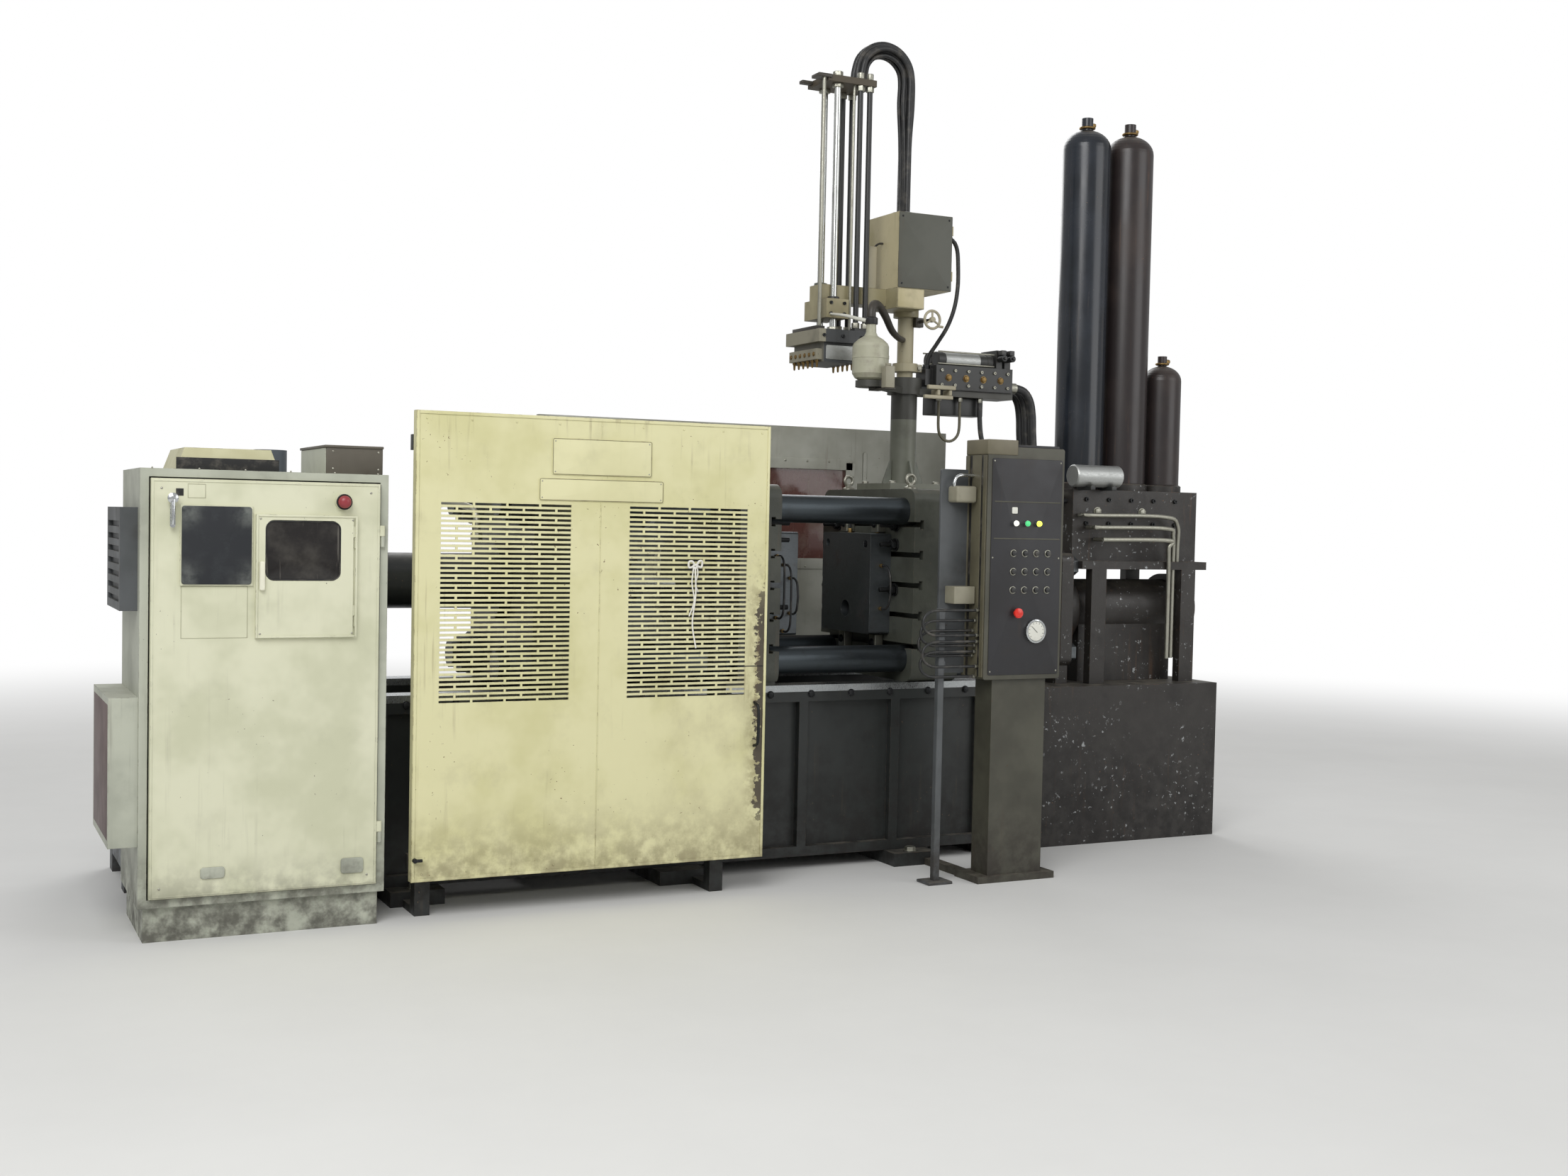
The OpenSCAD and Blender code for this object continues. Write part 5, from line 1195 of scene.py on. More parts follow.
@dataclass
class SafetyDoor:
    """The sliding guard in front of the toggle: blank plates, edge trim, latch and tie."""

    front: float = -0.78
    left: float = -2.397
    right: float = -0.907
    low: float = 0.15
    high: float = 1.95
    fold: float = -1.652
    tie_x: float = -1.245
    tie_z: float = 1.372

    def plates(self) -> None:
        """Two blank plates, each with a thin dark rim and a screw in every corner."""
        rows = (((-1.858, 1.722), (-1.438, 1.866)), ((-1.91, 1.62), (-1.386, 1.708)))
        for i, ((x0, z0), (x1, z1)) in enumerate(rows):
            name = f"plain_plate_{i + 1}"
            plate = block((x0, self.front - 0.004, z0), (x1, self.front - 0.0002, z1), 0.001, 1, 0.006)
            piece(name, plate, Finishes.plate_cream, "safety_door")
            middle = ((x0 + x1) / 2, self.front - 0.0042, (z0 + z1) / 2)
            path = rounded_path(middle, (x1 - x0) / 2 - 0.0025, (z1 - z0) / 2 - 0.0025, 0.006)
            piece(f"{name}_rim", closed_tube(path, 0.0011, 6), Finishes.plate_rim, "safety_door")
            screws = places([x0 + 0.012, x1 - 0.012], [self.front - 0.004], [z0 + 0.012, z1 - 0.012])
            piece(f"{name}_screws", bolts(screws, FRONT, 0.006, Head.PAN), Finishes.zinc, "safety_door")

    def seams(self) -> None:
        """The folded seam down the middle, the hemmed rim and the joint across the right strip."""
        left, right, y = self.left, self.right, self.front - 0.0001
        seam = block((self.fold - 0.002, self.front - 0.0016, self.low + 0.014),
                     (self.fold + 0.002, y, self.high - 0.014), 0.0007, 1)
        rim = block((left + 0.001, self.front - 0.003, self.low + 0.001),
                    (left + 0.013, y, self.high - 0.001), 0.0012, 1)
        rim += rim.at([(right - left - 0.014, 0.0, 0.0)])
        for z in (self.low + 0.001, self.high - 0.013):
            rim += block((left + 0.012, self.front - 0.003, z), (right - 0.012, y, z + 0.012), 0.0012, 1)
        piece("door_seams", seam + rim, Finishes.guard, "safety_door")
        joint = block((right - 0.135, self.front - 0.0014, 0.951), (right - 0.014, y, 0.955), 0.0006, 1)
        piece("door_strip_joint", joint, Finishes.seal, "safety_door")

    def fixings(self) -> None:
        """Small rivet heads along the rim, the pull handle and the latch pin at the lower left."""
        xs = np.linspace(self.left + 0.04, self.right - 0.04, 9)
        rivets = places(xs, [self.front - 0.0005], [self.low + 0.03, self.high - 0.03])
        piece("door_rivets", bolts(rivets, FRONT, 0.008, Head.PAN), Finishes.guard, "safety_door")
        pin = disc(0.009, 0.022, (self.left + 0.012, self.front + 0.001, 0.236), FRONT, 0.002, 20)
        pin += block((self.left + 0.004, self.front - 0.020, 0.230),
                     (self.left + 0.040, self.front - 0.012, 0.242), 0.002, 1)
        piece("door_latch_pin", pin, Finishes.black_screw, "safety_door")
        x, y = self.right - 0.05, self.front
        route = [(x, y + 0.001, 0.62), (x, y - 0.03, 0.63), (x, y - 0.04, 0.66),
                 (x, y - 0.04, 0.76), (x, y - 0.03, 0.79), (x, y + 0.001, 0.80)]
        pull = tube(smooth_path(route, 40), 0.006, 12)
        piece("door_pull_handle", pull, Finishes.black_screw, "safety_door")

    def tie(self) -> None:
        """The white tie through the right grille: two bows, a knot and three hanging strands."""
        x, y, z = self.tie_x, self.front, self.tie_z
        bow = smooth_path([(x, y - 0.012, z - 0.004), (x - 0.012, y - 0.014, z + 0.014),
                           (x - 0.026, y - 0.010, z + 0.012), (x - 0.024, y - 0.007, z - 0.010),
                           (x - 0.004, y - 0.010, z - 0.006)], 40)
        other = bow * np.array([-1.0, 1.0, 1.0]) + np.array([2 * x + 0.006, 0.0, 0.002])
        shape = tube(bow, 0.0042, 8) + tube(other, 0.0046, 8)
        shape += ring(0.007, 0.005, (x + 0.001, y - 0.012, z - 0.006), (0.3, 1.0, 0.2), 20)
        strands = ((0.001, 0.34, 0.012, 0.0034), (-0.006, 0.21, -0.014, 0.0028), (0.010, 0.11, 0.008, 0.0028))
        for aside, end, sway, radius in strands:
            route = [(x + aside, y - 0.012, z - 0.008), (x + aside + sway * 0.4, y - 0.011, z - end * 0.35),
                     (x + aside - sway * 0.5, y - 0.007, z - end * 0.7),
                     (x + aside + sway, y - 0.006, z - end)]
            shape += tube(smooth_path(route, 40), radius, 8)
        piece("knotted_tie", shape, Finishes.white_tie, "safety_door")

    def build(self) -> None:
        """Dresses the door, its rails and runners, and adds its pieces."""
        dress(["safety_door"], Finishes.torn_guard)
        dress(["door_rails", "door_runners"], Finishes.dark)
        self.plates()
        self.seams()
        self.fixings()
        self.tie()


@dataclass
class RearGuard:
    """The fixed guard behind the dies: its window's seal, clamp strip and screws, and its ribs."""

    face: float = 0.75
    mid_x: float = -0.135
    mid_z: float = 1.6
    half_w: float = 0.45
    half_h: float = 0.26
    strip: float = 0.012
    clamp: float = 0.016

    def strips(self, y0: float, y1: float, wide: float) -> Shape:
        """Four strips over the window's edges.

        Args:
            y0: where they start in Y.
            y1: where they end.
            wide: how much wider they are on both sides than the seal.
        Returns:
            The strips as one surface.
        """
        made = []
        for sx, sz in ((-1, 0), (1, 0), (0, -1), (0, 1)):
            x, z = self.mid_x + sx * self.half_w, self.mid_z + sz * self.half_h
            w = self.strip + (wide if sx else self.half_w)
            h = self.strip + (wide if sz else self.half_h)
            made.append(block((x - w, y0, z - h), (x + w, y1, z + h), 0.0015, 1))
        return gather(made)

    def window(self) -> None:
        """A rubber seal round the window and a screwed clamp strip on the machine side."""
        piece("rear_window_seal", self.strips(self.face + 0.006, self.face + 0.034, 0.0), Finishes.seal)
        piece("rear_window_strip", self.strips(self.face - 0.004, self.face, self.clamp), Finishes.rear_guard)
        y, w, h = self.face - 0.004, self.half_w, self.half_h
        rows = places(np.linspace(self.mid_x - w, self.mid_x + w, 8), [y],
                      [self.mid_z - h - 0.014, self.mid_z + h + 0.014])
        columns = places([self.mid_x - w - 0.014, self.mid_x + w + 0.014], [y],
                         np.linspace(self.mid_z - h + 0.06, self.mid_z + h - 0.06, 4))
        heads = bolts(np.vstack([rows, columns]), FRONT, 0.012, Head.PAN)
        piece("rear_window_screws", heads, Finishes.zinc)

    def ribs(self) -> None:
        """Pressed stiffening ribs on the sheet, on the machine side."""
        low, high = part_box("rear_guard")
        ribs = []
        for x in (low.x + 0.3, low.x + 0.62, high.x - 0.5, high.x - 0.2):
            ribs.append(block((x - 0.012, self.face - 0.006, 0.32), (x + 0.012, self.face, high.z - 0.12),
                              0.004, 1, 0.011))
        piece("rear_guard_ribs", gather(ribs), Finishes.rear_guard)

    def build(self) -> None:
        """Dresses the guard and its window."""
        dress(["rear_guard"], Finishes.rear_guard)
        dress(["rear_guard_window"], Finishes.red_glass)
        self.window()
        self.ribs()


@dataclass
class Cabinet:
    """The control cabinet: door fittings, flap, hood slot, roof boxes and side covers."""

    face: float = -0.80
    shell: float = -0.78
    lamp: tuple[float, float] = (-2.673, 1.595)
    latch_at: tuple[float, float] = (-3.275, 1.595)
    hem: Box = (-3.342, -2.538, 0.168, 1.66)
    covers: tuple[Box, ...] = ((-3.243, -3.012, 1.095, 1.283), (-3.222, -3.160, 1.597, 1.648))
    pad: Box = (-3.243, -3.001, 1.289, 1.569)
    inset: Box = (-3.262, -3.236, 1.604, 1.630)
    pulls: tuple[Box, ...] = ((-3.170, -3.084, 0.226, 0.268), (-2.668, -2.584, 0.210, 0.268))
    pane: Box = (-2.951, -2.685, 1.309, 1.518)

    def frames(self, name: str, boxes: Iterable[Box], wide: float, proud: float, finish: Finish) -> None:
        """Thin raised borders on the door's face.

        Args:
            name: the piece's name.
            boxes: the rectangle of each border.
            wide: how wide the strips are.
            proud: how far they stand out of the door's face.
            finish: their finish.
        """
        shape = gather(border(box, wide, self.face - proud, self.face + SUNK, min(0.0008, proud * 0.45))
                       for box in boxes)
        piece(name, shape, finish, "cabinet_door")

    def plate(self, box: Box, proud: float, soft: float, corner: float | None = None) -> Shape:
        """A flat piece on the door's face.

        Args:
            box: its outline.
            proud: how far it stands out.
            soft: the radius of its edges.
            corner: the radius of its corners, or None for the same.
        Returns:
            The surface.
        """
        x0, x1, z0, z1 = box
        return block((x0, self.face - proud, z0), (x1, self.face + SUNK, z1), soft, 1, corner)

    def door(self) -> None:
        """The door's hem, its pad, lamp, faint cover outlines, recessed pulls whose grey is painted shade,
        and the dark inset, which is painted shade of a small hole.
        """
        self.frames("cabinet_door_hem", [self.hem], 0.006, 0.002, Finishes.cabinet_door)
        x0, x1, z0, z1 = self.pad
        pad = block((x0, self.face - 0.0125, z0), (x1, self.face - 0.0078, z1), 0.002, 1, 0.01)
        piece("cabinet_pad", pad, Finishes.pad, "cabinet_door")
        x, z = self.lamp
        lamp = lathe([(0, 0), (0.0235, 0), (0.0235, 0.010), (0.019, 0.019), (0.010, 0.024), (0, 0.025)],
                     (x, self.face - 0.021, z), FRONT)
        piece("cabinet_lamp_cap", lamp, Finishes.lamp_dull, "cabinet_door")
        collar = ring(0.0265, 0.003, (x, self.face - 0.022, z), FRONT)
        piece("cabinet_lamp_collar", collar, Finishes.seal, "cabinet_door")
        self.frames("door_cover_outlines", self.covers, 0.0022, 0.0012, Finishes.cabinet_line)
        # This small black plate is painted shade of a hole in the door.
        piece("door_hole_shade_plate", self.plate(self.inset, 0.0014, 0.0006), Finishes.seal, "cabinet_door")
        # The pulls are recessed grips; their grey is painted shade of the recesses.
        pulls = gather(self.plate(box, 0.006, 0.0025, 0.012) for box in self.pulls)
        piece("door_lower_pulls_painted_shade", pulls, Finishes.cabinet_frame, "cabinet_door")
        heads = places([-3.31, -2.57], [self.face], [0.20, 1.63])
        piece("door_screws", bolts(heads, FRONT, 0.009, Head.PAN), Finishes.zinc, "cabinet_door")

    def flap(self) -> None:
        """The brown-black pane in the flap, its rubber seal, raised border, grip strip and screws."""
        low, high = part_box("window_flap")
        x0, x1, y, z0, z1 = float(low.x), float(high.x), float(low.y), float(low.z), float(high.z)
        left, right, foot, top = self.pane
        pane = block((left, y + 0.003, foot), (right, y + 0.007, top), 0.001, 1, 0.026)
        piece("flap_pane", pane, Finishes.smoked, "window_flap")
        path = rounded_path(((left + right) / 2, y + 0.002, (foot + top) / 2), 0.134, 0.1065, 0.028)
        piece("flap_seal", closed_tube(path, 0.0028, 8), Finishes.seal, "window_flap")
        rim = border((x0 + 0.001, x1 - 0.001, z0 + 0.001, z1 - 0.001), 0.007, y - 0.0035, y + SUNK, 0.0014)
        piece("flap_border", rim, Finishes.cabinet_door, "window_flap")
        grip = block((x0 + 0.012, y - 0.016, 1.268), (x0 + 0.031, y + SUNK, 1.374), 0.004, 1, 0.006)
        piece("flap_grip", grip, Finishes.cabinet_grip, "window_flap")
        screws = places([x0 + 0.016, x1 - 0.018], [y], [z0 + 0.016, z1 - 0.016])
        piece("flap_screws", bolts(screws, FRONT, 0.008, Head.PAN), Finishes.zinc, "window_flap")

    def latch(self) -> None:
        """The chromed latch lever: a turned hub with a tapering grip."""
        x, z = self.latch_at
        y = float(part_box("cabinet_latch")[0].y)
        hub = lathe([(0, 0), (0.019, 0), (0.019, 0.006), (0.012, 0.011), (0, 0.012)], (x, y, z), FRONT)
        path = smooth_path([(x, y - 0.004, 1.59), (x, y - 0.008, 1.56), (x, y - 0.009, 1.52),
                            (x, y - 0.006, 1.502)], 24)
        grip = tube(path, np.linspace(0.009, 0.006, len(path)), 12)
        piece("latch_lever", hub + grip, Finishes.chrome, "cabinet_latch")

    def roof(self) -> None:
        """The hood's black slot and the box on the roof with its side cover and screws."""
        low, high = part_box("cabinet_hood")
        slot = block((low.x + 0.001, low.y - 0.0016, low.z + 0.001),
                     (high.x - 0.001, low.y + 0.001, high.z - 0.036), 0.0007, 1)
        piece("hood_slot", slot, Finishes.seal)
        roof = float(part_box("control_cabinet")[1].z)
        shell = block((-2.7155, -0.70, roof + 0.0002), (-2.503, -0.24, roof + 0.104), 0.004)
        shell += block((-2.722, -0.705, roof + 0.098), (-2.501, -0.235, roof + 0.108), 0.003)
        piece("roof_box", shell, Finishes.grey_brown)
        side = block((-2.7185, -0.695, roof + 0.002), (-2.715, -0.245, roof + 0.097), 0.001, 0)
        piece("roof_box_side", side, Finishes.cabinet_frame)
        front = places([-2.69, -2.52], [-0.70], [roof + 0.02, roof + 0.085])
        piece("roof_box_screws", bolts(front, FRONT, 0.008, Head.PAN), Finishes.zinc)

    def shell_fittings(self) -> None:
        """The seal beside the door, the side box's cover with screws and the screws below the roof."""
        gap = block((-2.5345, self.shell - 0.0012, 0.165), (-2.5285, self.shell + 0.002, 1.663), 0.0006, 1)
        piece("door_gap_seal", gap, Finishes.seal)
        low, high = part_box("distribution_box")
        x = float(low.x)
        lid = block((x - 0.0005, low.y + 0.02, 0.375), (x + 0.004, high.y - 0.02, 0.86), 0.0015, 0)
        piece("distribution_lid", lid, Finishes.brown)
        heads = places([x + 0.003], [low.y + 0.035, high.y - 0.035], [0.39, 0.845])
        piece("distribution_screws", bolts(heads, LEFT, 0.008, Head.PAN), Finishes.zinc)
        heads = places(np.linspace(-3.34, -2.54, 6), [self.shell], [1.702])
        piece("cabinet_roof_screws", bolts(heads, FRONT, 0.007, Head.PAN), Finishes.zinc)

    def build(self) -> None:
        """Dresses the cabinet and adds its pieces."""
        dress(["control_cabinet", "distribution_box"], Finishes.cabinet_frame)
        dress(["cabinet_door", "window_flap"], Finishes.cabinet_door)
        dress(["cabinet_hood"], Finishes.hood)
        dress(["louvre_box"], Finishes.grey_box)
        dress(["cabinet_latch"], Finishes.chrome)
        self.door()
        self.flap()
        self.latch()
        self.roof()
        self.shell_fittings()


@dataclass
class PowerUnit:
    """The oil tank with its motor, valves and gauges."""

    tank_top: float = 0.72
    motor_y: float = 0.09
    motor_z: float = 0.96
    box_rise: float = 0.168
    coil_z: float = 1.49
    cover_proud: float = 0.008

    def motor(self) -> None:
        """The motor's fan cowl rings, terminal box with screws and end bolts."""
        low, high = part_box("pump_motor")
        x, y = low.x, self.motor_y
        cowl = [ring(r, 0.003, (x + 0.001, y, self.motor_z), LEFT) for r in (0.04, 0.075, 0.11, 0.145)]
        piece("motor_fan_grille", gather(cowl), Finishes.dark)
        z = self.motor_z + self.box_rise
        shape = block((x + 0.17, y - 0.07, z - 0.012), (x + 0.31, y + 0.07, z + 0.06), 0.006, 2, 0.012)
        shape += block((x + 0.166, y - 0.074, z + 0.06), (x + 0.314, y + 0.074, z + 0.072), 0.003, 2, 0.012)
        piece("motor_terminal_box", shape, Finishes.motor)
        heads = places([x + 0.178, x + 0.302], [y - 0.062, y + 0.062], [z + 0.072])
        piece("motor_box_screws", bolts(heads, UP, 0.009, Head.PAN), Finishes.zinc)
        ends = circle_of(8, 0.155, (high.x, y, self.motor_z), RIGHT)
        piece("motor_end_bolts", bolts(ends, RIGHT, 0.016), Finishes.zinc)

    def tank(self) -> None:
        """Cover plate with bolts, filler cap and sight glass of the oil tank."""
        low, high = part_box("oil_tank")
        face = low.x - self.cover_proud
        plate = block((face, 0.1, 0.2), (low.x + 0.001, 0.5, 0.6), 0.0015, 0, 0.02)
        piece("tank_cover_plate", plate, Finishes.tank)
        heads = places([face], [0.125, 0.3, 0.475], [0.225, 0.575])
        piece("tank_cover_bolts", bolts(heads, LEFT, 0.014), Finishes.zinc)
        profile = [(0, 0), (0.035, 0), (0.035, 0.02), (0.045, 0.022), (0.045, 0.06), (0.038, 0.068),
                   (0, 0.07)]
        filler = lathe(profile, (low.x + 0.15, high.y - 0.14, self.tank_top))
        piece("tank_filler", filler, Finishes.zinc)
        glass = block((high.x, high.y - 0.16, 0.42), (high.x + 0.008, high.y - 0.12, 0.62), 0.002, 0, 0.018)
        piece("tank_sight_glass", glass, Finishes.smoked)

    def valves(self) -> None:
        """Solenoid coils, a pressure gauge and bolts on the valve tower."""
        low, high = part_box("valve_tower")
        coils = []
        for i in range(3):
            x = low.x + 0.035 + 0.08 * i
            for y, way in ((low.y + 0.04, -1.0), (low.y + 0.24, 1.0)):
                coils += [disc(0.022, 0.06, (x, y, self.coil_z), (0, way, 0), 0.003),
                          disc(0.012, 0.075, (x, y, self.coil_z), (0, way, 0), 0.002, 12)]
        piece("solenoid_coils", gather(coils), Finishes.black_screw)
        profile = [(0, 0), (0.038, 0), (0.04, 0.004), (0.04, 0.026), (0.036, 0.03), (0.034, 0.026),
                   (0, 0.026)]
        gauge = lathe(profile, (low.x, low.y + 0.12, 1.3), LEFT)
        piece("tank_gauge", gauge, Finishes.chrome)
        heads = places([low.x], [low.y + 0.03, high.y - 0.03], [0.78, 1.05, 1.38])
        piece("valve_tower_bolts", bolts(heads, LEFT, 0.02, Head.SOCKET), Finishes.black_screw)

    def build(self) -> None:
        """Dresses the power unit and adds its pieces."""
        dress(["oil_tank", "valve_tower"], Finishes.tank)
        dress(["pump_motor"], Finishes.motor)
        self.motor()
        self.tank()
        self.valves()


@dataclass
class InjectionUnit:
    """The shot end: flange bolts, frame nuts, bottle valves, pipes and the small pale cylinder."""

    shot_z: float = 1.15
    top: float = 1.75
    nut_spread: tuple[float, float] = (0.1725, 0.215)
    manifold_face: float = -0.16
    bottle_places: tuple[tuple[str, float, float], ...] = (
        ("accumulator_left", 1.23, 0.122), ("accumulator_right", 1.5, 0.122),
        ("accumulator_short", 1.75, 0.1))

    def fasteners(self) -> None:
        """Bolts on the shot cylinder, nuts on the injection frame, screws and plugs on the manifold."""
        low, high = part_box("shot_cylinder")
        flange = bolts(circle_of(12, 0.172, (low.x, 0.0, self.shot_z), LEFT, 15.0), LEFT, 0.026, Head.SOCKET)
        end = bolts(circle_of(10, 0.145, (high.x, 0.0, self.shot_z), RIGHT), RIGHT, 0.026)
        piece("shot_cylinder_bolts", flange + end, Finishes.black_screw)
        across, up = self.nut_spread
        nut = disc(0.055, 0.04, ORIGIN, RIGHT, 0.004, 6)
        spots = places([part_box("injection_frame")[1].x], [-across, across],
                       [self.shot_z - up, self.shot_z + up])
        piece("injection_frame_nuts", nut.at(spots), Finishes.link)
        low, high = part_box("accumulator_manifold")
        rows = places(np.arange(low.x + 0.08, high.x - 0.05, 0.14), [self.manifold_face],
                      [self.top - 0.05, self.top - 0.17])
        piece("manifold_screws", bolts(rows, FRONT, 0.022, Head.SOCKET), Finishes.black_screw)
        rows = places(np.arange(low.x + 0.15, high.x - 0.1, 0.28), [self.manifold_face], [self.top - 0.11])
        piece("manifold_plugs", bolts(rows, FRONT, 0.034), Finishes.zinc)

    def bottles(self) -> None:
        """Neck rings, gas valves and foot rings of the three bottles."""
        for node, x, r in self.bottle_places:
            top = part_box(node)[1].z
            neck = r * 0.24
            valve = ring(neck + 0.006, 0.006, (x, 0.0, top - r * 0.4))
            valve += disc(0.012, 0.03, (x + neck * 0.6, 0.0, top - r * 0.25), RIGHT, 0.002, 6)
            piece(f"{node}_valve", valve, Finishes.brass)
            profile = [(r + 0.001, 0.0), (r + 0.012, 0.0), (r + 0.012, 0.03), (r + 0.004, 0.036),
                       (r + 0.001, 0.036), (r + 0.001, 0.0)]
            collar = lathe(profile, (x, 0.0, self.top + 0.001), UP, 48)
            piece(f"{node}_foot_ring", collar, Finishes.injection)

    def small_cylinder(self) -> None:
        """The pale cylinder that lies in front of the bottles, on its two brackets."""
        profile = [(0, 0), (0.05, 0), (0.055, 0.006), (0.055, 0.274), (0.05, 0.28), (0, 0.28)]
        piece("pilot_accumulator", lathe(profile, (1.05, -0.2, 1.815), RIGHT), Finishes.aluminium)
        bracket = block((1.12, -0.26, 1.745), (1.15, -0.14, 1.765), 0.003)
        bracket += block((1.25, -0.26, 1.745), (1.28, -0.14, 1.765), 0.003)
        piece("pilot_brackets", bracket, Finishes.dark)

    def pipes(self) -> None:
        """Bent pressure pipes along the manifold's operator side."""
        made = []
        for i, z in enumerate((1.62, 1.56, 1.5)):
            y, x0, x1 = -0.2 - 0.03 * i, 1.12 + 0.05 * i, 1.72 - 0.05 * i
            route = [(x0, -0.17, z), (x0, y - 0.02, z), (1.2, y - 0.03, z), (1.6, y - 0.03, z),
                     (x1 - 0.02, y - 0.02, z - 0.04), (x1, y, z - 0.2), (x1, y, 0.9)]
            made.append(tube(smooth_path(route, 80), 0.011, 12))
        piece("injection_pipes", gather(made), Finishes.zinc)

    def build(self) -> None:
        """Dresses the shot end and adds its pieces."""
        dress(["injection_base", "injection_frame", "shot_cylinder", "accumulator_manifold"],
              Finishes.injection)
        dress(["shot_sleeve"], Finishes.die)
        dress(["plunger_rod"], Finishes.ground)
        dress(["accumulator_left"], Finishes.bottle_blue)
        dress(["accumulator_right", "accumulator_short"], Finishes.bottle_brown)
        self.fasteners()
        self.bottles()
        self.small_cylinder()
        self.pipes()


@dataclass
class SprayUnit:
    """The die sprayer on its post: hoses, pipes, valves, nozzles, bottle and handwheel."""

    rod_x: float = -0.245
    pitch: float = 0.13
    top: float = 3.63
    head_low: float = 2.30
    head_high: float = 2.45
    shelf: float = 2.21
    stack_left: float = 0.32
    stack_right: float = 0.76
    bottle: tuple[float, float] = (-0.17, -0.30)
    arch: Flat = (
        (0.16, 3.0253), (0.16, 3.10), (0.16, 3.22), (0.16, 3.40), (0.16, 3.56), (0.16, 3.677), (0.143, 3.741),
        (0.096, 3.787), (0.032, 3.804), (-0.031, 3.787), (-0.078, 3.741), (-0.095, 3.677), (-0.095, 3.6503),
        (-0.095, 3.6303))
    arch_middle: Vec = (0.032, 0.0, 3.60)
    supply: Flat = (
        (0.7603, 2.24), (0.8003, 2.24), (0.85, 2.225), (0.885, 2.18), (0.90, 2.11), (0.905, 2.02),
        (0.915, 1.93), (0.94, 1.85), (0.98, 1.78), (1.025, 1.735), (1.0597, 1.72), (1.0877, 1.72))
    supply_y: tuple[float, ...] = (-0.052, 0.0, 0.052)
    wheel_at: Vec = (0.235, -0.17, 2.53)
    guide_top: float = 2.60
    cylinder_y: tuple[float, float] = (-0.038, 0.038)
    sump_y: float = -0.052
    union_x: tuple[float, ...] = (0.355, 0.475, 0.590)

    def arch_hoses(self) -> None:
        """The bundle of hoses that arches from the valve box to the top plate."""
        base = np.array([(x, 0.0, z) for x, z in self.arch])
        rows = (("main", 0.036, 0.0, 0.0), ("left", 0.03, -0.034, 0.004), ("right", 0.03, 0.034, 0.006),
                ("outer_left", 0.03, -0.018, 0.024), ("outer_right", 0.028, 0.018, 0.024),
                ("inner_left", 0.02, -0.02, -0.026), ("inner_right", 0.02, 0.02, -0.026))
        away = base - np.array(self.arch_middle)
        away /= np.linalg.norm(away, axis=1)[:, None]
        for i, (name, diameter, aside, out) in enumerate(rows):
            points = base + np.array([0.0, aside, 0.0]) + away * np.array([1.0, 0.0, 0.0]) * out
            points[:, 2] += away[:, 2].clip(0.0) * out
            path = smooth_path([tuple(p) for p in points], 70)
            made = piece(f"arch_hose_{name}", tube(path, diameter / 2, 14), Finishes.hose, "")
            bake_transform(made)
            if i == 0:
                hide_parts("hose_arch")

    def supply_hoses(self) -> None:
        """Three thick hoses from the valve stack down to the manifold below the gas bottles."""
        for i, y in enumerate(self.supply_y):
            made = hose(f"supply_hose_{i + 1}", [(x, y, z) for x, z in self.supply], 0.042, Finishes.hose,
                        stiffness="stiff")
            if i == 0:
                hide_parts("supply_hoses")
        profile = [(0.0, 0.0), (0.0255, 0.0), (0.0255, 0.034), (0.0225, 0.036), (0.0, 0.036)]
        ferrules = []
        for y in self.supply_y:
            ferrules += [lathe(profile, (self.stack_right + 0.0005, y, 2.24), RIGHT, 28),
                         lathe(profile, (1.0875, y, 1.72), LEFT, 28)]
        piece("supply_hose_ferrules", gather(ferrules), Finishes.zinc)

    def lift(self) -> None:
        """Thin pipes beside the lift rods, rod nuts, pipe unions and the bars on the top plate."""
        low, top = self.head_high, self.top
        pipes = [rod((-0.165, y, low - 0.002), (-0.165, y, top - 0.028), 0.007, 14) for y in (-0.08, 0.08)]
        pipes.append(rod((-0.335, -0.10, low - 0.002), (-0.335, -0.10, top - 0.016), 0.009, 14))
        piece("lift_pipes", gather(pipes), Finishes.zinc, "spray_carriage")
        nuts = []
        for y in (-self.pitch / 2, self.pitch / 2):
            for radius, height, z in ((0.027, 0.022, low), (0.027, 0.018, top - 0.048), (0.024, 0.026, top)):
                nuts.append(disc(radius, height, (self.rod_x, y, z), UP, 0.002, 6))
        piece("lift_rod_nuts", gather(nuts), Finishes.zinc, "spray_carriage")
        unions = []
        for x, y, _ in places([-0.135, -0.085], [-0.086, 0.086], [0.0]):
            unions += [disc(0.019, 0.026, (x, y, 2.47), UP, 0.002, 6),
                       disc(0.019, 0.026, (x, y, top - 0.056), UP, 0.002, 6),
                       disc(0.016, 0.03, (x, y, top), UP, 0.003, 16)]
        piece("hose_pipe_unions", gather(unions), Finishes.zinc, "spray_carriage")
        bar = block((-0.372, -0.116, self.top - 0.018), (-0.30, -0.04, self.top - 0.002), 0.003)
        bar += block((-0.372, 0.05, self.top - 0.018), (-0.30, 0.085, self.top - 0.002), 0.003)
        piece("top_plate_bars", bar, Finishes.spray_dark, "spray_carriage")

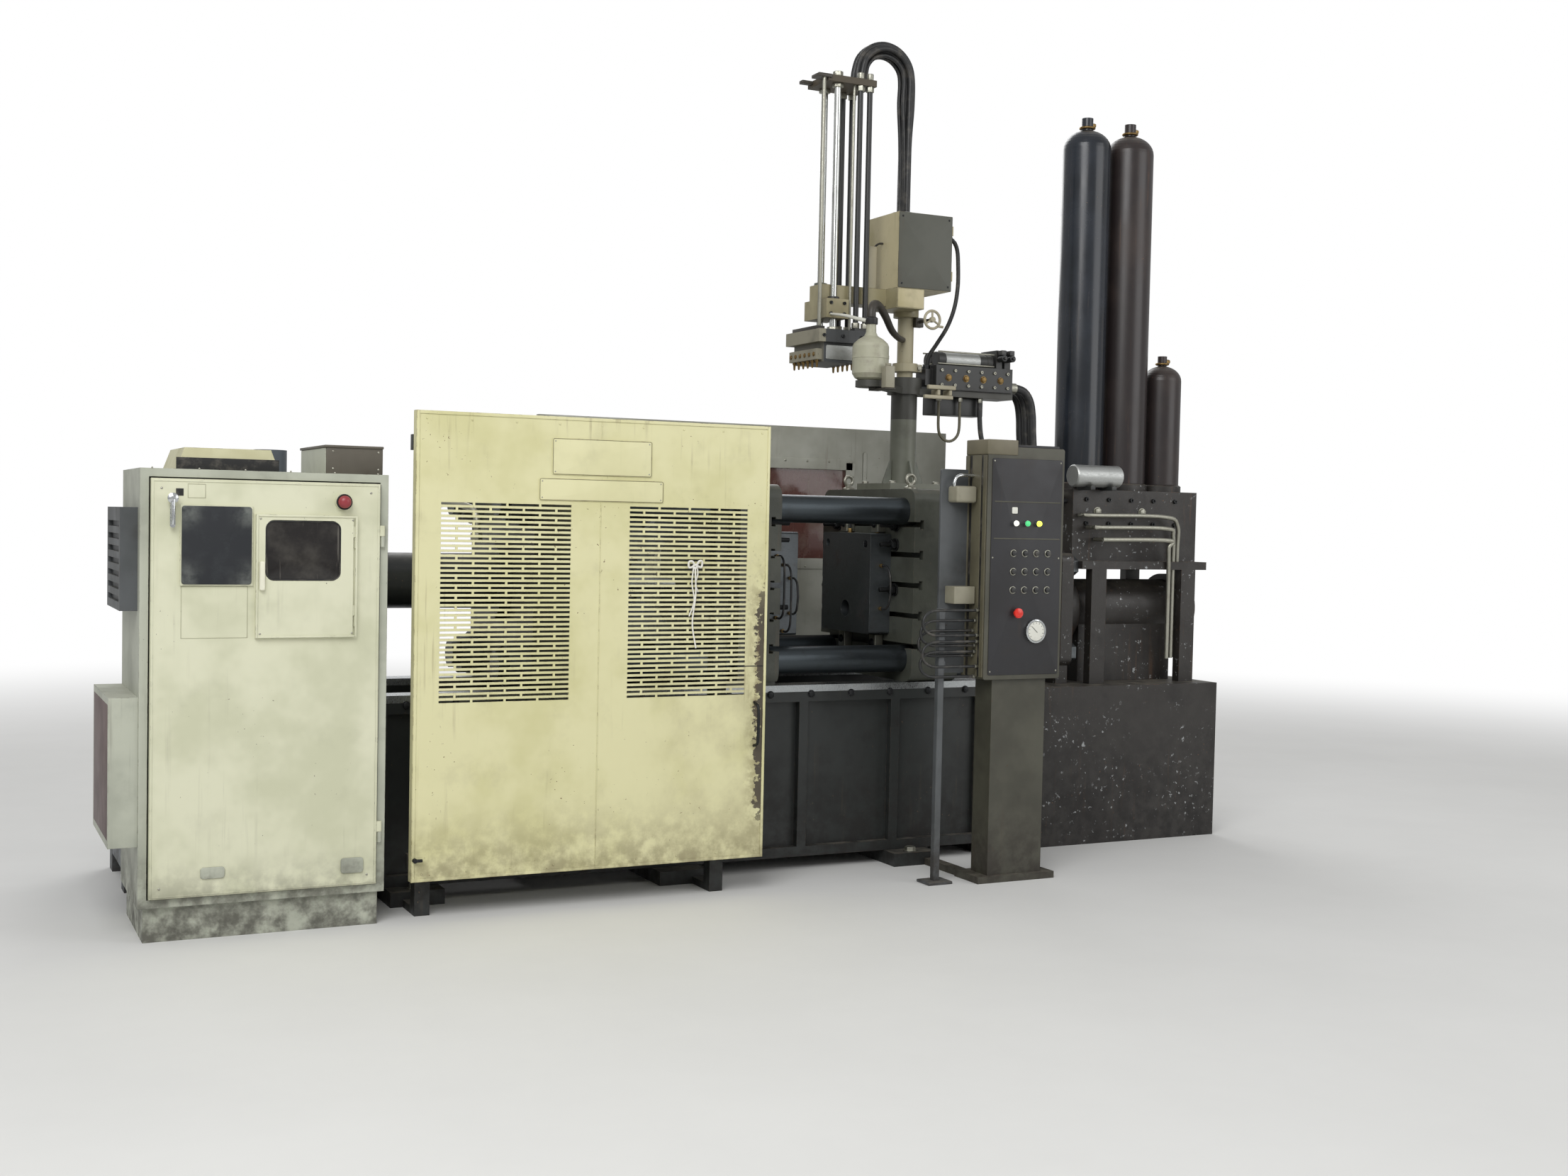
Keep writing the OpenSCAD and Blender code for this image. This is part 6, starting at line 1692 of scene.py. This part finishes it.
    def head(self) -> None:
        """Nozzles along the head's two bars, its screws, clamp and cover plate."""
        outer, z = 0.1225, self.head_low + 0.035
        side = lathe([(0, 0), (0.010, 0), (0.010, 0.004), (0.006, 0.0065), (0, 0.0065)], ORIGIN, RIGHT, 12)
        mirrored = Shape(side.points * np.array([-1.0, 1.0, 1.0]), side.quads[:, ::-1])
        ys = np.linspace(-0.115, 0.115, 6)
        right = side.at(places([self.rod_x + outer - SUNK], ys, [z]))
        left = mirrored.at(places([self.rod_x - outer + SUNK], ys, [z]))
        profile = [(0, 0), (0.009, 0), (0.009, 0.008), (0.006, 0.012), (0.005, 0.03), (0.003, 0.036),
                   (0, 0.036)]
        under = lathe(profile, ORIGIN, DOWN, 12).at(
            places([self.rod_x - 0.105, self.rod_x + 0.105], ys, [self.head_low + 0.0105]))
        piece("spray_nozzles", right + left + under, Finishes.brass, "spray_carriage")
        heads = places([self.rod_x - 0.1, self.rod_x, self.rod_x + 0.1], [-0.17], [self.head_high - 0.03])
        piece("spray_head_screws", bolts(heads, FRONT, 0.016, Head.SOCKET), Finishes.black_screw,
              "spray_carriage")
        plate = block((self.rod_x - 0.078, -0.153, self.head_low + 0.012),
                      (self.rod_x + 0.078, -0.1495, self.head_low + 0.078), 0.0012, 1, 0.006)
        piece("spray_head_cover", plate, Finishes.aluminium, "spray_carriage")
        clamp = block((self.rod_x - 0.118, -0.12, self.head_high),
                      (self.rod_x - 0.07, 0.12, self.head_high + 0.018), 0.003)
        piece("spray_head_clamp", clamp, Finishes.spray_dark, "spray_carriage")

    def valve_box(self) -> None:
        """A dark cover on the operator's side, which is painted shade of that shaded face, with screws and
        hinges, the arch's collar and the cable.
        """
        low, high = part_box("spray_valve_box")
        # The dark lid over the front face is painted shade.
        lid = block((low.x + 0.001, low.y - 0.004, low.z + 0.001),
                    (high.x - 0.001, low.y + SUNK, high.z - 0.001), 0.0012, 1, 0.004)
        piece("valve_box_shade_lid", lid, Finishes.spray_box_painted_shade)
        heads = places([low.x + 0.02, high.x - 0.02], [low.y - 0.004], [low.z + 0.02, high.z - 0.02])
        piece("valve_box_screws", bolts(heads, FRONT, 0.010, Head.PAN), Finishes.black_screw)
        hinges = [disc(0.006, 0.045, (high.x + 0.002, low.y + 0.004, z), UP, 0.001, 12)
                  for z in (high.z - 0.09, low.z + 0.05)]
        piece("valve_box_hinges", gather(hinges), Finishes.spray_box)
        profile = [(0.0, 0.0), (0.068, 0.0), (0.068, 0.004), (0.058, 0.010), (0.054, 0.024), (0.0, 0.024)]
        piece("arch_collar", lathe(profile, (0.16, 0.0, high.z), UP, 40), Finishes.aluminium)
        self.cable(float(high.x))

    def cable(self, wall: float) -> None:
        """The black cable from the valve box's right wall down to the valve stack, with its gland.

        Args:
            wall: where that wall stands in X.
        """
        gland = disc(0.019, 0.018, (wall, -0.11, 2.93), RIGHT, 0.002, 6)
        gland += disc(0.015, 0.03, (wall, -0.11, 2.93), RIGHT, 0.003, 16)
        gland += disc(0.017, 0.02, (0.30, -0.02, 2.31), UP, 0.002, 6)
        piece("cable_glands", gland, Finishes.black_screw)
        route = [(wall + 0.001, -0.11, 2.93), (wall + 0.04, -0.111, 2.922), (wall + 0.062, -0.114, 2.88),
                 (wall + 0.066, -0.12, 2.80), (wall + 0.064, -0.124, 2.70), (wall + 0.05, -0.12, 2.60),
                 (wall + 0.025, -0.10, 2.51), (wall - 0.01, -0.065, 2.43), (wall - 0.034, -0.032, 2.37),
                 (wall - 0.0375, -0.02, 2.3105)]
        hose("valve_box_cable", route, 0.020, Finishes.hose)

    def arm(self) -> None:
        """The guide's wipers and sleeve, bolts, the post's gussets, the filter box and the air hose."""
        profile = [(0.0175, 0.0), (0.03, 0.0), (0.028, 0.012), (0.0175, 0.014), (0.0175, 0.0)]
        rods = (-self.pitch / 2, self.pitch / 2)
        wipers = [lathe(profile, (self.rod_x, y, self.guide_top), UP, 32) for y in rods]
        piece("rod_wipers", gather(wipers), Finishes.seal)
        profile = [(0.0185, 0.0), (0.027, 0.0), (0.027, 0.06), (0.031, 0.064), (0.031, 0.074),
                   (0.0185, 0.078), (0.0185, 0.0)]
        sleeve = lathe(profile, (self.rod_x, rods[1], self.guide_top + 0.0145), UP, 32)
        piece("rod_sleeve", sleeve, Finishes.spray_grey)
        heads = places([-0.28, -0.21], [-0.11], [2.53, 2.58])
        piece("guide_block_bolts", bolts(heads, FRONT, 0.016, Head.SOCKET), Finishes.black_screw)
        base = places([0.06, 0.30], [-0.13, 0.13], [1.75])
        piece("post_base_bolts", bolts(base, UP, 0.028), Finishes.zinc)
        outline = [(0.255, 1.7505), (0.30, 1.7505), (0.30, 1.758), (0.262, 1.86), (0.252, 1.86)]
        gussets = prism(outline, 1, -0.006, 0.006).turned((0.19, 0.0, 1.75), UP, [0.0, 90.0, 180.0, 270.0])
        piece("post_gussets", gussets, Finishes.spray_grey)
        box = block((-0.164, -0.436, 2.172), (-0.116, -0.392, 2.272), 0.005)
        box += disc(0.014, 0.012, (-0.14, -0.414, 2.272))
        piece("filter_box", box, Finishes.filter_cream)
        bracket = block((-0.166, -0.438, 2.1660), (-0.114, -0.28, 2.1718), 0.0015)
        bracket += block((-0.166, -0.34, 2.1716), (-0.114, -0.28, 2.1798), 0.0015)
        piece("filter_bracket", bracket, Finishes.spray_dark)
        clamp = block((0.235, -0.028, 2.291), (0.272, 0.028, 2.329), 0.004)
        piece("post_clamp_lug", clamp, Finishes.spray_pale)
        piece("post_clamp_bolt", bolts([(0.2535, -0.028, 2.31)], FRONT, 0.022), Finishes.zinc)
        plate = block((0.046, -0.1665, 2.579), (0.188, -0.1652, 2.666), 0.0006, 1)
        piece("box_bracket_plate", plate, Finishes.spray_box)
        upright = block((-0.058, -0.057, 2.6702), (-0.012, -0.051, 2.868), 0.0015)
        upright += block((-0.058, -0.0515, 2.6702), (-0.012, -0.01, 2.676), 0.0015)
        piece("arm_upright", upright, Finishes.spray_pale)
        route = [(-0.018, -0.03, 2.6765), (-0.018, -0.03, 2.72), (-0.020, -0.03, 2.78),
                 (-0.018, -0.028, 2.83), (-0.006, -0.024, 2.868), (0.018, -0.02, 2.888),
                 (0.043, -0.018, 2.892)]
        hose("arm_air_hose", route, 0.010, Finishes.hose)

    def stack(self) -> None:
        """The valve stack's screws, plugs, coils, cylinders, rails, sump and its two hoses."""
        left, right, low = self.stack_left, self.stack_right, self.shelf
        face = places(np.linspace(left + 0.03, right - 0.03, 6), [-0.08], [low + 0.025, low + 0.095])
        piece("stack_screws", bolts(face, FRONT, 0.016, Head.SOCKET), Finishes.zinc)
        plugs = places(np.linspace(left + 0.07, right - 0.07, 4), [-0.08], [low + 0.06])
        piece("stack_plugs", bolts(plugs, FRONT, 0.026), Finishes.brass)
        coils = []
        for x in (0.687, 0.735):
            coils += [disc(0.0165, 0.05, (x, -0.07, 2.378), FRONT, 0.003, 24),
                      disc(0.008, 0.062, (x, -0.07, 2.378), FRONT, 0.002, 12),
                      block((x - 0.014, -0.112, 2.393), (x + 0.014, -0.078, 2.418), 0.003)]
        piece("stack_coils", gather(coils), Finishes.black_plastic)
        ties = []
        for y in self.cylinder_y:
            for dy, dz in ((-0.0336, 0.0336), (0.0336, 0.0336), (-0.0336, -0.024), (0.0336, -0.024)):
                across, z = y + dy, 2.362 + dz
                ties.append(rod((left + 0.014, across, z), (right - 0.104, across, z), 0.004, 10))
        piece("stack_cylinder_ties", gather(ties), Finishes.zinc)
        sleeves = [disc(0.0356, 0.20, (left + 0.06, y, 2.359), RIGHT, 0.004, 32) for y in self.cylinder_y]
        piece("stack_cylinder_sleeves", gather(sleeves), Finishes.aluminium)
        rails = block((0.245, -0.136, 2.206), (0.40, -0.116, 2.226), 0.004)
        rails += block((0.225, -0.136, 2.160), (0.385, -0.116, 2.178), 0.004)
        rails += block((0.366, -0.13, 2.1785), (0.382, -0.068, 2.2065), 0.003)
        rails += block((0.300, -0.13, 2.1785), (0.316, -0.068, 2.2065), 0.003)
        piece("stack_rails", rails, Finishes.spray_pale)
        sump = block((0.335, -0.028, 2.092), (0.625, 0.068, 2.1795), 0.004)
        sump += block((left + 0.01, -0.083, low + 0.002), (right - 0.01, -0.0805, low + 0.010), 0.0008)
        piece("stack_sump", sump, Finishes.stack_black)
        unions = [disc(0.013, 0.022, (x, self.sump_y, 2.1797), DOWN, 0.002, 6) for x in self.union_x]
        piece("sump_unions", gather(unions), Finishes.zinc)
        loop = ((0.355, 2.158), (0.355, 2.10), (0.355, 2.04), (0.362, 2.00), (0.385, 1.973), (0.415, 1.964),
                (0.445, 1.973), (0.468, 2.00), (0.475, 2.04), (0.475, 2.10), (0.475, 2.158))
        hose("sump_loop", [(x, self.sump_y, z) for x, z in loop], 0.014, Finishes.olive_hose)
        drain = [(0.590, -0.052, 2.158), (0.591, -0.053, 2.09), (0.600, -0.058, 1.99), (0.635, -0.070, 1.89),
                 (0.71, -0.088, 1.80), (0.82, -0.10, 1.735), (0.93, -0.104, 1.70), (1.03, -0.105, 1.69),
                 (1.0877, -0.105, 1.69)]
        hose("sump_drain", drain, 0.024, Finishes.hose)

    def handwheel(self) -> None:
        """The small handwheel below the valve box: a rim, a hub, three spokes and a crank pin, on a stem."""
        x, y, z = at = self.wheel_at
        wheel = ring(0.042, 0.0065, at, FRONT) + disc(0.013, 0.024, (x, y + 0.012, z), FRONT)
        for angle in np.radians([90.0, 210.0, 330.0]):
            wheel += rod(at, (x + 0.040 * np.cos(angle), y, z + 0.040 * np.sin(angle)), 0.005, 10)
        wheel += rod((x + 0.03, y - 0.004, z - 0.03), (x + 0.05, y - 0.02, z - 0.034), 0.006, 12)
        piece("handwheel", wheel, Finishes.spray_pale)
        stem = rod((x, y + 0.01, z), (x, -0.03, z), 0.008, 14)
        stem += block((x - 0.024, -0.06, z - 0.026), (x + 0.02, -0.024, z + 0.019), 0.004)
        piece("handwheel_stem", stem, Finishes.spray_dark)

    def lubricant(self) -> None:
        """The lubricant bottle's cap and band, its dark elbow toward the post and the long thin feed pipe."""
        x, y = self.bottle
        neck = self.shelf + 0.27
        profile = [(0, 0), (0.029, 0), (0.030, 0.004), (0.030, 0.028), (0.022, 0.034), (0, 0.034)]
        piece("lubricant_cap", lathe(profile, (x, y, neck - 0.012)), Finishes.seal)
        route = smooth_path([(x, y, neck + 0.02), (x + 0.002, y + 0.002, neck + 0.05),
                             (x + 0.022, y + 0.018, neck + 0.082), (x + 0.07, y + 0.055, neck + 0.082),
                             (x + 0.13, y + 0.10, neck + 0.045), (x + 0.20, y + 0.16, neck - 0.01),
                             (x + 0.27, y + 0.22, neck - 0.035), (x + 0.325, y + 0.266, neck - 0.04)], 50)
        elbow = tube(route, np.linspace(0.021, 0.014, len(route)), 14)
        piece("lubricant_elbow", elbow, Finishes.spray_dark)
        profile = [(0.0842, 0.0), (0.0856, 0.001), (0.0856, 0.015), (0.0842, 0.016), (0.0842, 0.0)]
        band = lathe(profile, (x, y, self.shelf + 0.10), UP, 48)
        piece("lubricant_band", band, Finishes.bottle_plastic)
        route = smooth_path([(x - 0.026, y + 0.002, neck + 0.004), (x - 0.05, y + 0.03, neck + 0.012),
                             (-0.25, -0.20, neck + 0.032), (-0.28, -0.125, neck + 0.045),
                             (-0.282, -0.1095, neck + 0.046)], 40)
        feed = tube(route, np.linspace(0.010, 0.005, len(route)), 12)
        piece("lubricant_feed_pipe", feed, Finishes.white_pipe)

    def build(self) -> None:
        """Dresses the spray unit and adds its pieces."""
        dress(["spray_post"], Finishes.post)
        dress(["spray_guide"], Finishes.arm_tan)
        dress(["spray_carriage"], Finishes.carriage)
        dress(["spray_valve_box"], Finishes.spray_box)
        dress(["spray_valve_stack"], Finishes.stack_black)
        dress(["lubricant_bottle"], Finishes.bottle_plastic)
        self.arch_hoses()
        self.supply_hoses()
        self.lift()
        self.head()
        self.valve_box()
        self.arm()
        self.stack()
        self.handwheel()
        self.lubricant()


@dataclass
class OperatorPanel:
    """The operator panel: its cap, side channels, dark face, buttons, gauge, side boxes and hose loops."""

    front: float = -0.98
    back: float = -0.81
    left: float = 0.04
    right: float = 0.44
    low: float = 0.89
    high: float = 1.90
    lamp_x: tuple[float, ...] = (0.18, 0.24, 0.30)
    lamp_z: float = 1.57
    button_x: tuple[float, ...] = (0.18, 0.24, 0.30, 0.36)
    button_z: tuple[float, ...] = (1.28, 1.36, 1.44)
    strip_z: tuple[float, float] = (1.66, 1.50)
    display: Box = (0.166, 0.194, 1.612, 1.640)
    stop_at: tuple[float, float] = (0.2, 1.18)
    gauge_at: tuple[float, float] = (0.3, 1.1)
    hose_loop: Flat = (
        (0.0345, 0.0), (-0.05, 0.0), (-0.134, 0.0), (-0.165, 0.0), (-0.200, 0.004), (-0.232, 0.022),
        (-0.245, 0.054), (-0.232, 0.086), (-0.200, 0.104), (-0.165, 0.108), (-0.134, 0.108), (-0.05, 0.108),
        (0.0345, 0.108))

    def casing(self) -> None:
        """The tan cap over the left side, the channels down that side and the sunk dark face."""
        left, right, front, back = self.left, self.right, self.front, self.back
        low, high = self.low, self.high
        cap = block((left - 0.004, front - 0.004, high - 0.036), (left + 0.155, back + 0.004, high + 0.03),
                    0.005, 2, 0.010)
        # The cap's darkened tan is painted shade.
        piece("panel_cap", cap, Finishes.panel_tan_painted_shade)
        rear_cap = block((left + 0.157, front + 0.02, high - 0.002),
                         (right - 0.01, back - 0.01, high + 0.012), 0.004, 2, 0.010)
        piece("panel_rear_cap", rear_cap, Finishes.panel_dark)
        ribs, gaps = [], []
        for y0, y1, out in ((front + 0.004, front + 0.030, 0.006), (front + 0.048, front + 0.118, 0.005),
                            (back - 0.030, back - 0.004, 0.008)):
            ribs.append(block((left - out, y0, low + 0.01), (left + SUNK, y1, high - 0.038), 0.002, 0, 0.004))
        piece("panel_side_channels", gather(ribs), Finishes.panel_olive)
        for y0, y1 in ((front + 0.031, front + 0.047), (front + 0.119, back - 0.031)):
            gaps.append(block((left - 0.0022, y0, low + 0.012), (left + SUNK, y1, high - 0.04), 0.001, 0))
        piece("panel_side_gaps", gather(gaps), Finishes.seal)
        face = block((left + 0.022, front - 0.003, low + 0.02), (right - 0.012, front + 0.001, high - 0.05),
                     0.0012, 1, 0.008)
        piece("panel_face", face, Finishes.panel_dark)
        strips = [block((left + 0.035, front - 0.0045, z), (right - 0.02, front - 0.0025, z + 0.006),
                        0.0008, 1) for z in self.strip_z]
        piece("panel_face_strips", gather(strips), Finishes.panel)

    def controls(self) -> None:
        """Buttons, coloured lamp caps, a square display, the red stop button and the face's screws."""
        y = self.front - 0.003
        caps = (Finishes.lamp_white, Finishes.lamp_green, Finishes.lamp_yellow)
        profile = [(0, 0), (0.0125, 0), (0.0125, 0.004), (0.010, 0.01), (0.005, 0.013), (0, 0.0135)]
        for i, (x, finish) in enumerate(zip(self.lamp_x, caps)):
            dome = lathe(profile, (x, self.front - 0.0175, self.lamp_z), FRONT, 24)
            piece(f"panel_lamp_cap_{i + 1}", dome, finish)
        x0, x1, z0, z1 = self.display
        square = block((x0, y - 0.004, z0), (x1, y + 0.001, z1), 0.0015, 1, 0.004)
        piece("panel_display", square, Finishes.dial)
        spots = places(self.button_x, [y], self.button_z)
        piece("panel_button_bezels", ring(0.014, 0.003, ORIGIN, FRONT, 24).at(spots), Finishes.zinc)
        key = disc(0.0115, 0.012, (0, 0.001, 0), FRONT, 0.002, 20)
        piece("panel_buttons", key.at(spots), Finishes.black_plastic)
        profile = [(0, 0), (0.012, 0), (0.012, 0.012), (0.022, 0.018), (0.021, 0.026), (0.01, 0.03),
                   (0, 0.03)]
        # The stop button's glow is painted light.
        stop = lathe(profile, (self.stop_at[0], y, self.stop_at[1]), FRONT, 28)
        piece("panel_stop_button", stop, Finishes.red_button_painted_glow)
        self.gauge((self.gauge_at[0], y, self.gauge_at[1]))
        heads = places([self.left + 0.032, self.right - 0.022], [y],
                       [self.low + 0.035, 1.42, self.high - 0.062])
        piece("panel_face_screws", bolts(heads, FRONT, 0.008, Head.PAN), Finishes.zinc)

    def gauge(self, at: Vec) -> None:
        """The round gauge: a chromed case, a pale dial, eleven ticks and a needle.

        Args:
            at: where the middle of its back meets the panel's face.
        """
        x, y, z = at
        profile = [(0, 0), (0.05, 0), (0.052, 0.004), (0.052, 0.014), (0.046, 0.017), (0.043, 0.012),
                   (0, 0.012)]
        piece("panel_gauge_case", lathe(profile, at, FRONT, 40), Finishes.chrome)
        card = disc(0.042, 0.0015, (x, y - 0.0122, z), FRONT, 0.0005, 40)
        piece("panel_gauge_dial", card, Finishes.dial)
        tick = block((-0.0008, y - 0.0145, 0.033), (0.0008, y - 0.0136, 0.039), 0.0003, 1)
        ticks = tick.at([(x, 0.0, z)]).turned(at, REAR, np.linspace(-130.0, 130.0, 11))
        needle = block((-0.001, y - 0.0152, -0.008), (0.001, y - 0.0143, 0.032), 0.0003, 1)
        needle = needle.at([(x, 0.0, z)]).turned(at, REAR, -48.0)
        piece("panel_gauge_marks", ticks + needle, Finishes.seal)

    def side(self) -> None:
        """Beside the panel: a back plate, two pale boxes, a bent handle and the bar with hose loops."""
        x = self.left - 0.0085
        plate = block((x - 0.135, self.back - 0.026, self.low + 0.02),
                      (x + 0.008, self.back - 0.010, self.high - 0.10), 0.003, 1, 0.01)
        piece("panel_back_plate", plate, Finishes.grey_box)
        y0, y1 = self.back - 0.105, self.back - 0.0255
        boxes = block((x - 0.104, y0, 1.655), (x, y1, 1.727), 0.012, 2)
        boxes += block((x - 0.106, y0, 1.216), (x, y1, 1.292), 0.004, 2)
        piece("panel_side_boxes", boxes, Finishes.filter_cream)
        bend = ((-0.094, 1.723), (-0.094, 1.743), (-0.082, 1.765), (-0.055, 1.774), (-0.026, 1.774),
                (-0.006, 1.774), (0.008, 1.774))
        handle = smooth_path([(x + dx, (y0 + y1) / 2, z) for dx, z in bend], 40)
        piece("panel_side_handle", tube(handle, 0.008, 14), Finishes.chrome)
        bar = block((-0.135, -0.897, 0.012), (-0.105, -0.867, 1.195), 0.003)
        bar += block((-0.18, -0.935, 0.0), (-0.06, -0.83, 0.0125), 0.003)
        bar += block((-0.106, -0.892, 0.93), (x - 0.128, -0.835, 0.97), 0.003)
        piece("hose_bar", bar, Finishes.grey_box)
        fittings = []
        for i in range(5):
            y, z = -0.9405 + 0.017 * (i % 3), 1.19 - 0.045 * i
            loop = [(along, y, z - fall) for along, fall in self.hose_loop]
            hose(f"panel_hose_loop_{i + 1}", loop, 0.0125, Finishes.hose, stiffness="stiff")
            fittings += [disc(0.009, 0.014, loop[end], LEFT, 0.001, 6) for end in (0, -1)]
        piece("hose_loop_fittings", gather(fittings), Finishes.zinc)

    def build(self) -> None:
        """Dresses the panel and adds its pieces."""
        dress(["operator_panel", "panel_stand"], Finishes.panel)
        dress(["panel_lamps"], Finishes.chrome)
        self.casing()
        self.controls()
        self.side()


@dataclass
class Bed:
    """The bed with its anchor nuts and the bolts along its front beam."""

    anchor_x: tuple[float, float] = (-2.3, 0.0)
    anchor_y: float = 0.47
    anchor_z: float = 0.06
    bolt_z: float = 0.79
    bolt_count: int = 14

    def build(self) -> None:
        """Dresses the bed and adds its nuts and bolts."""
        dress(["bed_beam_front", "bed_beam_rear", "bed_cross_members", "bed_feet", "casting_chute"],
              Finishes.dark)
        anchors = places(self.anchor_x, [-self.anchor_y, self.anchor_y], [self.anchor_z])
        piece("anchor_nuts", bolts(anchors, UP, 0.046), Finishes.zinc)
        low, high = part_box("bed_beam_front")
        rows = places(np.linspace(low.x + 0.12, high.x - 0.12, self.bolt_count), [low.y], [self.bolt_z])
        piece("bed_beam_bolts", bolts(rows, FRONT, 0.026), Finishes.black_screw)


@dataclass
class Studio:
    """The pale floor, the soft lamps and the camera at the photograph's angle."""

    eye: Vec = (-4.10, -7.28, 1.558)
    yaw: float = 26.7
    pitch: float = 2.2
    roll: float = 1.2
    focal_px: float = 2450.0
    width_px: float = 2212.0
    sensor_mm: float = 36.0
    far_clip: float = 200.0
    lamp_size: float = 5.0
    sky: float = 0.5
    floor_half: float = 30.0
    floor_steps: int = 13
    # Each lamp's name, place, aim and power in watts
    lamps: tuple[tuple[str, Vec, Vec, float], ...] = (
        ("key_lamp", (-5.5, -6.0, 6.5), (-0.8, 0.0, 1.2), 430.0),
        ("fill_lamp", (5.0, -6.5, 4.0), (-0.2, 0.0, 1.4), 150.0),
        ("back_lamp", (1.5, 6.5, 6.0), (-0.8, 0.0, 1.5), 220.0))

    def camera(self) -> None:
        """Sets the camera: turned right by yaw, down by pitch, then rolled."""
        data = bpy.data.cameras.new("photo_camera")
        data.sensor_width = self.sensor_mm
        data.lens = self.sensor_mm * self.focal_px / self.width_px
        data.clip_end = self.far_clip
        made = bpy.data.objects.new("photo_camera", data)
        bpy.context.scene.collection.objects.link(made)
        level = Matrix.Rotation(np.radians(90.0 - self.pitch), 4, "X")
        turn = Matrix.Rotation(np.radians(-self.yaw), 4, "Z") @ level @ Matrix.Rotation(
            np.radians(self.roll), 4, "Z")
        made.matrix_world = Matrix.Translation(self.eye) @ turn
        bpy.context.scene.camera = made

    def lamp(self, name: str, at: Vec, aim: Vec, watts: float) -> None:
        """Adds one soft square lamp that looks at a point.

        Args:
            name: the lamp's name.
            at: where it hangs.
            aim: the point it looks at.
            watts: its power.
        """
        data = bpy.data.lights.new(name, "AREA")
        data.shape, data.size, data.energy = "SQUARE", self.lamp_size, watts
        made = bpy.data.objects.new(name, data)
        bpy.context.scene.collection.objects.link(made)
        rows = frame_of(np.asarray(at, float) - np.asarray(aim, float))
        made.matrix_world = Matrix.Translation(at) @ Matrix(rows.T.tolist()).to_4x4()

    def background(self) -> None:
        """An even sky: a plain level on the machine, pure white to the camera and through glass."""
        world = bpy.data.worlds.new("sky")
        bpy.context.scene.world = world
        world.use_nodes = True
        tree = world.node_tree
        tree.nodes.clear()
        ray = add_node(tree, "ShaderNodeLightPath").outputs
        seen = add_node(tree, "ShaderNodeMath", {0: ray["Is Camera Ray"], 1: ray["Is Transmission Ray"]},
                        operation="MAXIMUM")
        level = add_node(tree, "ShaderNodeMapRange",
                         {"Value": seen.outputs[0], "To Min": self.sky, "To Max": 1.0})
        back = add_node(tree, "ShaderNodeBackground",
                        {"Color": linear("#ffffff"), "Strength": level.outputs[0]})
        add_node(tree, "ShaderNodeOutputWorld", {"Surface": back.outputs[0]})

    def floor(self) -> None:
        """A wide pale floor with a faint mottling; it isn't part of the machine."""
        u = np.linspace(-self.floor_half, self.floor_half, self.floor_steps)
        x, y = np.meshgrid(u, u, indexing="ij")
        grid = np.stack([x, y, np.zeros_like(x)], -1)
        made = piece("floor", Shape.net(grid, False), Finishes.floor, "")

    def build(self) -> None:
        """Puts up the studio."""
        self.camera()
        for row in self.lamps:
            self.lamp(*row)
        self.background()
        self.floor()
        bpy.context.scene.view_settings.view_transform = "Standard"


def main() -> None:
    logging.basicConfig(level=logging.INFO, format="%(name)s: %(message)s")
    Studio().build()
    parts = (Bed(), ClampUnit(), DieSet(), SafetyDoor(), RearGuard(), Cabinet(), PowerUnit(), InjectionUnit(),
             SprayUnit(), OperatorPanel())
    for part in parts:
        part.build()
        LOG.info("%s done", type(part).__name__)


if __name__ == "__main__":
    main()
